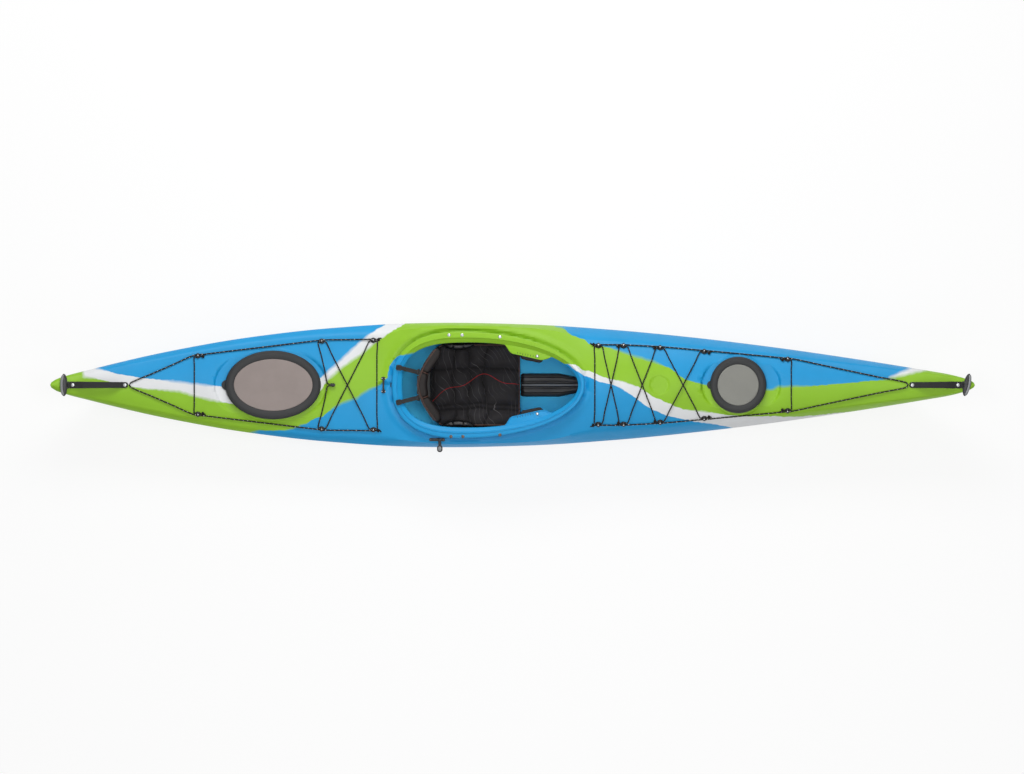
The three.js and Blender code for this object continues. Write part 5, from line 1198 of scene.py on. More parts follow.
@dataclass
class Shell(SwirledPiece):
    """The hull's moulded skin with the relief of its deck."""

    stations: int = 330
    bilge_steps: int = 18
    shoulder_steps: int = 4
    deck_steps: int = 26
    crowding: float = 0.35
    shoulder_swell: float = 0.0025
    edge_margin: float = 0.0008
    recess_wall: float = 0.0095
    refine_reach: float = 0.009
    dish_depth: float = 0.012
    compass_depth: float = 0.0045
    compass_wall: float = 0.004
    gutter: tuple = (0.006, 0.004, 0.012)
    cowl: tuple = (0.007, 0.024, 0.02)
    slot: tuple = (-1.655, -1.282)
    slot_half_width: float = 0.006
    slot_depth: float = 0.02
    wall_share: float = 0.9
    tip_wall: float = 0.004
    nose: float = 0.003
    nose_steps: tuple = (0, 0.02, 0.08, 0.18, 0.32, 0.5, 0.72, 1)

    def ring_tables(self, station: Array) -> tuple[Array, Array, Array]:
        """Points of the section rings.

        Args:
            station: Places along the hull as shares of half its length.

        Returns:
            X, Y and Z, each with a row for a station and a column for a place round the ring.
        """
        ends = smoothstep(np.abs(station), HULL.flare_start, 1)[:, None]
        rounding = np.sqrt(1 - (1 - np.clip((1 - np.abs(station)) / self.nose, 0, 1)) ** 2)[:, None]
        half, keel, gunwale, crease_y, crease_z, crown = (curve(station)[:, None] for curve in (
            HULL.half_beam, HULL.keel, HULL.gunwale, HULL.crease_width, HULL.crease, HULL.crown))
        depth = gunwale - keel
        flat = np.minimum(HULL.keel_flat / 2, half * HULL.stem_widths[0])
        mix = lambda a, b: np.array(a) * (1 - ends) + np.array(b) * ends
        widths = np.hstack([flat, mix(HULL.bilge_widths, HULL.stem_widths) * half])
        heights = np.hstack([0 * flat, mix(HULL.bilge_heights, HULL.stem_heights) * depth]) + keel
        corners = widths.shape[1]
        steps = np.linspace(0, corners - 1, self.bilge_steps + 1)[1:]
        bilge_y, bilge_z = (np.array([curve_through(range(corners), row)(steps) for row in table])
                            for table in (widths, heights))
        share = np.linspace(0, 1, self.shoulder_steps + 1)[None, 1:]
        swell = np.sin(share * math.pi) * self.shoulder_swell * rounding
        shoulder_y = half + (crease_y - half) * share + swell
        shoulder_z = gunwale + (crease_z - gunwale) * share + swell
        across = np.linspace(1, 0, self.deck_steps + 1)[None, 1:]
        deck_z = crease_z + (crown - crease_z) * (1 - across ** HULL.camber_power)
        slot_y = np.minimum(self.slot_half_width, flat * 0.5)
        port_y = np.hstack([0 * flat, slot_y, flat, bilge_y, shoulder_y, crease_y * across])
        port_z = np.hstack([keel, keel, keel, bilge_z, shoulder_z, deck_z])
        y = np.hstack([port_y, -port_y[:, -2::-1]]) * rounding
        z = np.hstack([port_z, port_z[:, -2::-1]])
        rake = np.where(station > 0, HULL.bow_rake, -HULL.stern_rake) * smoothstep(np.abs(station), HULL.rake_start, 1)
        fall = (1 - np.clip((z - keel) / depth, 0, 1)) ** HULL.stem_power
        return (station * HULL.half_length)[:, None] - rake[:, None] * fall, y, z

    def relief(self, x: Array, y: Array) -> Array:
        """Height of the deck with its recesses, dish, compass seat and the cowl round the cockpit.

        Args:
            x: Places along the hull.
            y: Places across the hull.

        Returns:
            Heights.
        """
        z = HULL.deck(x, y)
        for hatch in HATCHES:
            plane = hatch.plane(x)
            z = z + (np.minimum(z, plane) - z) * (1 - smoothstep(hatch.recess.distance(x, y), 0, self.recess_wall))
            z = z + (plane - z) * (1 - smoothstep(hatch.plinth.distance(x, y), 0, self.recess_wall / 2))
        z -= self.dish_depth * bump(np.clip(DISH.distance(x, y) / DISH.half_width + 1, 0, 1))
        flat = HULL.plane(x, COMPASS.x, self.compass_depth)
        z += (flat - z) * (1 - smoothstep(COMPASS.distance(x, y), 0, self.compass_wall))
        rise, sink = (size * bump((LIP.distance(x, y) - middle) / reach) for size, middle, reach in (
            self.cowl, self.gutter))
        return z + (smoothstep(y, -0.3, 0.12) * 0.5 + 0.5) * (rise - sink)

    def on_deck(self, co: Array) -> Array:
        """Which of some points lie on the deck, inside its edges.

        Args:
            co: Points, one row each.

        Returns:
            True for each point on the deck.
        """
        station = np.clip(co[:, 0] / HULL.half_length, -1, 1)
        inside = np.abs(co[:, 1]) < HULL.crease_width(station) - self.edge_margin
        return inside & (co[:, 2] > HULL.gunwale(station)) & (np.abs(station) < 1 - self.nose)

    def refine(self, bm: BMesh) -> None:
        """Splits the faces near the edges of recesses and openings, and sets the deck to its relief.

        Args:
            bm: The skin's bmesh.
        """
        outlines = [o.distance for h in HATCHES for o in (h.recess, h.plinth, h.hole)]
        outlines += [COMPASS.distance, DISH.distance, COCKPIT_CUT.distance]
        bm.edges.ensure_lookup_table()
        middles = np.array([(e.verts[0].co + e.verts[1].co) / 2 for e in bm.edges])
        near = np.min([np.abs(d(middles[:, 0], middles[:, 1])) for d in outlines], axis=0)
        wanted = np.flatnonzero((near < self.refine_reach) & self.on_deck(middles))
        bmesh.ops.subdivide_edges(bm, edges=[bm.edges[i] for i in wanted], cuts=2, use_grid_fill=True)
        co = np.array([v.co for v in bm.verts])
        deck = self.on_deck(co)
        co[deck, 2] = self.relief(co[deck, 0], co[deck, 1])
        for vert, place in zip(bm.verts, co):
            vert.co = place

    def open_up(self, bm: BMesh) -> None:
        """Takes out the faces inside the cockpit, the hatches and the skeg slot.

        Args:
            bm: The skin's bmesh.
        """
        middles = np.array([f.calc_center_median() for f in bm.faces])
        x, y, z = middles.T
        deck = self.on_deck(middles)
        low = z < HULL.keel(x / HULL.half_length) + self.slot_depth
        gone = low & (np.abs(y) < self.slot_half_width) & (x > self.slot[0]) & (x < self.slot[1])
        for opening in (COCKPIT_CUT, *(hatch.hole for hatch in HATCHES)):
            gone |= deck & (opening.distance(x, y) < 0)
        bm.faces.ensure_lookup_table()
        bmesh.ops.delete(bm, geom=[bm.faces[i] for i in np.flatnonzero(gone)], context="FACES")

    def thin_ends(self, skin: Object) -> None:
        """Draws the inner wall in where the stems are too thin for it, so that it stays inside the skin.

        Args:
            skin: The shell with both its walls.
        """
        co = points_of(skin)
        outer, inner = np.split(co, 2)
        inner[outer[:, 1] * inner[:, 1] < 0, 1] = 0
        tip = np.abs(outer[:, 0]) > HULL.half_length * (1 - self.nose)
        inner[tip] = outer[tip] * (1, 0, 1) - np.sign(outer[tip, :1]) * (self.tip_wall, 0, 0) - (0, 0, self.tip_wall)
        skin.data.vertices.foreach_set("co", co.ravel())

    def build(self) -> Object:
        """Bends a grid round the hull's lines, shapes its deck, opens it and gives it its wall.

        Returns:
            The shell.
        """
        even = np.linspace(-1, 1, self.stations + 1)
        station = even + (np.sin(even * math.pi / 2) - even) * self.crowding
        nose = 1 - self.nose * np.array(self.nose_steps)
        station = np.concatenate([-nose, station[1:-1], nose[::-1]])
        tables = self.ring_tables(station)
        along, around = len(station) - 1, tables[0].shape[1] - 1

        def place(u: Array, v: Array) -> Array:
            """Points of the skin."""
            i, j = whole(u * along), whole(v * around)
            return np.stack([t[i, j] for t in tables], axis=1)

        bm = bmesh.new()
        add_grid(bm, along, around, place)
        if bm.calc_volume(signed=True) < 0:
            bmesh.ops.reverse_faces(bm, faces=bm.faces[:])
        self.refine(bm)
        self.open_up(bm)
        skin = object_of("hull_moulding", bm, 40.0)
        self.mark_pigments(skin)
        wall = skin.modifiers.new("wall", "SOLIDIFY")
        wall.thickness, wall.offset, wall.material_offset = HULL.skin * self.wall_share, -1.0, 1
        # the inner wall takes the brightened inside plastic: painted light
        for finish in (HULL_PLASTIC, BRIGHTENED_INNER_PLASTIC):
            skin.data.materials.append(finish.material())
        apply_modifiers(skin)
        self.thin_ends(skin)
        return finish_piece(skin, HULL_PLASTIC, "hull_shell")


@dataclass
class Coaming(SwirledPiece):
    """The raised rim of the cockpit with its thigh tabs, rivets, and black ticks painted for the shade in a row of
    small holes.
    """

    aft_height: float = 0.272
    fore_height: float = 0.362
    segments: int = 200
    flange_drop: float = 0.011
    flange_thickness: float = 0.005
    section: tuple = (
        (.05, -.0074), (.01, -.0068), (0, -.005), (.004, -.0028), (.03, -.001), (.1, .0002), (.24, .0008),
        (.38, .0012), (.44, .0014), (.47, .0044), (.53, .0044), (.57, .0006), (.66, -.0012), (.75, -.004),
        (.87, -.0076), (.95, -.01), (.99, -.0118), (1, -.0135), (.99, -.0155), (.95, -.0158), (.8, -.0125),
        (.64, -.009), (.61, -.012), (.605, -.03), (.6, math.nan), (.47, math.nan), (.455, -.012), (.45, -.0078),
    )
    wall_share: float = 0.56
    wall_drop: float = 0.0122
    rivet_places: tuple = (((-.303, .239), (-.24, .239), (-.059, .23)), ((-.293, .247), (-.236, .247), (-.059, .239)))
    rivet: tuple = ((0, 0), (.0078, 0), (.008, .001), (.0062, .0026), (.0035, .0032), (.003, .0024), (0, .0024))
    tick: tuple = (0.0022, 0.009, 0.0014)
    tick_start: tuple = (.025, .1534)
    tick_end: tuple = (.1125, .1358)
    tick_count: int = 8
    tab_aft: float = -0.042
    tab_shoulder: float = 0.002
    tab_nose: float = 0.15
    tab_fore: float = 0.188
    tab_aft_reach: float = 0.147
    tab_fore_reach: float = 0.119
    tab_overlap: float = 0.012
    tab_root: float = 0.007
    tab_round: float = 0.0018
    bead_radius: float = 0.0022

    @property
    def slope(self) -> float:
        """Rise of the coaming's plane for a unit of length."""
        return (self.fore_height - self.aft_height) / (LIP.fore - LIP.aft)

    def height(self, x: float | Array) -> float | Array:
        """Height of the coaming's plane."""
        return self.aft_height + (x - LIP.aft) * self.slope

    def matrix(self, x: float, y: float, lift: float = 0.0) -> Matrix:
        """A frame on the coaming's plane."""
        return move(x, y, self.height(x) + lift) @ turned(-math.atan(self.slope), "Y")

    def rim(self, bm: BMesh) -> None:
        """Sweeps the lip, the flange and the wall round the cockpit; the wall's foot lies under the deck.

        Args:
            bm: The bmesh that takes it.
        """
        profile = np.array(self.section)

        def place(u: Array, v: Array) -> Array:
            """Points of the rim.

            Args:
                u: Shares of the way along, from 0 to 1.
                v: Shares of the way round, from 0 to 1.

            Returns:
                Points, one row each.
            """
            share, lift = profile[whole(v * len(profile)) % len(profile)].T
            (ax, ay), (bx, by) = (egg.point(u * 2 * math.pi) for egg in (LIP, MOUTH))
            x, y = ax + (bx - ax) * share, ay + (by - ay) * share
            z = np.where(np.isnan(lift), HULL.deck(x, y) - HULL.skin, self.height(x) + np.nan_to_num(lift))
            return np.stack([x, y, z], axis=1)

        add_grid(bm, self.segments, len(profile), place)

    def tab_outline(self, side: int) -> list[tuple[float, float]]:
        """Outline of a thigh tab: out along the mouth, and back round its free edge.

        Args:
            side: 1 for port and -1 for starboard.

        Returns:
            Places along and across the hull, in order.
        """
        edge, bend = MOUTH.half_width_at, (self.tab_aft + self.tab_shoulder) / 2
        aft, fore = edge(self.tab_aft), self.tab_fore_reach
        points = [*bezier([(self.tab_aft, aft), (bend, aft), (bend, self.tab_aft_reach),
                           (self.tab_shoulder + self.tab_overlap, self.tab_aft_reach)], 14),
                  *bezier([(self.tab_nose - self.tab_overlap, fore), (self.tab_nose + self.tab_overlap, fore),
                           (self.tab_fore, edge(self.tab_fore))], 12),
                  *((x, edge(x) + self.tab_root) for x in np.linspace(self.tab_fore, self.tab_aft, 12))]
        return [(x, side * y) for x, y in points]

    def tab(self, bm: BMesh, side: int) -> None:
        """Adds a thigh tab to the rim, with a raised edge along its free side.

        Args:
            bm: The bmesh that takes it.
            side: 1 for port and -1 for starboard.
        """
        before, outline = set(bm.verts), self.tab_outline(side)
        add_plate(bm, outline, self.flange_thickness, Matrix(), self.tab_round)
        for v in added(bm, before):
            v.co.z += self.height(v.co.x) - self.flange_drop - self.flange_thickness
        bead = [(x - 0.001, y + side * 0.003, self.height(x) - self.flange_drop + 0.0004) for x, y in outline[2:24]]
        add_tube(bm, through_points(bead, 0.006), self.bead_radius, 8)

    def build(self) -> None:
        """Makes the rim with its tabs, then its rivets and the black ticks that paint the shade in a row of small
        holes by each tab.
        """
        bm = bmesh.new()
        self.rim(bm)
        for _, side in SIDES:
            self.tab(bm, side)
        rim = object_of("coaming_rim", bm, 50.0)
        x, y, z = points_of(rim).T
        far = LIP.distance(x, y)
        share = far / (far - MOUTH.distance(x, y))
        self.mark_pigments(rim, (share > self.wall_share) & (z < self.height(x) - self.wall_drop))
        finish_piece(rim, HULL_PLASTIC, "hull_shell")
        # the starboard rivets take the darker steel: painted shade
        for (word, side), finish, places in zip(SIDES, (STEEL, SHADED_STEEL), self.rivet_places):
            bm = bmesh.new()
            for x, y in places:
                add_lathe(bm, self.rivet, self.matrix(x, side * y, FIT_GAP + 0.0001))
            make_piece(f"{word}_coaming_rivets", bm, finish)
        # painted shade: black ticks stand for the shade inside a row of small holes on each side
        bm = bmesh.new()
        (aft_x, aft_y), (fore_x, fore_y) = self.tick_start, self.tick_end
        for _, side in SIDES:
            turn = math.atan2(side * (fore_y - aft_y), fore_x - aft_x)
            for x, y in bezier((self.tick_start, self.tick_end), self.tick_count):
                add_box(bm, self.tick, self.matrix(x, side * y, -self.flange_drop) @ turned(turn, "Z"), 0.0006, 2)
        make_piece("tab_hole_shade_ticks", bm, MOULDING)


COAMING = Coaming()


@dataclass
class HatchSet(SwirledPiece):
    """Spigot, rubber cover and lid plate of one hatch."""

    hatch: Hatch
    segments: int = 128

    def swept(self, bm: BMesh, rows: Sequence[Sequence[float]], closed: bool = True) -> None:
        """Sweeps a profile round the hatch's oval.

        Args:
            bm: The bmesh that takes it.
            rows: Half length, half width and height of the ring at each place of the profile.
            closed: True where the profile returns to its start.
        """
        table = np.array(rows)

        def place(u: Array, v: Array) -> Array:
            """Points of the rings.

            Args:
                u: Shares of the way along, from 0 to 1.
                v: Shares of the way round, from 0 to 1.

            Returns:
                Points, one row each.
            """
            angle = u * 2 * math.pi
            long, wide, z = table[whole(v * (len(table) - 1 + closed)) % len(table)].T
            return np.stack([long * np.cos(angle), wide * np.sin(angle), z], axis=1)

        add_grid(bm, self.segments, len(table) - 1 + closed, place, at=self.hatch.matrix())

    def inset(self, profile: Points) -> list[tuple[float, float, float]]:
        """Rings from a profile of distances in from the cover's rim and of heights."""
        return [(self.hatch.half_length - reach, self.hatch.half_width - reach, z) for reach, z in profile]

    def spigot(self) -> None:
        """The upright ring that the cover closes over."""
        h = self.hatch
        out, wall, top = h.spigot_inset, h.spigot_wall, h.spigot_height
        bm = bmesh.new()
        self.swept(bm, self.inset([
            (out, -.004), (out, top - .003), (out + .001, top - .0008), (out + .003, top), (out + wall - .003, top),
            (out + wall - .001, top - .0008), (out + wall, top - .003), (out + wall, -.004),
            (out + wall - .001, -.005), (out + .001, -.005)]))
        obj = object_of(f"{h.name}_hatch_spigot", bm, 50.0)
        self.mark_pigments(obj)
        finish_piece(obj, HULL_PLASTIC)

    def cover(self) -> None:
        """The rubber cover: a skirt, a fat rolled rim and a pull tab."""
        h = self.hatch
        under, radius = h.spigot_height + FIT_GAP, h.tab_radius
        crest, rim = under + h.roof * 1.6, h.rim
        bm = bmesh.new()
        self.swept(bm, self.inset([
            (h.skirt, FIT_GAP), (.003, FIT_GAP), (.0006, .0012), (0, .004), (.0012, .0062), (.001, .012), (0, .0165),
            (.0008, .0205), (.0035, under + h.roof * .62), (rim * .16, crest - .0016), (rim * .24, crest - .0005),
            (rim * .27, crest - .0014), (rim * .3, crest - .0004), (rim * .5, crest), (rim * .7, crest - .0005),
            (rim * .86, crest - .002), (rim * .93, crest - .0034), (rim - .0012, under + .0058),
            (rim, under + .0046), (rim, under + .003), (rim + .02, under + .003), (rim + .02, under),
            (h.skirt + .004, under), (h.skirt, under - .004)]))
        reach = radius - h.tab_reach - h.half_length
        outline = [(reach + radius * math.cos(a), radius * math.sin(a))
                   for a in np.linspace(math.pi * .5, math.pi * 1.5, 24)]
        outline += [(reach + radius * .6, -radius), (reach + radius * .6, radius)]
        add_plate(bm, outline, h.roof, h.matrix() @ move(0, 0, FIT_GAP), 0.0018)
        ridge = [(reach - radius * .35, y, h.roof + .0006) for y in np.linspace(-.6, .6, 7) * radius]
        add_tube(bm, through_points(ridge, 0.003), 0.0016, 8, at=h.matrix())
        make_piece(f"{h.name}_hatch_rubber", bm, RUBBER, f"{h.name}_hatch_cover", body=f"{h.name}_hatch_lid",
                   sharp=50.0)

    def lid(self) -> None:
        """The stiff plate set in the cover: up its edge, in over its dome, and back underneath."""
        h = self.hatch
        edge, floor = h.rim + FIT_GAP, h.spigot_height + FIT_GAP * 2 + h.roof / 2
        top = floor + h.plate * .9
        rows = self.inset([(edge, floor), (edge, floor + .0012), (edge + .0008, floor + .002),
                           (edge + .004, floor + h.plate), (edge + .006, top), (edge + .008, top)])
        long, wide = rows[-1][:2]
        rows += [(long * out, wide * out, top + .0012 * (1 - out ** 2)) for out in 1 - np.arange(1, 10) / 9]
        long, wide = rows[0][:2]
        rows += [(long * out, wide * out, floor) for out in np.arange(6) / 5]
        bm = bmesh.new()
        self.swept(bm, rows, closed=False)
        make_piece(f"{h.name}_hatch_lid_plate", bm, h.lid, f"{h.name}_hatch_plate", body=f"{h.name}_hatch_lid")

    def build(self) -> None:
        """Makes the three pieces."""
        self.spigot()
        self.cover()
        self.lid()


# Deck lines and their fittings


class Lay(Enum):
    """How a cord passes an eye."""

    OUTBOARD = 1
    INBOARD = -1


@dataclass(frozen=True)
class Pass:
    """One pass of a cord through a deck fitting."""

    side: int
    fitting: str
    lay: Lay
    forward: bool


@dataclass
class DeckLines:
    """Deck fittings with the deck lines, bungees and the cord lock that they hold."""

    places: tuple = (("stern", -1.507, .139), ("aft", -.914, .21), ("quarter", -.666, .214), ("knee", .412, .187),
                     ("midfore", .533, .186), ("fore", .708, .177), ("hatch", .919, .159), ("bow", 1.318, .122))
    line_diameter: float = 0.0065
    bungee_diameter: float = 0.006
    line_pitch: float = 0.13
    bungee_pitch: float = 0.066
    end_pitch: float = 0.047
    lane: float = 0.0038
    exit: float = 0.017
    rest_gap: float = 0.002
    base: tuple = (0.028, 0.023, 0.003)
    arch_half_width: float = 0.01025
    arch_height: float = 0.0135
    arch_depth: float = 0.009
    arch_radius: float = 0.0023
    arch: tuple = ((-1, .001), (-1, .007), (-.8, .0115))
    screw_reach: float = 0.0102
    screw_radius: float = 0.0034
    screw: tuple = ((0, 0), (1, 0), (1, .0004), (.8, .0013), (.45, .0017), (.4, .0009), (0, .0009))
    cap_rise: float = 0.0018
    knot_scale: float = 0.0021
    knot_radius: float = 0.0029
    knot_turn: float = 0.5
    knot_reach: float = 0.007
    knot_rise: float = 0.003
    lock_x: float = -0.86
    lock_length: float = 0.024
    lock_diameter: float = 0.017
    lock: tuple = ((0, -1), (.8, -1), (.97, -.86), (1, -.5), (.93, -.42), (1, -.34), (1, -.1), (.93, 0), (1, .1),
                   (1, .34), (.93, .42), (.9, .55), (.62, .58), (.62, .92), (.5, 1), (0, 1))
    cord_step: float = 0.009
    stern_turn: float = -1.8335
    bow_turn: float = 1.8915

    def frame_at(self, side: int, index: int) -> Matrix:
        """A fitting's own frame: square to the deck and turned along the run of the line.

        Args:
            side: 1 for port and -1 for starboard.
            index: Number of the fitting along the deck.

        Returns:
            The frame.
        """
        _, x, y = self.places[index]
        (_, aft_x, aft_y), *_, (_, fore_x, fore_y) = self.places[max(index - 1, 0):index + 2]
        return HULL.deck_frame(x, side * y) @ turned(math.atan2(side * (fore_y - aft_y), fore_x - aft_x), "Z")

    def index_of(self, name: str) -> int:
        """Number of a fitting along the deck."""
        return [place[0] for place in self.places].index(name)

    def passing(self, taken: Pass) -> list[Array]:
        """The places where a cord goes through a fitting.

        Args:
            taken: The pass.

        Returns:
            Its places, in order.
        """
        stops = [-self.exit, -self.arch_depth, self.arch_depth, self.exit]
        diameter = self.bungee_diameter
        if taken.lay is Lay.OUTBOARD:
            stops, diameter = [-self.exit, self.exit], self.line_diameter
        height = self.base[2] + diameter / 2 + FIT_GAP
        at = self.frame_at(taken.side, self.index_of(taken.fitting))
        return [np.array(at @ Vector((stop, taken.side * self.lane * taken.lay.value, height)))
                for stop in (stops if taken.forward else stops[::-1])]

    def lying(self, start: Array, end: Array, diameter: float, pitch: float, over: float) -> list:
        """The places of a cord on the deck between two points.

        Args:
            start: Where it leaves a fitting.
            end: Where it reaches the next one.
            diameter: Diameter of the cord.
            pitch: Distance between its places on the deck.
            over: Height of the hump in its middle.

        Returns:
            Its places, in order.
        """
        count = max(round(math.hypot(*(end - start)[:2]) / pitch) - 1, 1)
        out = []
        for share in np.linspace(0, 1, count + 2)[1:-1]:
            place = start + (end - start) * share
            rest = float(SHELL.relief(place[:1], place[1:2])[0]) + diameter / 2 + self.rest_gap
            place[2] = rest + over * max(1 - abs(share - 0.5) * 3, 0)
            out.append(place)
        return out

    def laid(self, passes: Sequence[list], diameter: float, pitch: float, crossings: Sequence[int] = ()) -> list:
        """Joins passes into one route, lying on the deck between them and humped over at the crossings.

        Args:
            passes: Places of each pass, in order.
            diameter: Diameter of the cord.
            pitch: Distance between its places on the deck.
            crossings: Numbers of the runs that go over another one.

        Returns:
            The route's places, in order.
        """
        route = list(passes[0])
        for i, taken in enumerate(passes[1:], 1):
            over = diameter + self.rest_gap if i in crossings else 0.0
            route += self.lying(route[-1], taken[0], diameter, pitch, over) + list(taken)
        return route

    def line_route(self, names: Sequence[str], turn_x: float, outward: int) -> list:
        """A deck line up the port side, round a carry strap and back down the starboard side.

        Args:
            names: Fittings on its way out, in order.
            turn_x: Place of its turn round the strap.
            outward: 1 towards the bow and -1 towards the stern.

        Returns:
            The route's places, in order.
        """
        forward = outward > 0
        port = [self.passing(Pass(1, n, Lay.OUTBOARD, forward)) for n in names]
        starboard = [self.passing(Pass(-1, n, Lay.OUTBOARD, not forward)) for n in reversed(names)]
        lift, back = self.line_diameter / 2 + self.rest_gap, turn_x - outward * self.line_diameter
        turn = [[np.array((x, y, float(HULL.deck(x, y)) + lift))] for x, y in (
            (back, self.line_diameter * 1.5), (turn_x, 0.0), (back, -self.line_diameter * 1.5))]
        return self.laid(port + turn + starboard, self.line_diameter, self.line_pitch)

    def bungee_route(self, passes: Sequence[tuple[int, str, bool]], pitch: float, crossings: Sequence[int] = (),
                     before: Sequence[list] = (), after: Sequence[list] = ()) -> list:
        """A bungee's route across the deck.

        Args:
            passes: Side, fitting and whether it runs forward, for each fitting in order.
            pitch: Distance between its places on the deck.
            crossings: Numbers of the runs that go over another one.
            before: Places that it starts from.
            after: Places that it ends in.

        Returns:
            Its places in order.
        """
        taken = [self.passing(Pass(side, name, Lay.INBOARD, forward)) for side, name, forward in passes]
        return self.laid([*before, *taken, *after], self.bungee_diameter, pitch, crossings)

    def lock_height(self) -> float:
        """Height of the cord lock's axis."""
        return float(HULL.deck(self.lock_x, 0)) + self.lock_diameter / 2 + self.rest_gap

    def routes(self) -> dict[str, list]:
        """Every cord's places.

        Returns:
            The places of each cord, by its name.
        """
        z, away = self.lock_height(), self.bungee_diameter * 0.6
        port, starboard = (
            [np.array((self.lock_x - self.lock_length / 2 - FIT_GAP * 3, side * away, z)),
             np.array((self.lock_x - self.lock_length, side * away * 1.6, z - FIT_GAP * 4))] for side in (1, -1))
        rear = [(1, "aft", True), (-1, "quarter", True), (1, "quarter", False), (-1, "aft", False)]
        front = [(1, "hatch", False), (-1, "fore", False), (1, "midfore", False), (-1, "knee", False),
                 (1, "knee", True), (-1, "midfore", True), (1, "fore", True), (-1, "hatch", True)]
        stern, bow = [(1, "stern", False), (-1, "stern", True)], [(1, "bow", True), (-1, "bow", False)]
        return {
            "rear_deck_line": self.line_route(("quarter", "aft", "stern"), self.stern_turn, -1),
            "front_deck_line": self.line_route(("knee", "midfore", "fore", "hatch", "bow"), self.bow_turn, 1),
            "rear_bungee": self.bungee_route(rear, self.bungee_pitch, [2], [port], [starboard[::-1]]),
            "front_bungee": self.bungee_route(front, self.bungee_pitch, [1, 2, 3]),
            "stern_bungee": self.bungee_route(stern, self.end_pitch),
            "bow_bungee": self.bungee_route(bow, self.end_pitch),
        }

    def build_cords(self) -> None:
        """Makes each cord."""
        for name, places in self.routes().items():
            diameter, finish = self.bungee_diameter, BUNGEE_CORD
            if name.endswith("line"):
                diameter, finish = self.line_diameter, LINE_CORD
            route = through_points(places, self.cord_step)
            bm = bmesh.new()
            add_tube(bm, route, diameter / 2, 12)
            obj = make_piece(f"{name}_cord", bm, finish, name)

    def add_knot(self, bm: BMesh, at: Matrix) -> None:
        """Adds a stopper knot with a short tail.

        Args:
            bm: The bmesh that takes it.
            at: Frame that it stands in.
        """
        scale, radius = self.knot_scale, self.knot_radius
        turn = np.linspace(0, 2 * math.pi, 37)[:-1]
        loop = np.stack([np.sin(turn) + 2 * np.sin(2 * turn), np.cos(turn) - 2 * np.cos(2 * turn),
                         -np.sin(3 * turn) * 1.3], axis=1) * scale
        add_tube(bm, np.vstack([loop, loop[:1]]), radius, 8, at=at)
        tail = [(0, 0, 0), (scale * 4.5, scale, -scale * .4), (scale * 7.5, -scale * .6, -scale)]
        add_tube(bm, through_points(tail, .002), radius * 0.95, 8, at=at)

    def build_fittings(self) -> None:
        """Makes the eyes, their screws and the knots, then the cord lock."""
        mould, screws, knots = bmesh.new(), bmesh.new(), bmesh.new()
        arch = through_points(mirrored([(0, self.arch_half_width * y, z)
                                        for y, z in (*self.arch, (-.4, self.arch_height))]), 0.0016)
        screw = [(self.screw_radius * share, z) for share, z in self.screw]
        length, width, thick = self.base
        spots = ((self.screw_reach, 0, thick), (-self.screw_reach, 0, thick), (0, 0, self.arch_height + self.cap_rise))
        for _, side in SIDES:
            for i, (name, _, _) in enumerate(self.places):
                at = self.frame_at(side, i)
                add_plate(mould, rounded_outline(length, width, width * 0.42), thick, at, 0.001)
                add_tube(mould, arch, self.arch_radius, 12, self.arch_depth / 2 / self.arch_radius, at)
                for spot in spots:
                    add_lathe(screws, screw, at @ Matrix.Translation(spot), 16)
                if name == "aft":
                    continue
                way = 1 if name in ("stern", "quarter", "hatch") else -1
                lane = side * (self.lane if name in ("quarter", "knee") else -self.lane * 1.6)
                twist = side * self.knot_turn if way > 0 else math.pi - side * self.knot_turn
                spot = at @ move(way * (self.exit + self.knot_reach), lane, thick + self.knot_rise)
                self.add_knot(knots, spot @ turned(twist, "Z"))
        nodes = [f"{word}_{place[0]}_fitting" for word, _ in SIDES for place in self.places]
        make_piece("deck_fittings", mould, MOULDING, *nodes)
        make_piece("fitting_screws", screws, STEEL)
        make_piece("line_knots", knots, LINE_CORD)
        bm = bmesh.new()
        profile = [(self.lock_diameter / 2 * share, self.lock_length / 2 * along) for share, along in self.lock]
        add_lathe(bm, profile, move(self.lock_x, 0, self.lock_height()) @ turned(math.pi / 2, "Y"), 28)
        make_piece("bungee_cord_lock", bm, MOULDING, "cord_lock")


# Carry handles


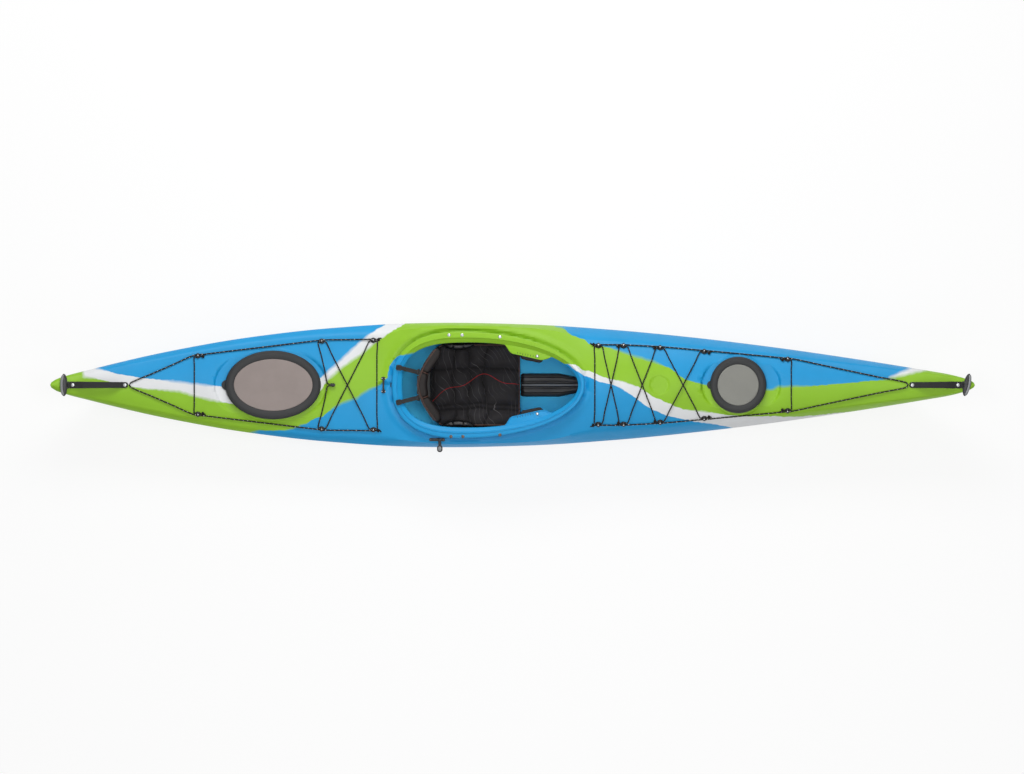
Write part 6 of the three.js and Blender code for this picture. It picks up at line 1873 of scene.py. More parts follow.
@dataclass
class CarryHandle:
    """A screwed webbing strap at one end of the hull, with the T grip that swings on it."""

    name: str
    inner: float
    outer: float
    skew: float = 0.0
    pad_width: float = 0.036
    pad_length: float = 0.03
    band_width: float = 0.029
    thickness: float = 0.005
    rise: float = 0.022
    knuckle: float = 0.0075
    knuckle_width: float = 0.02
    neck: float = 0.017
    depth: float = 0.021
    swell: float = 0.033
    width: float = 0.105
    grip_thickness: float = 0.013
    arm_width: float = 0.006
    pin_radius: float = 0.00325
    highlight_inset: float = 0.0054
    highlight_radius: float = 0.0071
    roll: tuple = (.86, .97, 1, 1, 1, 1, 1, .97, .86)
    screw: tuple = ((0, 0), (.0075, 0), (.0078, .0006), (.0068, .0012), (.0052, .0013), (.005, .0022),
                    (.0036, .0032), (.002, .0035), (.0018, .0024), (0, .0024))

    @property
    def outward(self) -> int:
        """1 at the bow and -1 at the stern."""
        return 1 if self.outer > 0 else -1

    def pivot(self) -> Vector:
        """Axis of the knuckle.

        Returns:
            A point on the axis.
        """
        x = self.outer + self.outward * (self.pad_length / 2 + self.knuckle * 0.6)
        deck = max(float(HULL.deck(x, 0)), float(HULL.deck(x - self.outward * self.knuckle * 2, 0)))
        return Vector((x, 0, deck + self.knuckle + FIT_GAP * 3))

    def strap_stops(self) -> list[tuple[float, float, float]]:
        """Place along, height and width at each stop of the strap.

        Returns:
            The stops, from the inner end to the outer one.
        """
        out, pad = self.outward, self.pad_length
        start, end = self.inner - out * pad / 2, self.outer + out * pad / 2
        narrow, wide = self.band_width, self.pad_width * 0.92
        rows = [(start, 0, narrow * .6), (start + out * pad * .25, 0, narrow * .95), (start + out * pad, 0, narrow),
                (start + out * pad * 1.5, .35, narrow), (start + out * pad * 2.3, .85, narrow),
                ((start + end) / 2, 1, narrow * 1.04), (end - out * pad * 2.3, .85, narrow * 1.1),
                (end - out * pad * 1.5, .35, narrow * 1.17), (end - out * pad, 0, wide), (end, 0, wide)]
        seat = lambda x: float(HULL.deck(x, 0)) + FIT_GAP * 2
        chord = lambda x: seat(start) + (seat(end) - seat(start)) * (x - start) / (end - start)
        up = max(seat(x) - chord(x) for x, _, _ in rows)
        return [(x, chord(x) + up + rise * self.rise, width) for x, rise, width in rows]

    def strap(self) -> None:
        """Makes the webbing strap, its rolled end and its screws."""
        out, pivot = self.outward, self.pivot()
        x, z, width = np.array(self.strap_stops()).T
        route = through_points(np.stack([x, 0 * x, z + self.thickness / 2], axis=1), 0.003)
        bm = bmesh.new()
        widths = np.interp(route[:, 0] * out, x * out, width)
        add_band(bm, route, widths * 0.985, self.thickness * 0.9, (0, 1, 0))
        places = np.linspace(-self.knuckle_width / 2, self.knuckle_width / 2, len(self.roll))
        add_tube(bm, np.array([(pivot.x, y, pivot.z) for y in places]), self.knuckle * np.array(self.roll), 24)
        make_piece(f"{self.name}_strap_webbing", bm, WEBBING, f"{self.name}_carry_strap")
        bm = bmesh.new()
        for spot in (x[0] + out * self.pad_length / 2, x[-1] - out * self.pad_length / 2):
            place = np.interp(spot * out, x * out, z)
            add_lathe(bm, self.screw, move(spot, 0, place + self.thickness * 0.95))
        make_piece(f"{self.name}_strap_screws", bm, STEEL)

    def grip(self) -> None:
        """Makes the T grip: a pin, two arms and a rounded crossbar with shallow finger grooves."""
        outer = self.neck + self.depth
        arm_y = self.knuckle_width / 2 + 0.001 + self.arm_width / 2
        y = np.linspace(-self.width / 2, self.width / 2, 57)
        share = np.abs(y) / (self.width / 2)
        full = np.sqrt(np.clip(1 - share ** 9, 0.012, 1))
        depth = (self.swell * (1 - share ** 2.2) + self.depth * 0.85 * share ** 2.2) * full
        depth = depth * (1 - 0.04 * np.cos(y / self.width * 8 * math.pi) ** 4 * (share < 0.84))
        edge = outer - (self.swell - self.depth * 0.85) * 0.5 * share ** 2.2 - self.depth * 0.2 * (1 - full)
        bar = np.stack([edge - depth / 2 + self.skew * y, y, 0 * y], axis=1)
        bm = bmesh.new()
        add_tube(bm, bar, depth / 2, 28, self.grip_thickness / self.swell)
        reach = outer - self.swell / 2
        for _, side in SIDES:
            at = move(reach / 2, side * arm_y, 0)
            add_box(bm, (reach + self.pin_radius * 2, self.arm_width, self.pin_radius * 2.2), at, 0.0022)
        add_tube(bm, np.array([(0, v, 0) for v in np.linspace(-arm_y, arm_y, 5)]), self.pin_radius, 16)
        pivot = self.pivot()
        climb = float(HULL.deck(pivot.x + self.outward * outer, 0) - HULL.deck(pivot.x, 0))
        at = Matrix.Translation(pivot) @ turned(0 if self.outward > 0 else math.pi, "Z")
        at = at @ turned(-math.atan2(climb, outer), "Y")
        bm.transform(at)
        make_piece(f"{self.name}_t_grip", bm, MOULDING, f"{self.name}_grip", body=f"{self.name}_handle", sharp=50.0)
        # painted highlight: a light grey strip along the grip's outer edge
        face = np.stack([edge - self.highlight_inset + self.skew * y, y * 0.97, 0 * y], axis=1)
        bm = bmesh.new()
        add_tube(bm, face[2:-2], self.highlight_radius * np.sqrt(np.clip(1 - share[2:-2] ** 8, 0.1, 1)), 16, 0.97)
        bm.transform(at)
        make_piece(f"{self.name}_grip_edge_highlight", bm, HIGHLIGHT_GREY, body=f"{self.name}_handle")

    def build(self) -> None:
        """Makes the strap and the grip."""
        self.strap()
        self.grip()


# Seat and backrest


@dataclass
class Seat:
    """The seat's cushion and hip pads."""

    aft: float = -0.394
    fore: float = 0.038
    base: float = 0.0293
    half_width: float = 0.2
    thickness: float = 0.04
    front_rise: float = 0.034
    crown: float = 0.009
    bolster: float = 0.014
    channel: float = 0.0055
    cross_seams: tuple = (-0.379, -0.281, -0.207, -0.131)
    long_seams: tuple = (0.079, -0.095, -0.117)
    puff: float = 0.015
    corner: float = 0.082
    corner_share: float = 0.8
    rear_corner: float = 0.062
    rear_share: float = 1.5
    pan_cut: tuple = ((-0.402, 0.1), (-0.335, 0.2))
    hip_x: float = -0.26
    hip_length: float = 0.158
    hip_bottom: float = 0.096
    hip_height: float = 0.07
    hip_thickness: float = 0.043
    hip_outside: float = 0.2087
    edge_gap: float = 0.008
    piping_gap: float = 0.007
    piping_radius: float = 0.0032
    piping_rise: float = 0.001
    top_steps: int = 74
    side_steps: int = 14

    def inside_pan(self, z: Array) -> Array:
        """Half the width inside the seat pan at a height."""
        return 0.1375 + (0.209 - 0.1375) * np.clip((z - 0.029) / (0.08 - 0.029), 0, 1)

    def half_width_at(self, x: Array) -> Array:
        """Half the cushion's width, drawn in round its front corners and more behind.

        Args:
            x: Places along the hull.

        Returns:
            Half widths.
        """
        past = np.clip(x - (self.fore - self.corner), 0, self.corner)
        short = np.clip(self.aft + self.rear_corner - x, 0, self.rear_corner)
        return (self.half_width - self.corner_share * past ** 2 / self.corner
                - self.rear_share * short ** 2 / self.rear_corner)

    def seam_reach(self, x: Array, y: Array) -> tuple[Array, Array]:
        """Distances to the nearest seam across the cushion and to the nearest one along it.

        Args:
            x: Places along the hull.
            y: Places across the hull.

        Returns:
            Both distances.
        """
        sway_x = 0.0085 * np.sin(y * 21 + 0.8) + 0.004 * np.sin(y * 57)
        sway_y = 0.005 * np.sin(x * 17 + 1.2) + 0.0025 * np.sin(x * 49)
        cross = np.min([np.abs(x - at + sway_x * k) for at, k in zip(self.cross_seams, (0.3, 1, -0.8, 1.3))]
                       + [np.abs(x - self.aft), np.abs(x - self.fore)], axis=0)
        edge = np.abs(self.half_width_at(x) - np.abs(y))
        return cross, np.min([np.abs(y - at + sway_y) for at in self.long_seams] + [edge], axis=0)

    def top(self, x: Array, y: Array) -> Array:
        """Height of the cushion's upper face.

        Args:
            x: Places along the hull.
            y: Places across the hull.

        Returns:
            Heights.
        """
        along = np.clip((x - self.aft) / (self.fore - self.aft), 0, 1)
        side = np.clip(y / (self.half_width_at(x) - self.edge_gap), -1, 1)
        z = self.base + self.thickness + self.front_rise * smoothstep(along, 0.35, 0.95)
        z = z + self.crown * (1 - side ** 4) + self.bolster * np.abs(side) ** 3
        cross, long = self.seam_reach(x, y)
        middle = bump(np.clip((x + 0.205) / 0.16, -1, 1))
        puff = self.puff * (0.55 + 0.6 * middle) * (1 - np.exp(-cross / 0.017)) * (1 - np.exp(-long / 0.021))
        pull = np.sin(y * 190 + np.sin(x * 40) * 3) * np.exp(-cross / 0.016) * 0.0011
        pull += np.sin(x * 170 + np.sin(y * 37) * 3) * np.exp(-long / 0.018) * 0.0011
        folds = np.sin(x * 61 + np.sin(y * 23) * 2) * np.sin(y * 47 + x * 19) * 0.0016
        folds += np.sin(x * 23 - y * 31 + np.sin(y * 50) * 1.4) * 0.0012
        slant = np.sin((x * 0.8 + y * 0.6) * 74 + np.sin(x * 33 - y * 12) * 1.3)
        folds += slant * 0.0019 * (0.35 + 0.65 * np.sin(x * 19 + 1) * np.sin(y * 15 + 2))
        seam = np.maximum(np.exp(-cross / 0.004), np.exp(-long / 0.004))
        ends = np.minimum(x - self.aft, self.fore - x)
        drop = 0.012 * (1 - np.clip(ends / 0.02, 0, 1)) ** 2
        return z - self.puff * 0.7 - self.channel * 0.5 * seam - drop + folds + pull + puff

    def pan(self) -> None:
        """Makes the moulded pan, cut in behind where the backrest's ends come down."""
        bm = bmesh.new()
        bm.from_mesh(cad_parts["seat_pan"].data)
        bmesh.ops.remove_doubles(bm, verts=bm.verts[:], dist=1e-6)
        (aft, near), (fore, far) = self.pan_cut
        for _, side in SIDES:
            cut = bmesh.ops.bisect_plane(bm, geom=bm.verts[:] + bm.edges[:] + bm.faces[:], dist=1e-6,
                                         plane_co=(aft, side * near, 0), plane_no=(near - far, side * (fore - aft), 0),
                                         clear_outer=True)
            rim = [g for g in cut["geom_cut"] if isinstance(g, bmesh.types.BMEdge)]
            bmesh.ops.holes_fill(bm, edges=rim, sides=0)
        bmesh.ops.dissolve_limit(bm, angle_limit=math.radians(0.5), verts=bm.verts[:], edges=bm.edges[:])
        make_piece("seat_pan_moulding", bm, MOULDING, "seat_pan", sharp=25.0)

    def cushion(self) -> None:
        """Makes the cushion."""
        columns = self.top_steps + self.side_steps

        def place(u: Array, v: Array) -> Array:
            """Points of the cover: across its upper face, down a side, under and up again.

            Args:
                u: Shares of the way along, from 0 to 1.
                v: Shares of the way round, from 0 to 1.

            Returns:
                Points, one row each.
            """
            x = self.aft + (self.fore - self.aft) * u
            width = self.half_width_at(x)
            column = whole(v * columns)
            side = np.clip(1 - 2 * column / self.top_steps, -1, 1)
            side = np.sign(side) * (1 - (1 - np.abs(side)) ** 1.25)
            y = side * (width - self.edge_gap)
            z = self.top(x, y)
            under = column > self.top_steps
            around = np.clip((column - self.top_steps) / self.side_steps, 0, 1)
            edge = self.top(x, width - self.edge_gap)
            level = np.where(around < 0.5, 1 - around * 2, around * 2 - 1)
            flank_z = self.base + (edge - self.base) * np.clip(level * 1.05, 0, 1)
            bulge = np.minimum(width, self.inside_pan(flank_z) - 0.0009)
            flank_y = np.where(around < 0.5, -1, 1) * bulge
            flank_y = np.where((around > 0.42) & (around < 0.58), flank_y * np.abs(around - 0.5) / 0.08, flank_y)
            return np.stack([x, np.where(under, flank_y, y), np.where(under, flank_z, z)], axis=1)

        obj = grid_object("seat_cushion_cover", 150, columns, place, cap=True, sharp=60.0)
        x, y, _ = points_of(obj).T
        turn, ripple = (x + 0.32) * 8.0, x * 34
        wave = -0.035 + 0.075 * np.sin(turn) + 0.014 * np.sin(ripple)
        climb = 0.6 * np.cos(turn) + 0.476 * np.cos(ripple)
        write_attribute(obj, "accent_run", (y - wave) / np.hypot(1, climb))
        # seam_reach drives the painted shade in the seams and the painted highlight on the puffs of the seat cloth
        write_attribute(obj, "seam_reach", np.minimum(*self.seam_reach(x, y)))
        finish_piece(obj, SEAT_CLOTH, "seat_cushion")

    def piping(self) -> None:
        """Makes the piping along the cushion's front and both its sides."""
        x = np.linspace(self.fore - 0.006, self.aft + 0.01, 60)
        routes = [np.stack([x, side * (self.half_width_at(x) - self.piping_gap),
                            self.top(x, side * (self.half_width_at(x) - self.edge_gap)) + self.piping_rise], axis=1)
                  for _, side in SIDES]
        front = np.array(self.fore - 0.004)
        y = np.linspace(-1, 1, 41) * (self.half_width_at(front) - 0.004)
        lift = self.top(front + 0 * y, y) + self.piping_rise
        bm = bmesh.new()
        for route in (np.stack([0 * y + self.fore - 0.0045, y, lift], axis=1), *routes):
            add_tube(bm, route, self.piping_radius, 10)
        make_piece("seat_piping", bm, PIPING)

    def hip_pad(self, word: str, side: int) -> None:
        """Makes one hip pad: a plump roll with two stitched creases.

        Args:
            word: The side, as the names have it.
            side: 1 for port and -1 for starboard.
        """

        def place(u: Array, v: Array) -> Array:
            """Points of the roll.

            Args:
                u: Shares of the way along, from 0 to 1.
                v: Shares of the way round, from 0 to 1.

            Returns:
                Points, one row each.
            """
            angle = v * 2 * math.pi
            swell = np.sin(math.pi * (0.03 + u * 0.94)) ** 0.42
            crease = sum(np.exp(-np.abs(u - s) / 0.02) for s in (0.33, 0.67)) * 0.1
            swell = swell * (1 - crease)
            inward = (1 + np.cos(angle)) / 2
            x = self.hip_x + (u - 0.5) * self.hip_length
            y = side * (self.hip_outside - inward * self.hip_thickness * swell)
            z = self.hip_bottom + self.hip_height / 2 * (1 + np.sin(angle) * swell)
            return np.stack([x, y, z], axis=1)

        obj = grid_object(f"{word}_hip_roll", 64, 36, place, cap=True, sharp=60.0)
        finish_piece(obj, SIDE_ROLL, f"{word}_hip_pad")

    def build(self) -> None:
        """Makes the pan, the cushion, its piping and both hip pads."""
        self.pan()
        self.cushion()
        self.piping()
        for word, side in SIDES:
            self.hip_pad(word, side)


@dataclass
class Backrest:
    """The padded band behind the seat with its straps and buckles."""

    crest_x: float = -0.458
    end_x: float = -0.362
    half_width: float = 0.19
    bottom: float = 0.122
    end_bottom: float = 0.212
    crest_top: float = 0.296
    offset: float = 0.0046
    thickness: float = 0.046
    segment_seams: tuple = (0.36, -0.36)
    section: tuple = ((0, .22), (.45, .2), (.68, .34), (.7, .5), (.58, .62), (.82, .72), (1, .86), (.84, .97),
                      (.42, 1), (.06, .96), (0, .6))
    strap_width: float = 0.02
    strap_thickness: float = 0.0025
    crest_y: float = 0.062
    anchor: tuple = (-0.557, 0.086)
    shell_height: float = 0.262
    slat: tuple = (0.0042, 0.026, 0.0042)
    slat_pitch: float = 0.0085
    rail: tuple = (0.0212, 0.0034, 0.0036)
    rail_reach: float = 0.0115
    crest_buckle: tuple = (0.02, 0.026, 0.007)
    piping_radius: float = 0.0026
    seam_radius: float = 0.0022

    def line(self, side: Array) -> tuple[Array, Array]:
        """Place on the shell's front, seen from above, for a share across it from -1 to 1."""
        bow = 1 - np.abs(side) ** 1.7
        return self.end_x + (self.crest_x - self.end_x) * bow, side * self.half_width

    def at(self, side: Array, depth: Array, height: Array) -> Array:
        """A place in the pad, by shares across, through and up it.

        Args:
            side: Shares across it, from -1 to 1.
            depth: Shares through it, from 0 at the shell.
            height: Shares up it, from 0 to 1.

        Returns:
            Points, one row each.
        """
        x, y = self.line(side)
        ax, ay = self.line(side + 0.02)
        run = np.hypot(ax - x, ay - y)
        fx, fy = (ay - y) / run, -(ax - x) / run
        low = self.bottom + (self.end_bottom - self.bottom) * np.abs(side) ** 2.5
        high = self.crest_top - (self.crest_top - self.end_bottom) * 0.25 * side ** 4
        end = 1 - 0.35 * np.clip(np.abs(side) - 0.85, 0, 1) / 0.15
        out = self.offset + depth * self.thickness * end
        return np.stack([x + fx * out, y + fy * out, low + (high - low) * height], axis=1)

    def pad(self) -> None:
        """Makes the padded band and its piping."""
        ring = through_points(self.section, 0.06, closed=True)
        middle_depth, middle_height = 0.3, 0.55

        def place(u: Array, v: Array) -> Array:
            """Points of the band.

            Args:
                u: Shares of the way along, from 0 to 1.
                v: Shares of the way round, from 0 to 1.

            Returns:
                Points, one row each.
            """
            side = 1 - 2 * u
            k = whole(v * len(ring)) % len(ring)
            depth, height = ring[k].T
            pinch = sum(np.exp(-np.abs(side - s) / 0.028) for s in self.segment_seams)
            round_off = np.sqrt(np.clip(1 - np.clip((np.abs(side) - 0.94) / 0.06, 0, 1) ** 2, 0.05, 1))
            puff = 0.96 + 0.04 * np.cos(side * math.pi * 2.8)
            depth = depth * (1 - 0.4 * pinch) * puff
            height = height - 0.07 * pinch * (height > 0.7)
            height = middle_height + (height - middle_height) * round_off
            depth = middle_depth + (depth - middle_depth) * (0.35 + 0.65 * round_off)
            wrinkle = 0.012 * np.sin(side * 70) * np.sin(v * 2 * math.pi * 3)
            return self.at(side, np.clip(depth + wrinkle, 0, 1), height)

        obj = grid_object("backrest_cover", 150, len(ring), place, cap=True, sharp=70.0)
        finish_piece(obj, ROLL_COVER, "backrest_pad", body="backrest")
        side = np.linspace(0.93, -0.93, 80)
        rim = self.at(side, np.full_like(side, 0.1), np.full_like(side, 0.985))
        bm = bmesh.new()
        add_tube(bm, rim, self.piping_radius, 10)
        for seam in self.segment_seams:
            run = np.vstack([self.at(*np.array([[seam], [depth * 0.8], [height]]))
                             for depth, height in self.section[3:10]])
            add_tube(bm, through_points(run, 0.004), self.seam_radius, 10)
        make_piece("backrest_piping", bm, PIPING, body="backrest")

    def strap(self, word: str, side: int) -> None:
        """Makes one strap from the coaming to the shell's back, and its buckle.

        Args:
            word: The side, as the names have it.
            side: 1 for port and -1 for starboard.
        """
        ax, ay = self.anchor
        z = float(COAMING.height(ax)) + 0.004 + self.strap_thickness * 1.5
        share = side * self.crest_y / self.half_width
        end_x = float(self.line(np.array(share))[0])
        edge_x, edge_y = ax + 0.034, ay - 0.007
        lift = self.strap_thickness / 2
        stops = [(ax, side * ay, z), (edge_x, side * edge_y, z + 0.0006),
                 (edge_x + 0.014, side * (edge_y - 0.004), z - 0.0045),
                 (end_x - 0.010, side * self.crest_y, self.shell_height + 0.004 + lift),
                 (end_x - 0.0018, side * self.crest_y, self.shell_height + lift)]
        bm = bmesh.new()
        route = through_points(stops, 0.004)
        add_band(bm, route, self.strap_width, self.strap_thickness, (side * 0.2, 1, 0))
        strap = make_piece(f"{word}_back_strap", bm, WEBBING, f"{word}_backrest_strap", bends=True)
        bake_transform(strap)
        bm = bmesh.new()
        at = move(ax + 0.014, side * (ay - 0.003), z + 0.0022) @ turned(-0.2 * side, "Z")
        for way in (-1, 0, 1):
            add_box(bm, self.slat, at @ move(way * self.slat_pitch, 0, 0), 0.0014)
        for way in (-1, 1):
            add_box(bm, self.rail, at @ move(0, way * self.rail_reach, 0), 0.0012)
        make_piece(f"{word}_strap_buckle", bm, MOULDING)
        bm = bmesh.new()
        at = move(end_x - 0.006, side * self.crest_y, self.shell_height + 0.006)
        at = at @ turned(0.35 * side, "Z") @ turned(0.4, "Y")
        add_box(bm, self.crest_buckle, at, 0.0022)
        make_piece(f"{word}_crest_buckle", bm, MOULDING, body="backrest")

    def build(self) -> None:
        """Makes the band and both straps."""
        self.pad()
        for word, side in SIDES:
            self.strap(word, side)


# Cockpit hardware and control


@dataclass
class ThighBrace:
    """A soft pad under the coaming's tab, held by a bolt in its slot."""

    word: str
    side: int
    fore: tuple = (0.12, 0.138)
    aft: tuple = (0.026, 0.157)
    length: float = 0.112
    width: float = 0.044
    thickness: float = 0.02
    lead: float = 0.024
    bolt_radius: float = 0.007
    bolt_height: float = 0.005

    def build(self) -> None:
        """Makes the pad and the bolt."""
        turn = math.atan2(self.side * (self.fore[1] - self.aft[1]), self.fore[0] - self.aft[0])
        low = -COAMING.flange_drop - COAMING.flange_thickness - FIT_GAP - self.thickness
        at = COAMING.matrix(self.fore[0], self.side * self.fore[1], low) @ turned(turn, "Z")
        at = at @ move(-self.lead, -self.side * self.width / 6, 0)
        bm = bmesh.new()
        add_plate(bm, rounded_outline(self.length, self.width, self.width * 0.45, 10), self.thickness, at, 0.007, 5)
        body = f"{self.word}_thigh_brace"
        pad = make_piece(f"{self.word}_thigh_cushion", bm, ROLL_COVER, f"{self.word}_thigh_pad", body=body, sharp=60.0)
        bm = bmesh.new()
        at = COAMING.matrix(self.fore[0], self.side * self.fore[1], -COAMING.flange_drop)
        r, h = self.bolt_radius, self.bolt_height
        add_lathe(bm, [(0, -.014), (.003, -.014), (.003, .0003), (r, .0003), (r, h * .5), (r * .8, h * .85),
                       (r * .45, h), (r * .4, h * .6), (0, h * .6)], at, 20)
        make_piece(f"{self.word}_thigh_bolt_head", bm, STEEL, f"{self.word}_thigh_bolt", body=body)


@dataclass
class Hardware:
    """Security bar, skeg control and the runner along the cockpit floor."""

    bar_x: float = -0.617
    bar_span: float = 0.062
    bar_rise: float = 0.016
    bar_radius: float = 0.004
    bar_screw_reach: float = 0.0075
    bar_screw: tuple = ((0, 0), (.0026, 0), (.0026, .0004), (.0018, .0012), (.001, .0014), (.0009, .0008), (0, .0008))
    foot: tuple = (0.022, 0.017, 0.003)
    lead_x: float = -0.36
    lead_y: float = 0.262
    lead_size: tuple = (0.076, 0.015, 0.006)
    lead_screw_reach: float = 0.031
    lead_screw: tuple = ((0, 0), (.0036, 0), (.0036, .0005), (.0026, .0014), (.0013, .0017), (.0012, .001), (0, .001))
    boss_x: float = -0.346
    boss: tuple = (0.016, 0.015, 0.015)
    offset: float = 0.009
    stem: tuple = (0.0072, 0.018)
    knob: tuple = (0.026, 0.034, 0.014)
    cord_radius: float = 0.003
    cord_blend: tuple = (-0.0002, 0.0009)
    runner: tuple = (0.042, 0.228, 0.308, 0.62)
    runner_widths: tuple = (0.113, 0.113, 0.078, 0.078)
    runner_top: float = 0.037
    runner_section: tuple = ((.12, 1), (.18, .95), (.21, .68), (.28, .68), (.32, .9), (.4, .93), (.62, .92),
                             (.66, .84), (.7, .91), (.85, .88), (.93, .82), (.97, .62), (1, .3))
    runner_ease: float = 0.02
    ridge: tuple = (0.008, 0.008, 0.0016)

    def security_bar(self) -> None:
        """Makes the bent bar on its two screwed feet."""
        half, rise = self.bar_span / 2, self.bar_rise
        low = FIT_GAP * 2 - float(HULL.deck(self.bar_x, 0) - HULL.deck(self.bar_x, half))
        at = HULL.middle_frame(self.bar_x)
        route = through_points(mirrored([(0, half, low + .003), (0, half, rise * .55),
                                         (0, half - rise * .22, rise * .88), (0, half - rise * .6, rise)]), 0.002)
        length, width, thick = self.foot
        bar, screws = bmesh.new(), bmesh.new()
        add_tube(bar, route, self.bar_radius * 1.12, 20)
        for _, side in SIDES:
            add_plate(bar, rounded_outline(length, width, length * 0.37), thick, move(0, side * half, low), .0009)
            for way in (1, -1):
                spot = at @ move(way * self.bar_screw_reach, side * half, low + thick)
                add_lathe(screws, self.bar_screw, spot, 16)
        bar.transform(at)
        make_piece("security_bar_rod", bar, MOULDING, "security_bar")
        make_piece("security_bar_screws", screws, STEEL)

    def control_matrix(self) -> Matrix:
        """Frame of the skeg control on the deck's edge."""
        return HULL.deck_frame(self.lead_x + self.offset, -self.lead_y)

    def boss_frame(self) -> Matrix:
        """Frame in the middle of the fairlead's boss."""
        along = self.boss_x - self.lead_x - self.offset
        return self.control_matrix() @ move(along, 0, self.lead_size[2] + self.boss[2] / 2)

    def fairlead(self) -> None:
        """Makes the fairlead with its boss, and its screws."""
        at = self.control_matrix() @ move(-self.offset, 0, 0)
        length, width, thick = self.lead_size
        bm = bmesh.new()
        add_plate(bm, rounded_outline(length, width, width * .45), thick, at, 0.0018)
        add_box(bm, self.boss, self.boss_frame() @ move(0, 0, -FIT_GAP), 0.0032, 4)
        make_piece("skeg_fairlead_body", bm, MOULDING, "skeg_fairlead")
        bm = bmesh.new()
        for way in (-1, 1):
            add_lathe(bm, self.lead_screw, at @ move(way * self.lead_screw_reach, 0, thick), 18)
        # the fairlead's screws sit on the starboard side and take the darker steel: painted shade
        make_piece("fairlead_screws", bm, SHADED_STEEL)

    def toggle(self) -> None:
        """Makes the toggle on its stem, its cord and the light grey patch on its top, a painted highlight."""
        face = self.boss_frame() @ move(0, -self.lead_size[1] / 2 - FIT_GAP * 2, 0) @ turned(math.pi / 2, "X")
        r, run = self.stem
        wide, long, deep = self.knob
        middle = face @ move(0, 0, run + long / 2 - 0.0012) @ turned(-math.pi / 2, "X")
        bm = bmesh.new()
        add_lathe(bm, [(0, 0), (r * .9, 0), (r, .001), (r, run * .3), (r * .9, run * .36), (r, run * .42),
                       (r, run * .9), (r * .8, run), (0, run)], face, 24)
        add_plate(bm, rounded_outline(wide, long, wide * 0.46, 10), deep, middle @ move(0, 0, -deep / 2), 0.004, 4)
        make_piece("skeg_pull_toggle", bm, MOULDING, "skeg_toggle", body="skeg_pull", sharp=50.0)
        bm = bmesh.new()
        on_axis = lambda height: face @ Vector((0, 0, height))
        steps = np.linspace(-0.006, run * 0.5, 40)
        add_tube(bm, np.array([on_axis(height) for height in steps]), self.cord_radius, 16)
        cord = make_piece("skeg_pull_cord", bm, LINE_CORD, "skeg_cord", bends=True)
        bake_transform(cord)
        bm = bmesh.new()
        # painted highlight: a thin light grey patch on the toggle's top
        top_highlight = rounded_outline(wide * 0.58, long * 0.62, wide * 0.28)
        add_plate(bm, top_highlight, 0.0006, middle @ move(0, 0, deep / 2 - 0.0004), 0.0002, 2)
        make_piece("toggle_top_highlight", bm, HIGHLIGHT_GREY, body="skeg_pull")

    def floor_runner(self) -> None:
        """Makes the ribbed runner along the cockpit floor, highest along its middle, with a light grey strip along its
        top as a painted highlight.
        """
        start, end = self.runner[0], self.runner[-1]
        profile = np.array([*((-across, up) for across, up in reversed(self.runner_section)), *self.runner_section,
                            (0, .3)])

        def place(u: Array, v: Array) -> Array:
            """Points of the runner.

            Args:
                u: Shares of the way along, from 0 to 1.
                v: Shares of the way round, from 0 to 1.

            Returns:
                Points, one row each.
            """
            x = start + (end - start) * u
            width = np.interp(x, self.runner, self.runner_widths) / 2
            y, z = profile[whole(v * len(profile)) % len(profile)].T
            ease = np.clip(np.minimum(u, 1 - u) / self.runner_ease, 0.0, 1) ** 0.5
            return np.stack([x, y * width * (0.9 + 0.1 * ease), self.runner_top * z * (0.75 + 0.25 * ease)], axis=1)

        obj = grid_object("cockpit_floor_runner", 60, len(profile), place, cap=True, sharp=40.0)
        finish_piece(obj, RAIL_MOULDING, "keel_stiffener")
        # painted highlight: a thin light grey strip along the top of the runner
        bm = bmesh.new()
        inset, width, thick = self.ridge
        add_box(bm, (end - start - inset, width, thick), move((start + end) / 2, 0, self.runner_top), 0.0007, 2)
        make_piece("runner_ridge_highlight", bm, RIDGE_HIGHLIGHT)

    def build(self) -> None:
        """Makes all of it, and dresses the frame's own parts that stay."""
        self.security_bar()
        self.fairlead()
        self.toggle()
        self.floor_runner()
        kept = {
            FOAM: ("rear_bulkhead", "front_bulkhead"), BLADE: ("skeg_blade",), STEEL: ("skeg_pivot_pin",),
            MOULDING: ("skeg_line_tube", "backrest_shell", "port_foot_rail", "starboard_foot_rail",
                       "port_foot_pedal", "starboard_foot_pedal", "skeg_box"),
        }
        for finish, names in kept.items():
            for name in names:
                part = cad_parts[name]
                part.data.materials.clear()
                part.data.materials.append(finish.material())
                LOG.info("%s keeps its own shape", name)


# Studio


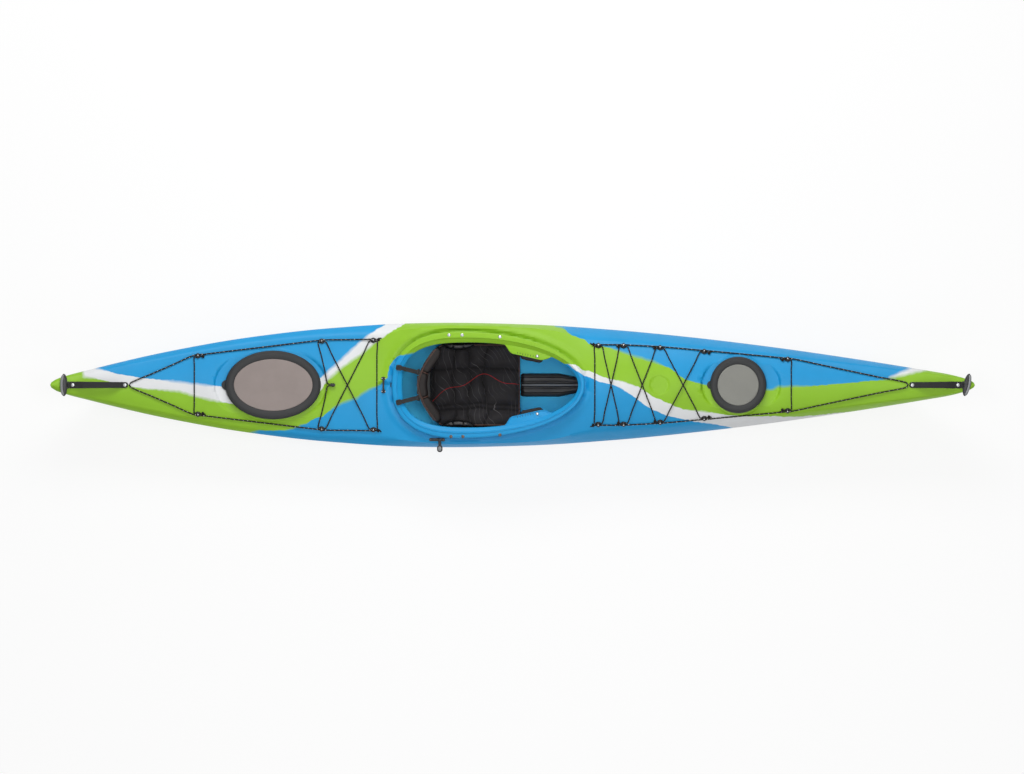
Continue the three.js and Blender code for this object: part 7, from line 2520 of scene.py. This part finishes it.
@dataclass
class Studio:
    """Camera, lights, world and floor."""

    frame_width: float = 4.904
    centre: tuple = (-0.0012, -0.0096, 0.3)
    lens: float = 300.0
    sensor: float = 36.0
    floor_size: float = 24.0
    world_strength: float = 0.29
    aim: tuple = (0, 0, 0.2)
    floor_shade: float = 0.95
    floor_glow: float = 0.86
    lights: tuple = (("key", (-0.4, 4.6, 4.0), (4.6, 1.6), 215.0), ("fill", (0.5, -4.0, 5.0), (5.0, 3.0), 62.0),
                     ("top", (0.1, 0.1, 6.5), (3.0, 1.6), 112.0))

    def camera(self) -> None:
        """Puts the camera straight above, with the bow to the right."""
        data = bpy.data.cameras.new("camera")
        data.lens, data.sensor_width, data.clip_end = self.lens, self.sensor, 200.0
        obj = bpy.data.objects.new("camera", data)
        away = self.frame_width * self.lens / self.sensor
        obj.location = Vector(self.centre) + Vector((0, 0, away))
        bpy.context.scene.collection.objects.link(obj)
        bpy.context.scene.camera = obj

    def area(self, name: str, at: Sequence[float], size: tuple[float, float], power: float) -> None:
        """Adds a soft box that faces the hull's middle.

        Args:
            name: Name of the light.
            at: Where it hangs.
            size: Its two sides.
            power: Power in watts.
        """
        data = bpy.data.lights.new(name, "AREA")
        data.shape, data.size, data.size_y, data.energy = "RECTANGLE", size[0], size[1], power
        obj = bpy.data.objects.new(name, data)
        obj.location = at
        obj.rotation_mode = "QUATERNION"
        obj.rotation_quaternion = (Vector(self.aim) - Vector(at)).to_track_quat("-Z", "Y")
        bpy.context.scene.collection.objects.link(obj)

    def white_share(self, g: Graph) -> Socket:
        """1 for rays that see the background straight, in gloss or through glass.

        Args:
            g: The node tree that takes it.

        Returns:
            The share.
        """
        path = g.add("ShaderNodeLightPath")
        seen = g.math("MAXIMUM", path.outputs["Is Camera Ray"], path.outputs["Is Glossy Ray"])
        return g.math("MAXIMUM", seen, path.outputs["Is Transmission Ray"])

    def world(self) -> None:
        """A pale even world that shows white behind the hull."""
        world = bpy.data.worlds.new("studio")
        world.use_nodes = True
        bpy.context.scene.world = world
        g = Graph(world.node_tree)
        strength = g.ramp(self.white_share(g), 0.0, 1.0, self.world_strength, 1.0)
        back = world.node_tree.nodes["Background"]
        back.inputs["Color"].default_value = (1, 1, 1, 1)
        g.tree.links.new(strength, back.inputs["Strength"])

    def floor(self) -> None:
        """A pale floor that keeps a soft shadow."""
        bm = bmesh.new()
        bmesh.ops.create_grid(bm, x_segments=1, y_segments=1, size=self.floor_size / 2)
        floor = object_of("floor", bm)
        material = bpy.data.materials.new("Pale floor")
        material.use_nodes = True
        g = Graph(material.node_tree)
        shader = material.node_tree.nodes["Principled BSDF"]
        shader.inputs["Base Color"].default_value = (*[self.floor_shade] * 3, 1)
        shader.inputs["Roughness"].default_value = 0.9
        glow = g.add("ShaderNodeEmission", {"Strength": 1.0})
        share = g.math("MULTIPLY", self.white_share(g), self.floor_glow)
        mixed = g.add("ShaderNodeMixShader", {0: share, 1: shader.outputs[0], 2: glow.outputs[0]})
        out = next(n for n in material.node_tree.nodes if n.type == "OUTPUT_MATERIAL")
        g.tree.links.new(mixed.outputs[0], out.inputs["Surface"])
        floor.data.materials.append(material)

    def build(self) -> None:
        """Sets up the studio."""
        bpy.context.scene.view_settings.view_transform = "Standard"
        self.camera()
        self.world()
        self.floor()
        for light in self.lights:
            self.area(*light)


SHELL = Shell()


def main() -> None:
    """Builds the scene: camera and cords first, then each sub-assembly."""
    logging.basicConfig(level=logging.INFO, format="%(name)s: %(message)s")
    Studio().build()
    lines = DeckLines()
    lines.build_cords()
    SHELL.build()
    COAMING.build()
    for hatch in HATCHES:
        HatchSet(hatch).build()
    Seat().build()
    Backrest().build()
    for word, side in SIDES:
        ThighBrace(word, side).build()
    Hardware().build()
    lines.build_fittings()
    CarryHandle("stern", -1.855, -2.103).build()
    CarryHandle("bow", 1.913, 2.13, 0.21).build()
    bpy.context.view_layer.update()


if __name__ == "__main__":
    main()
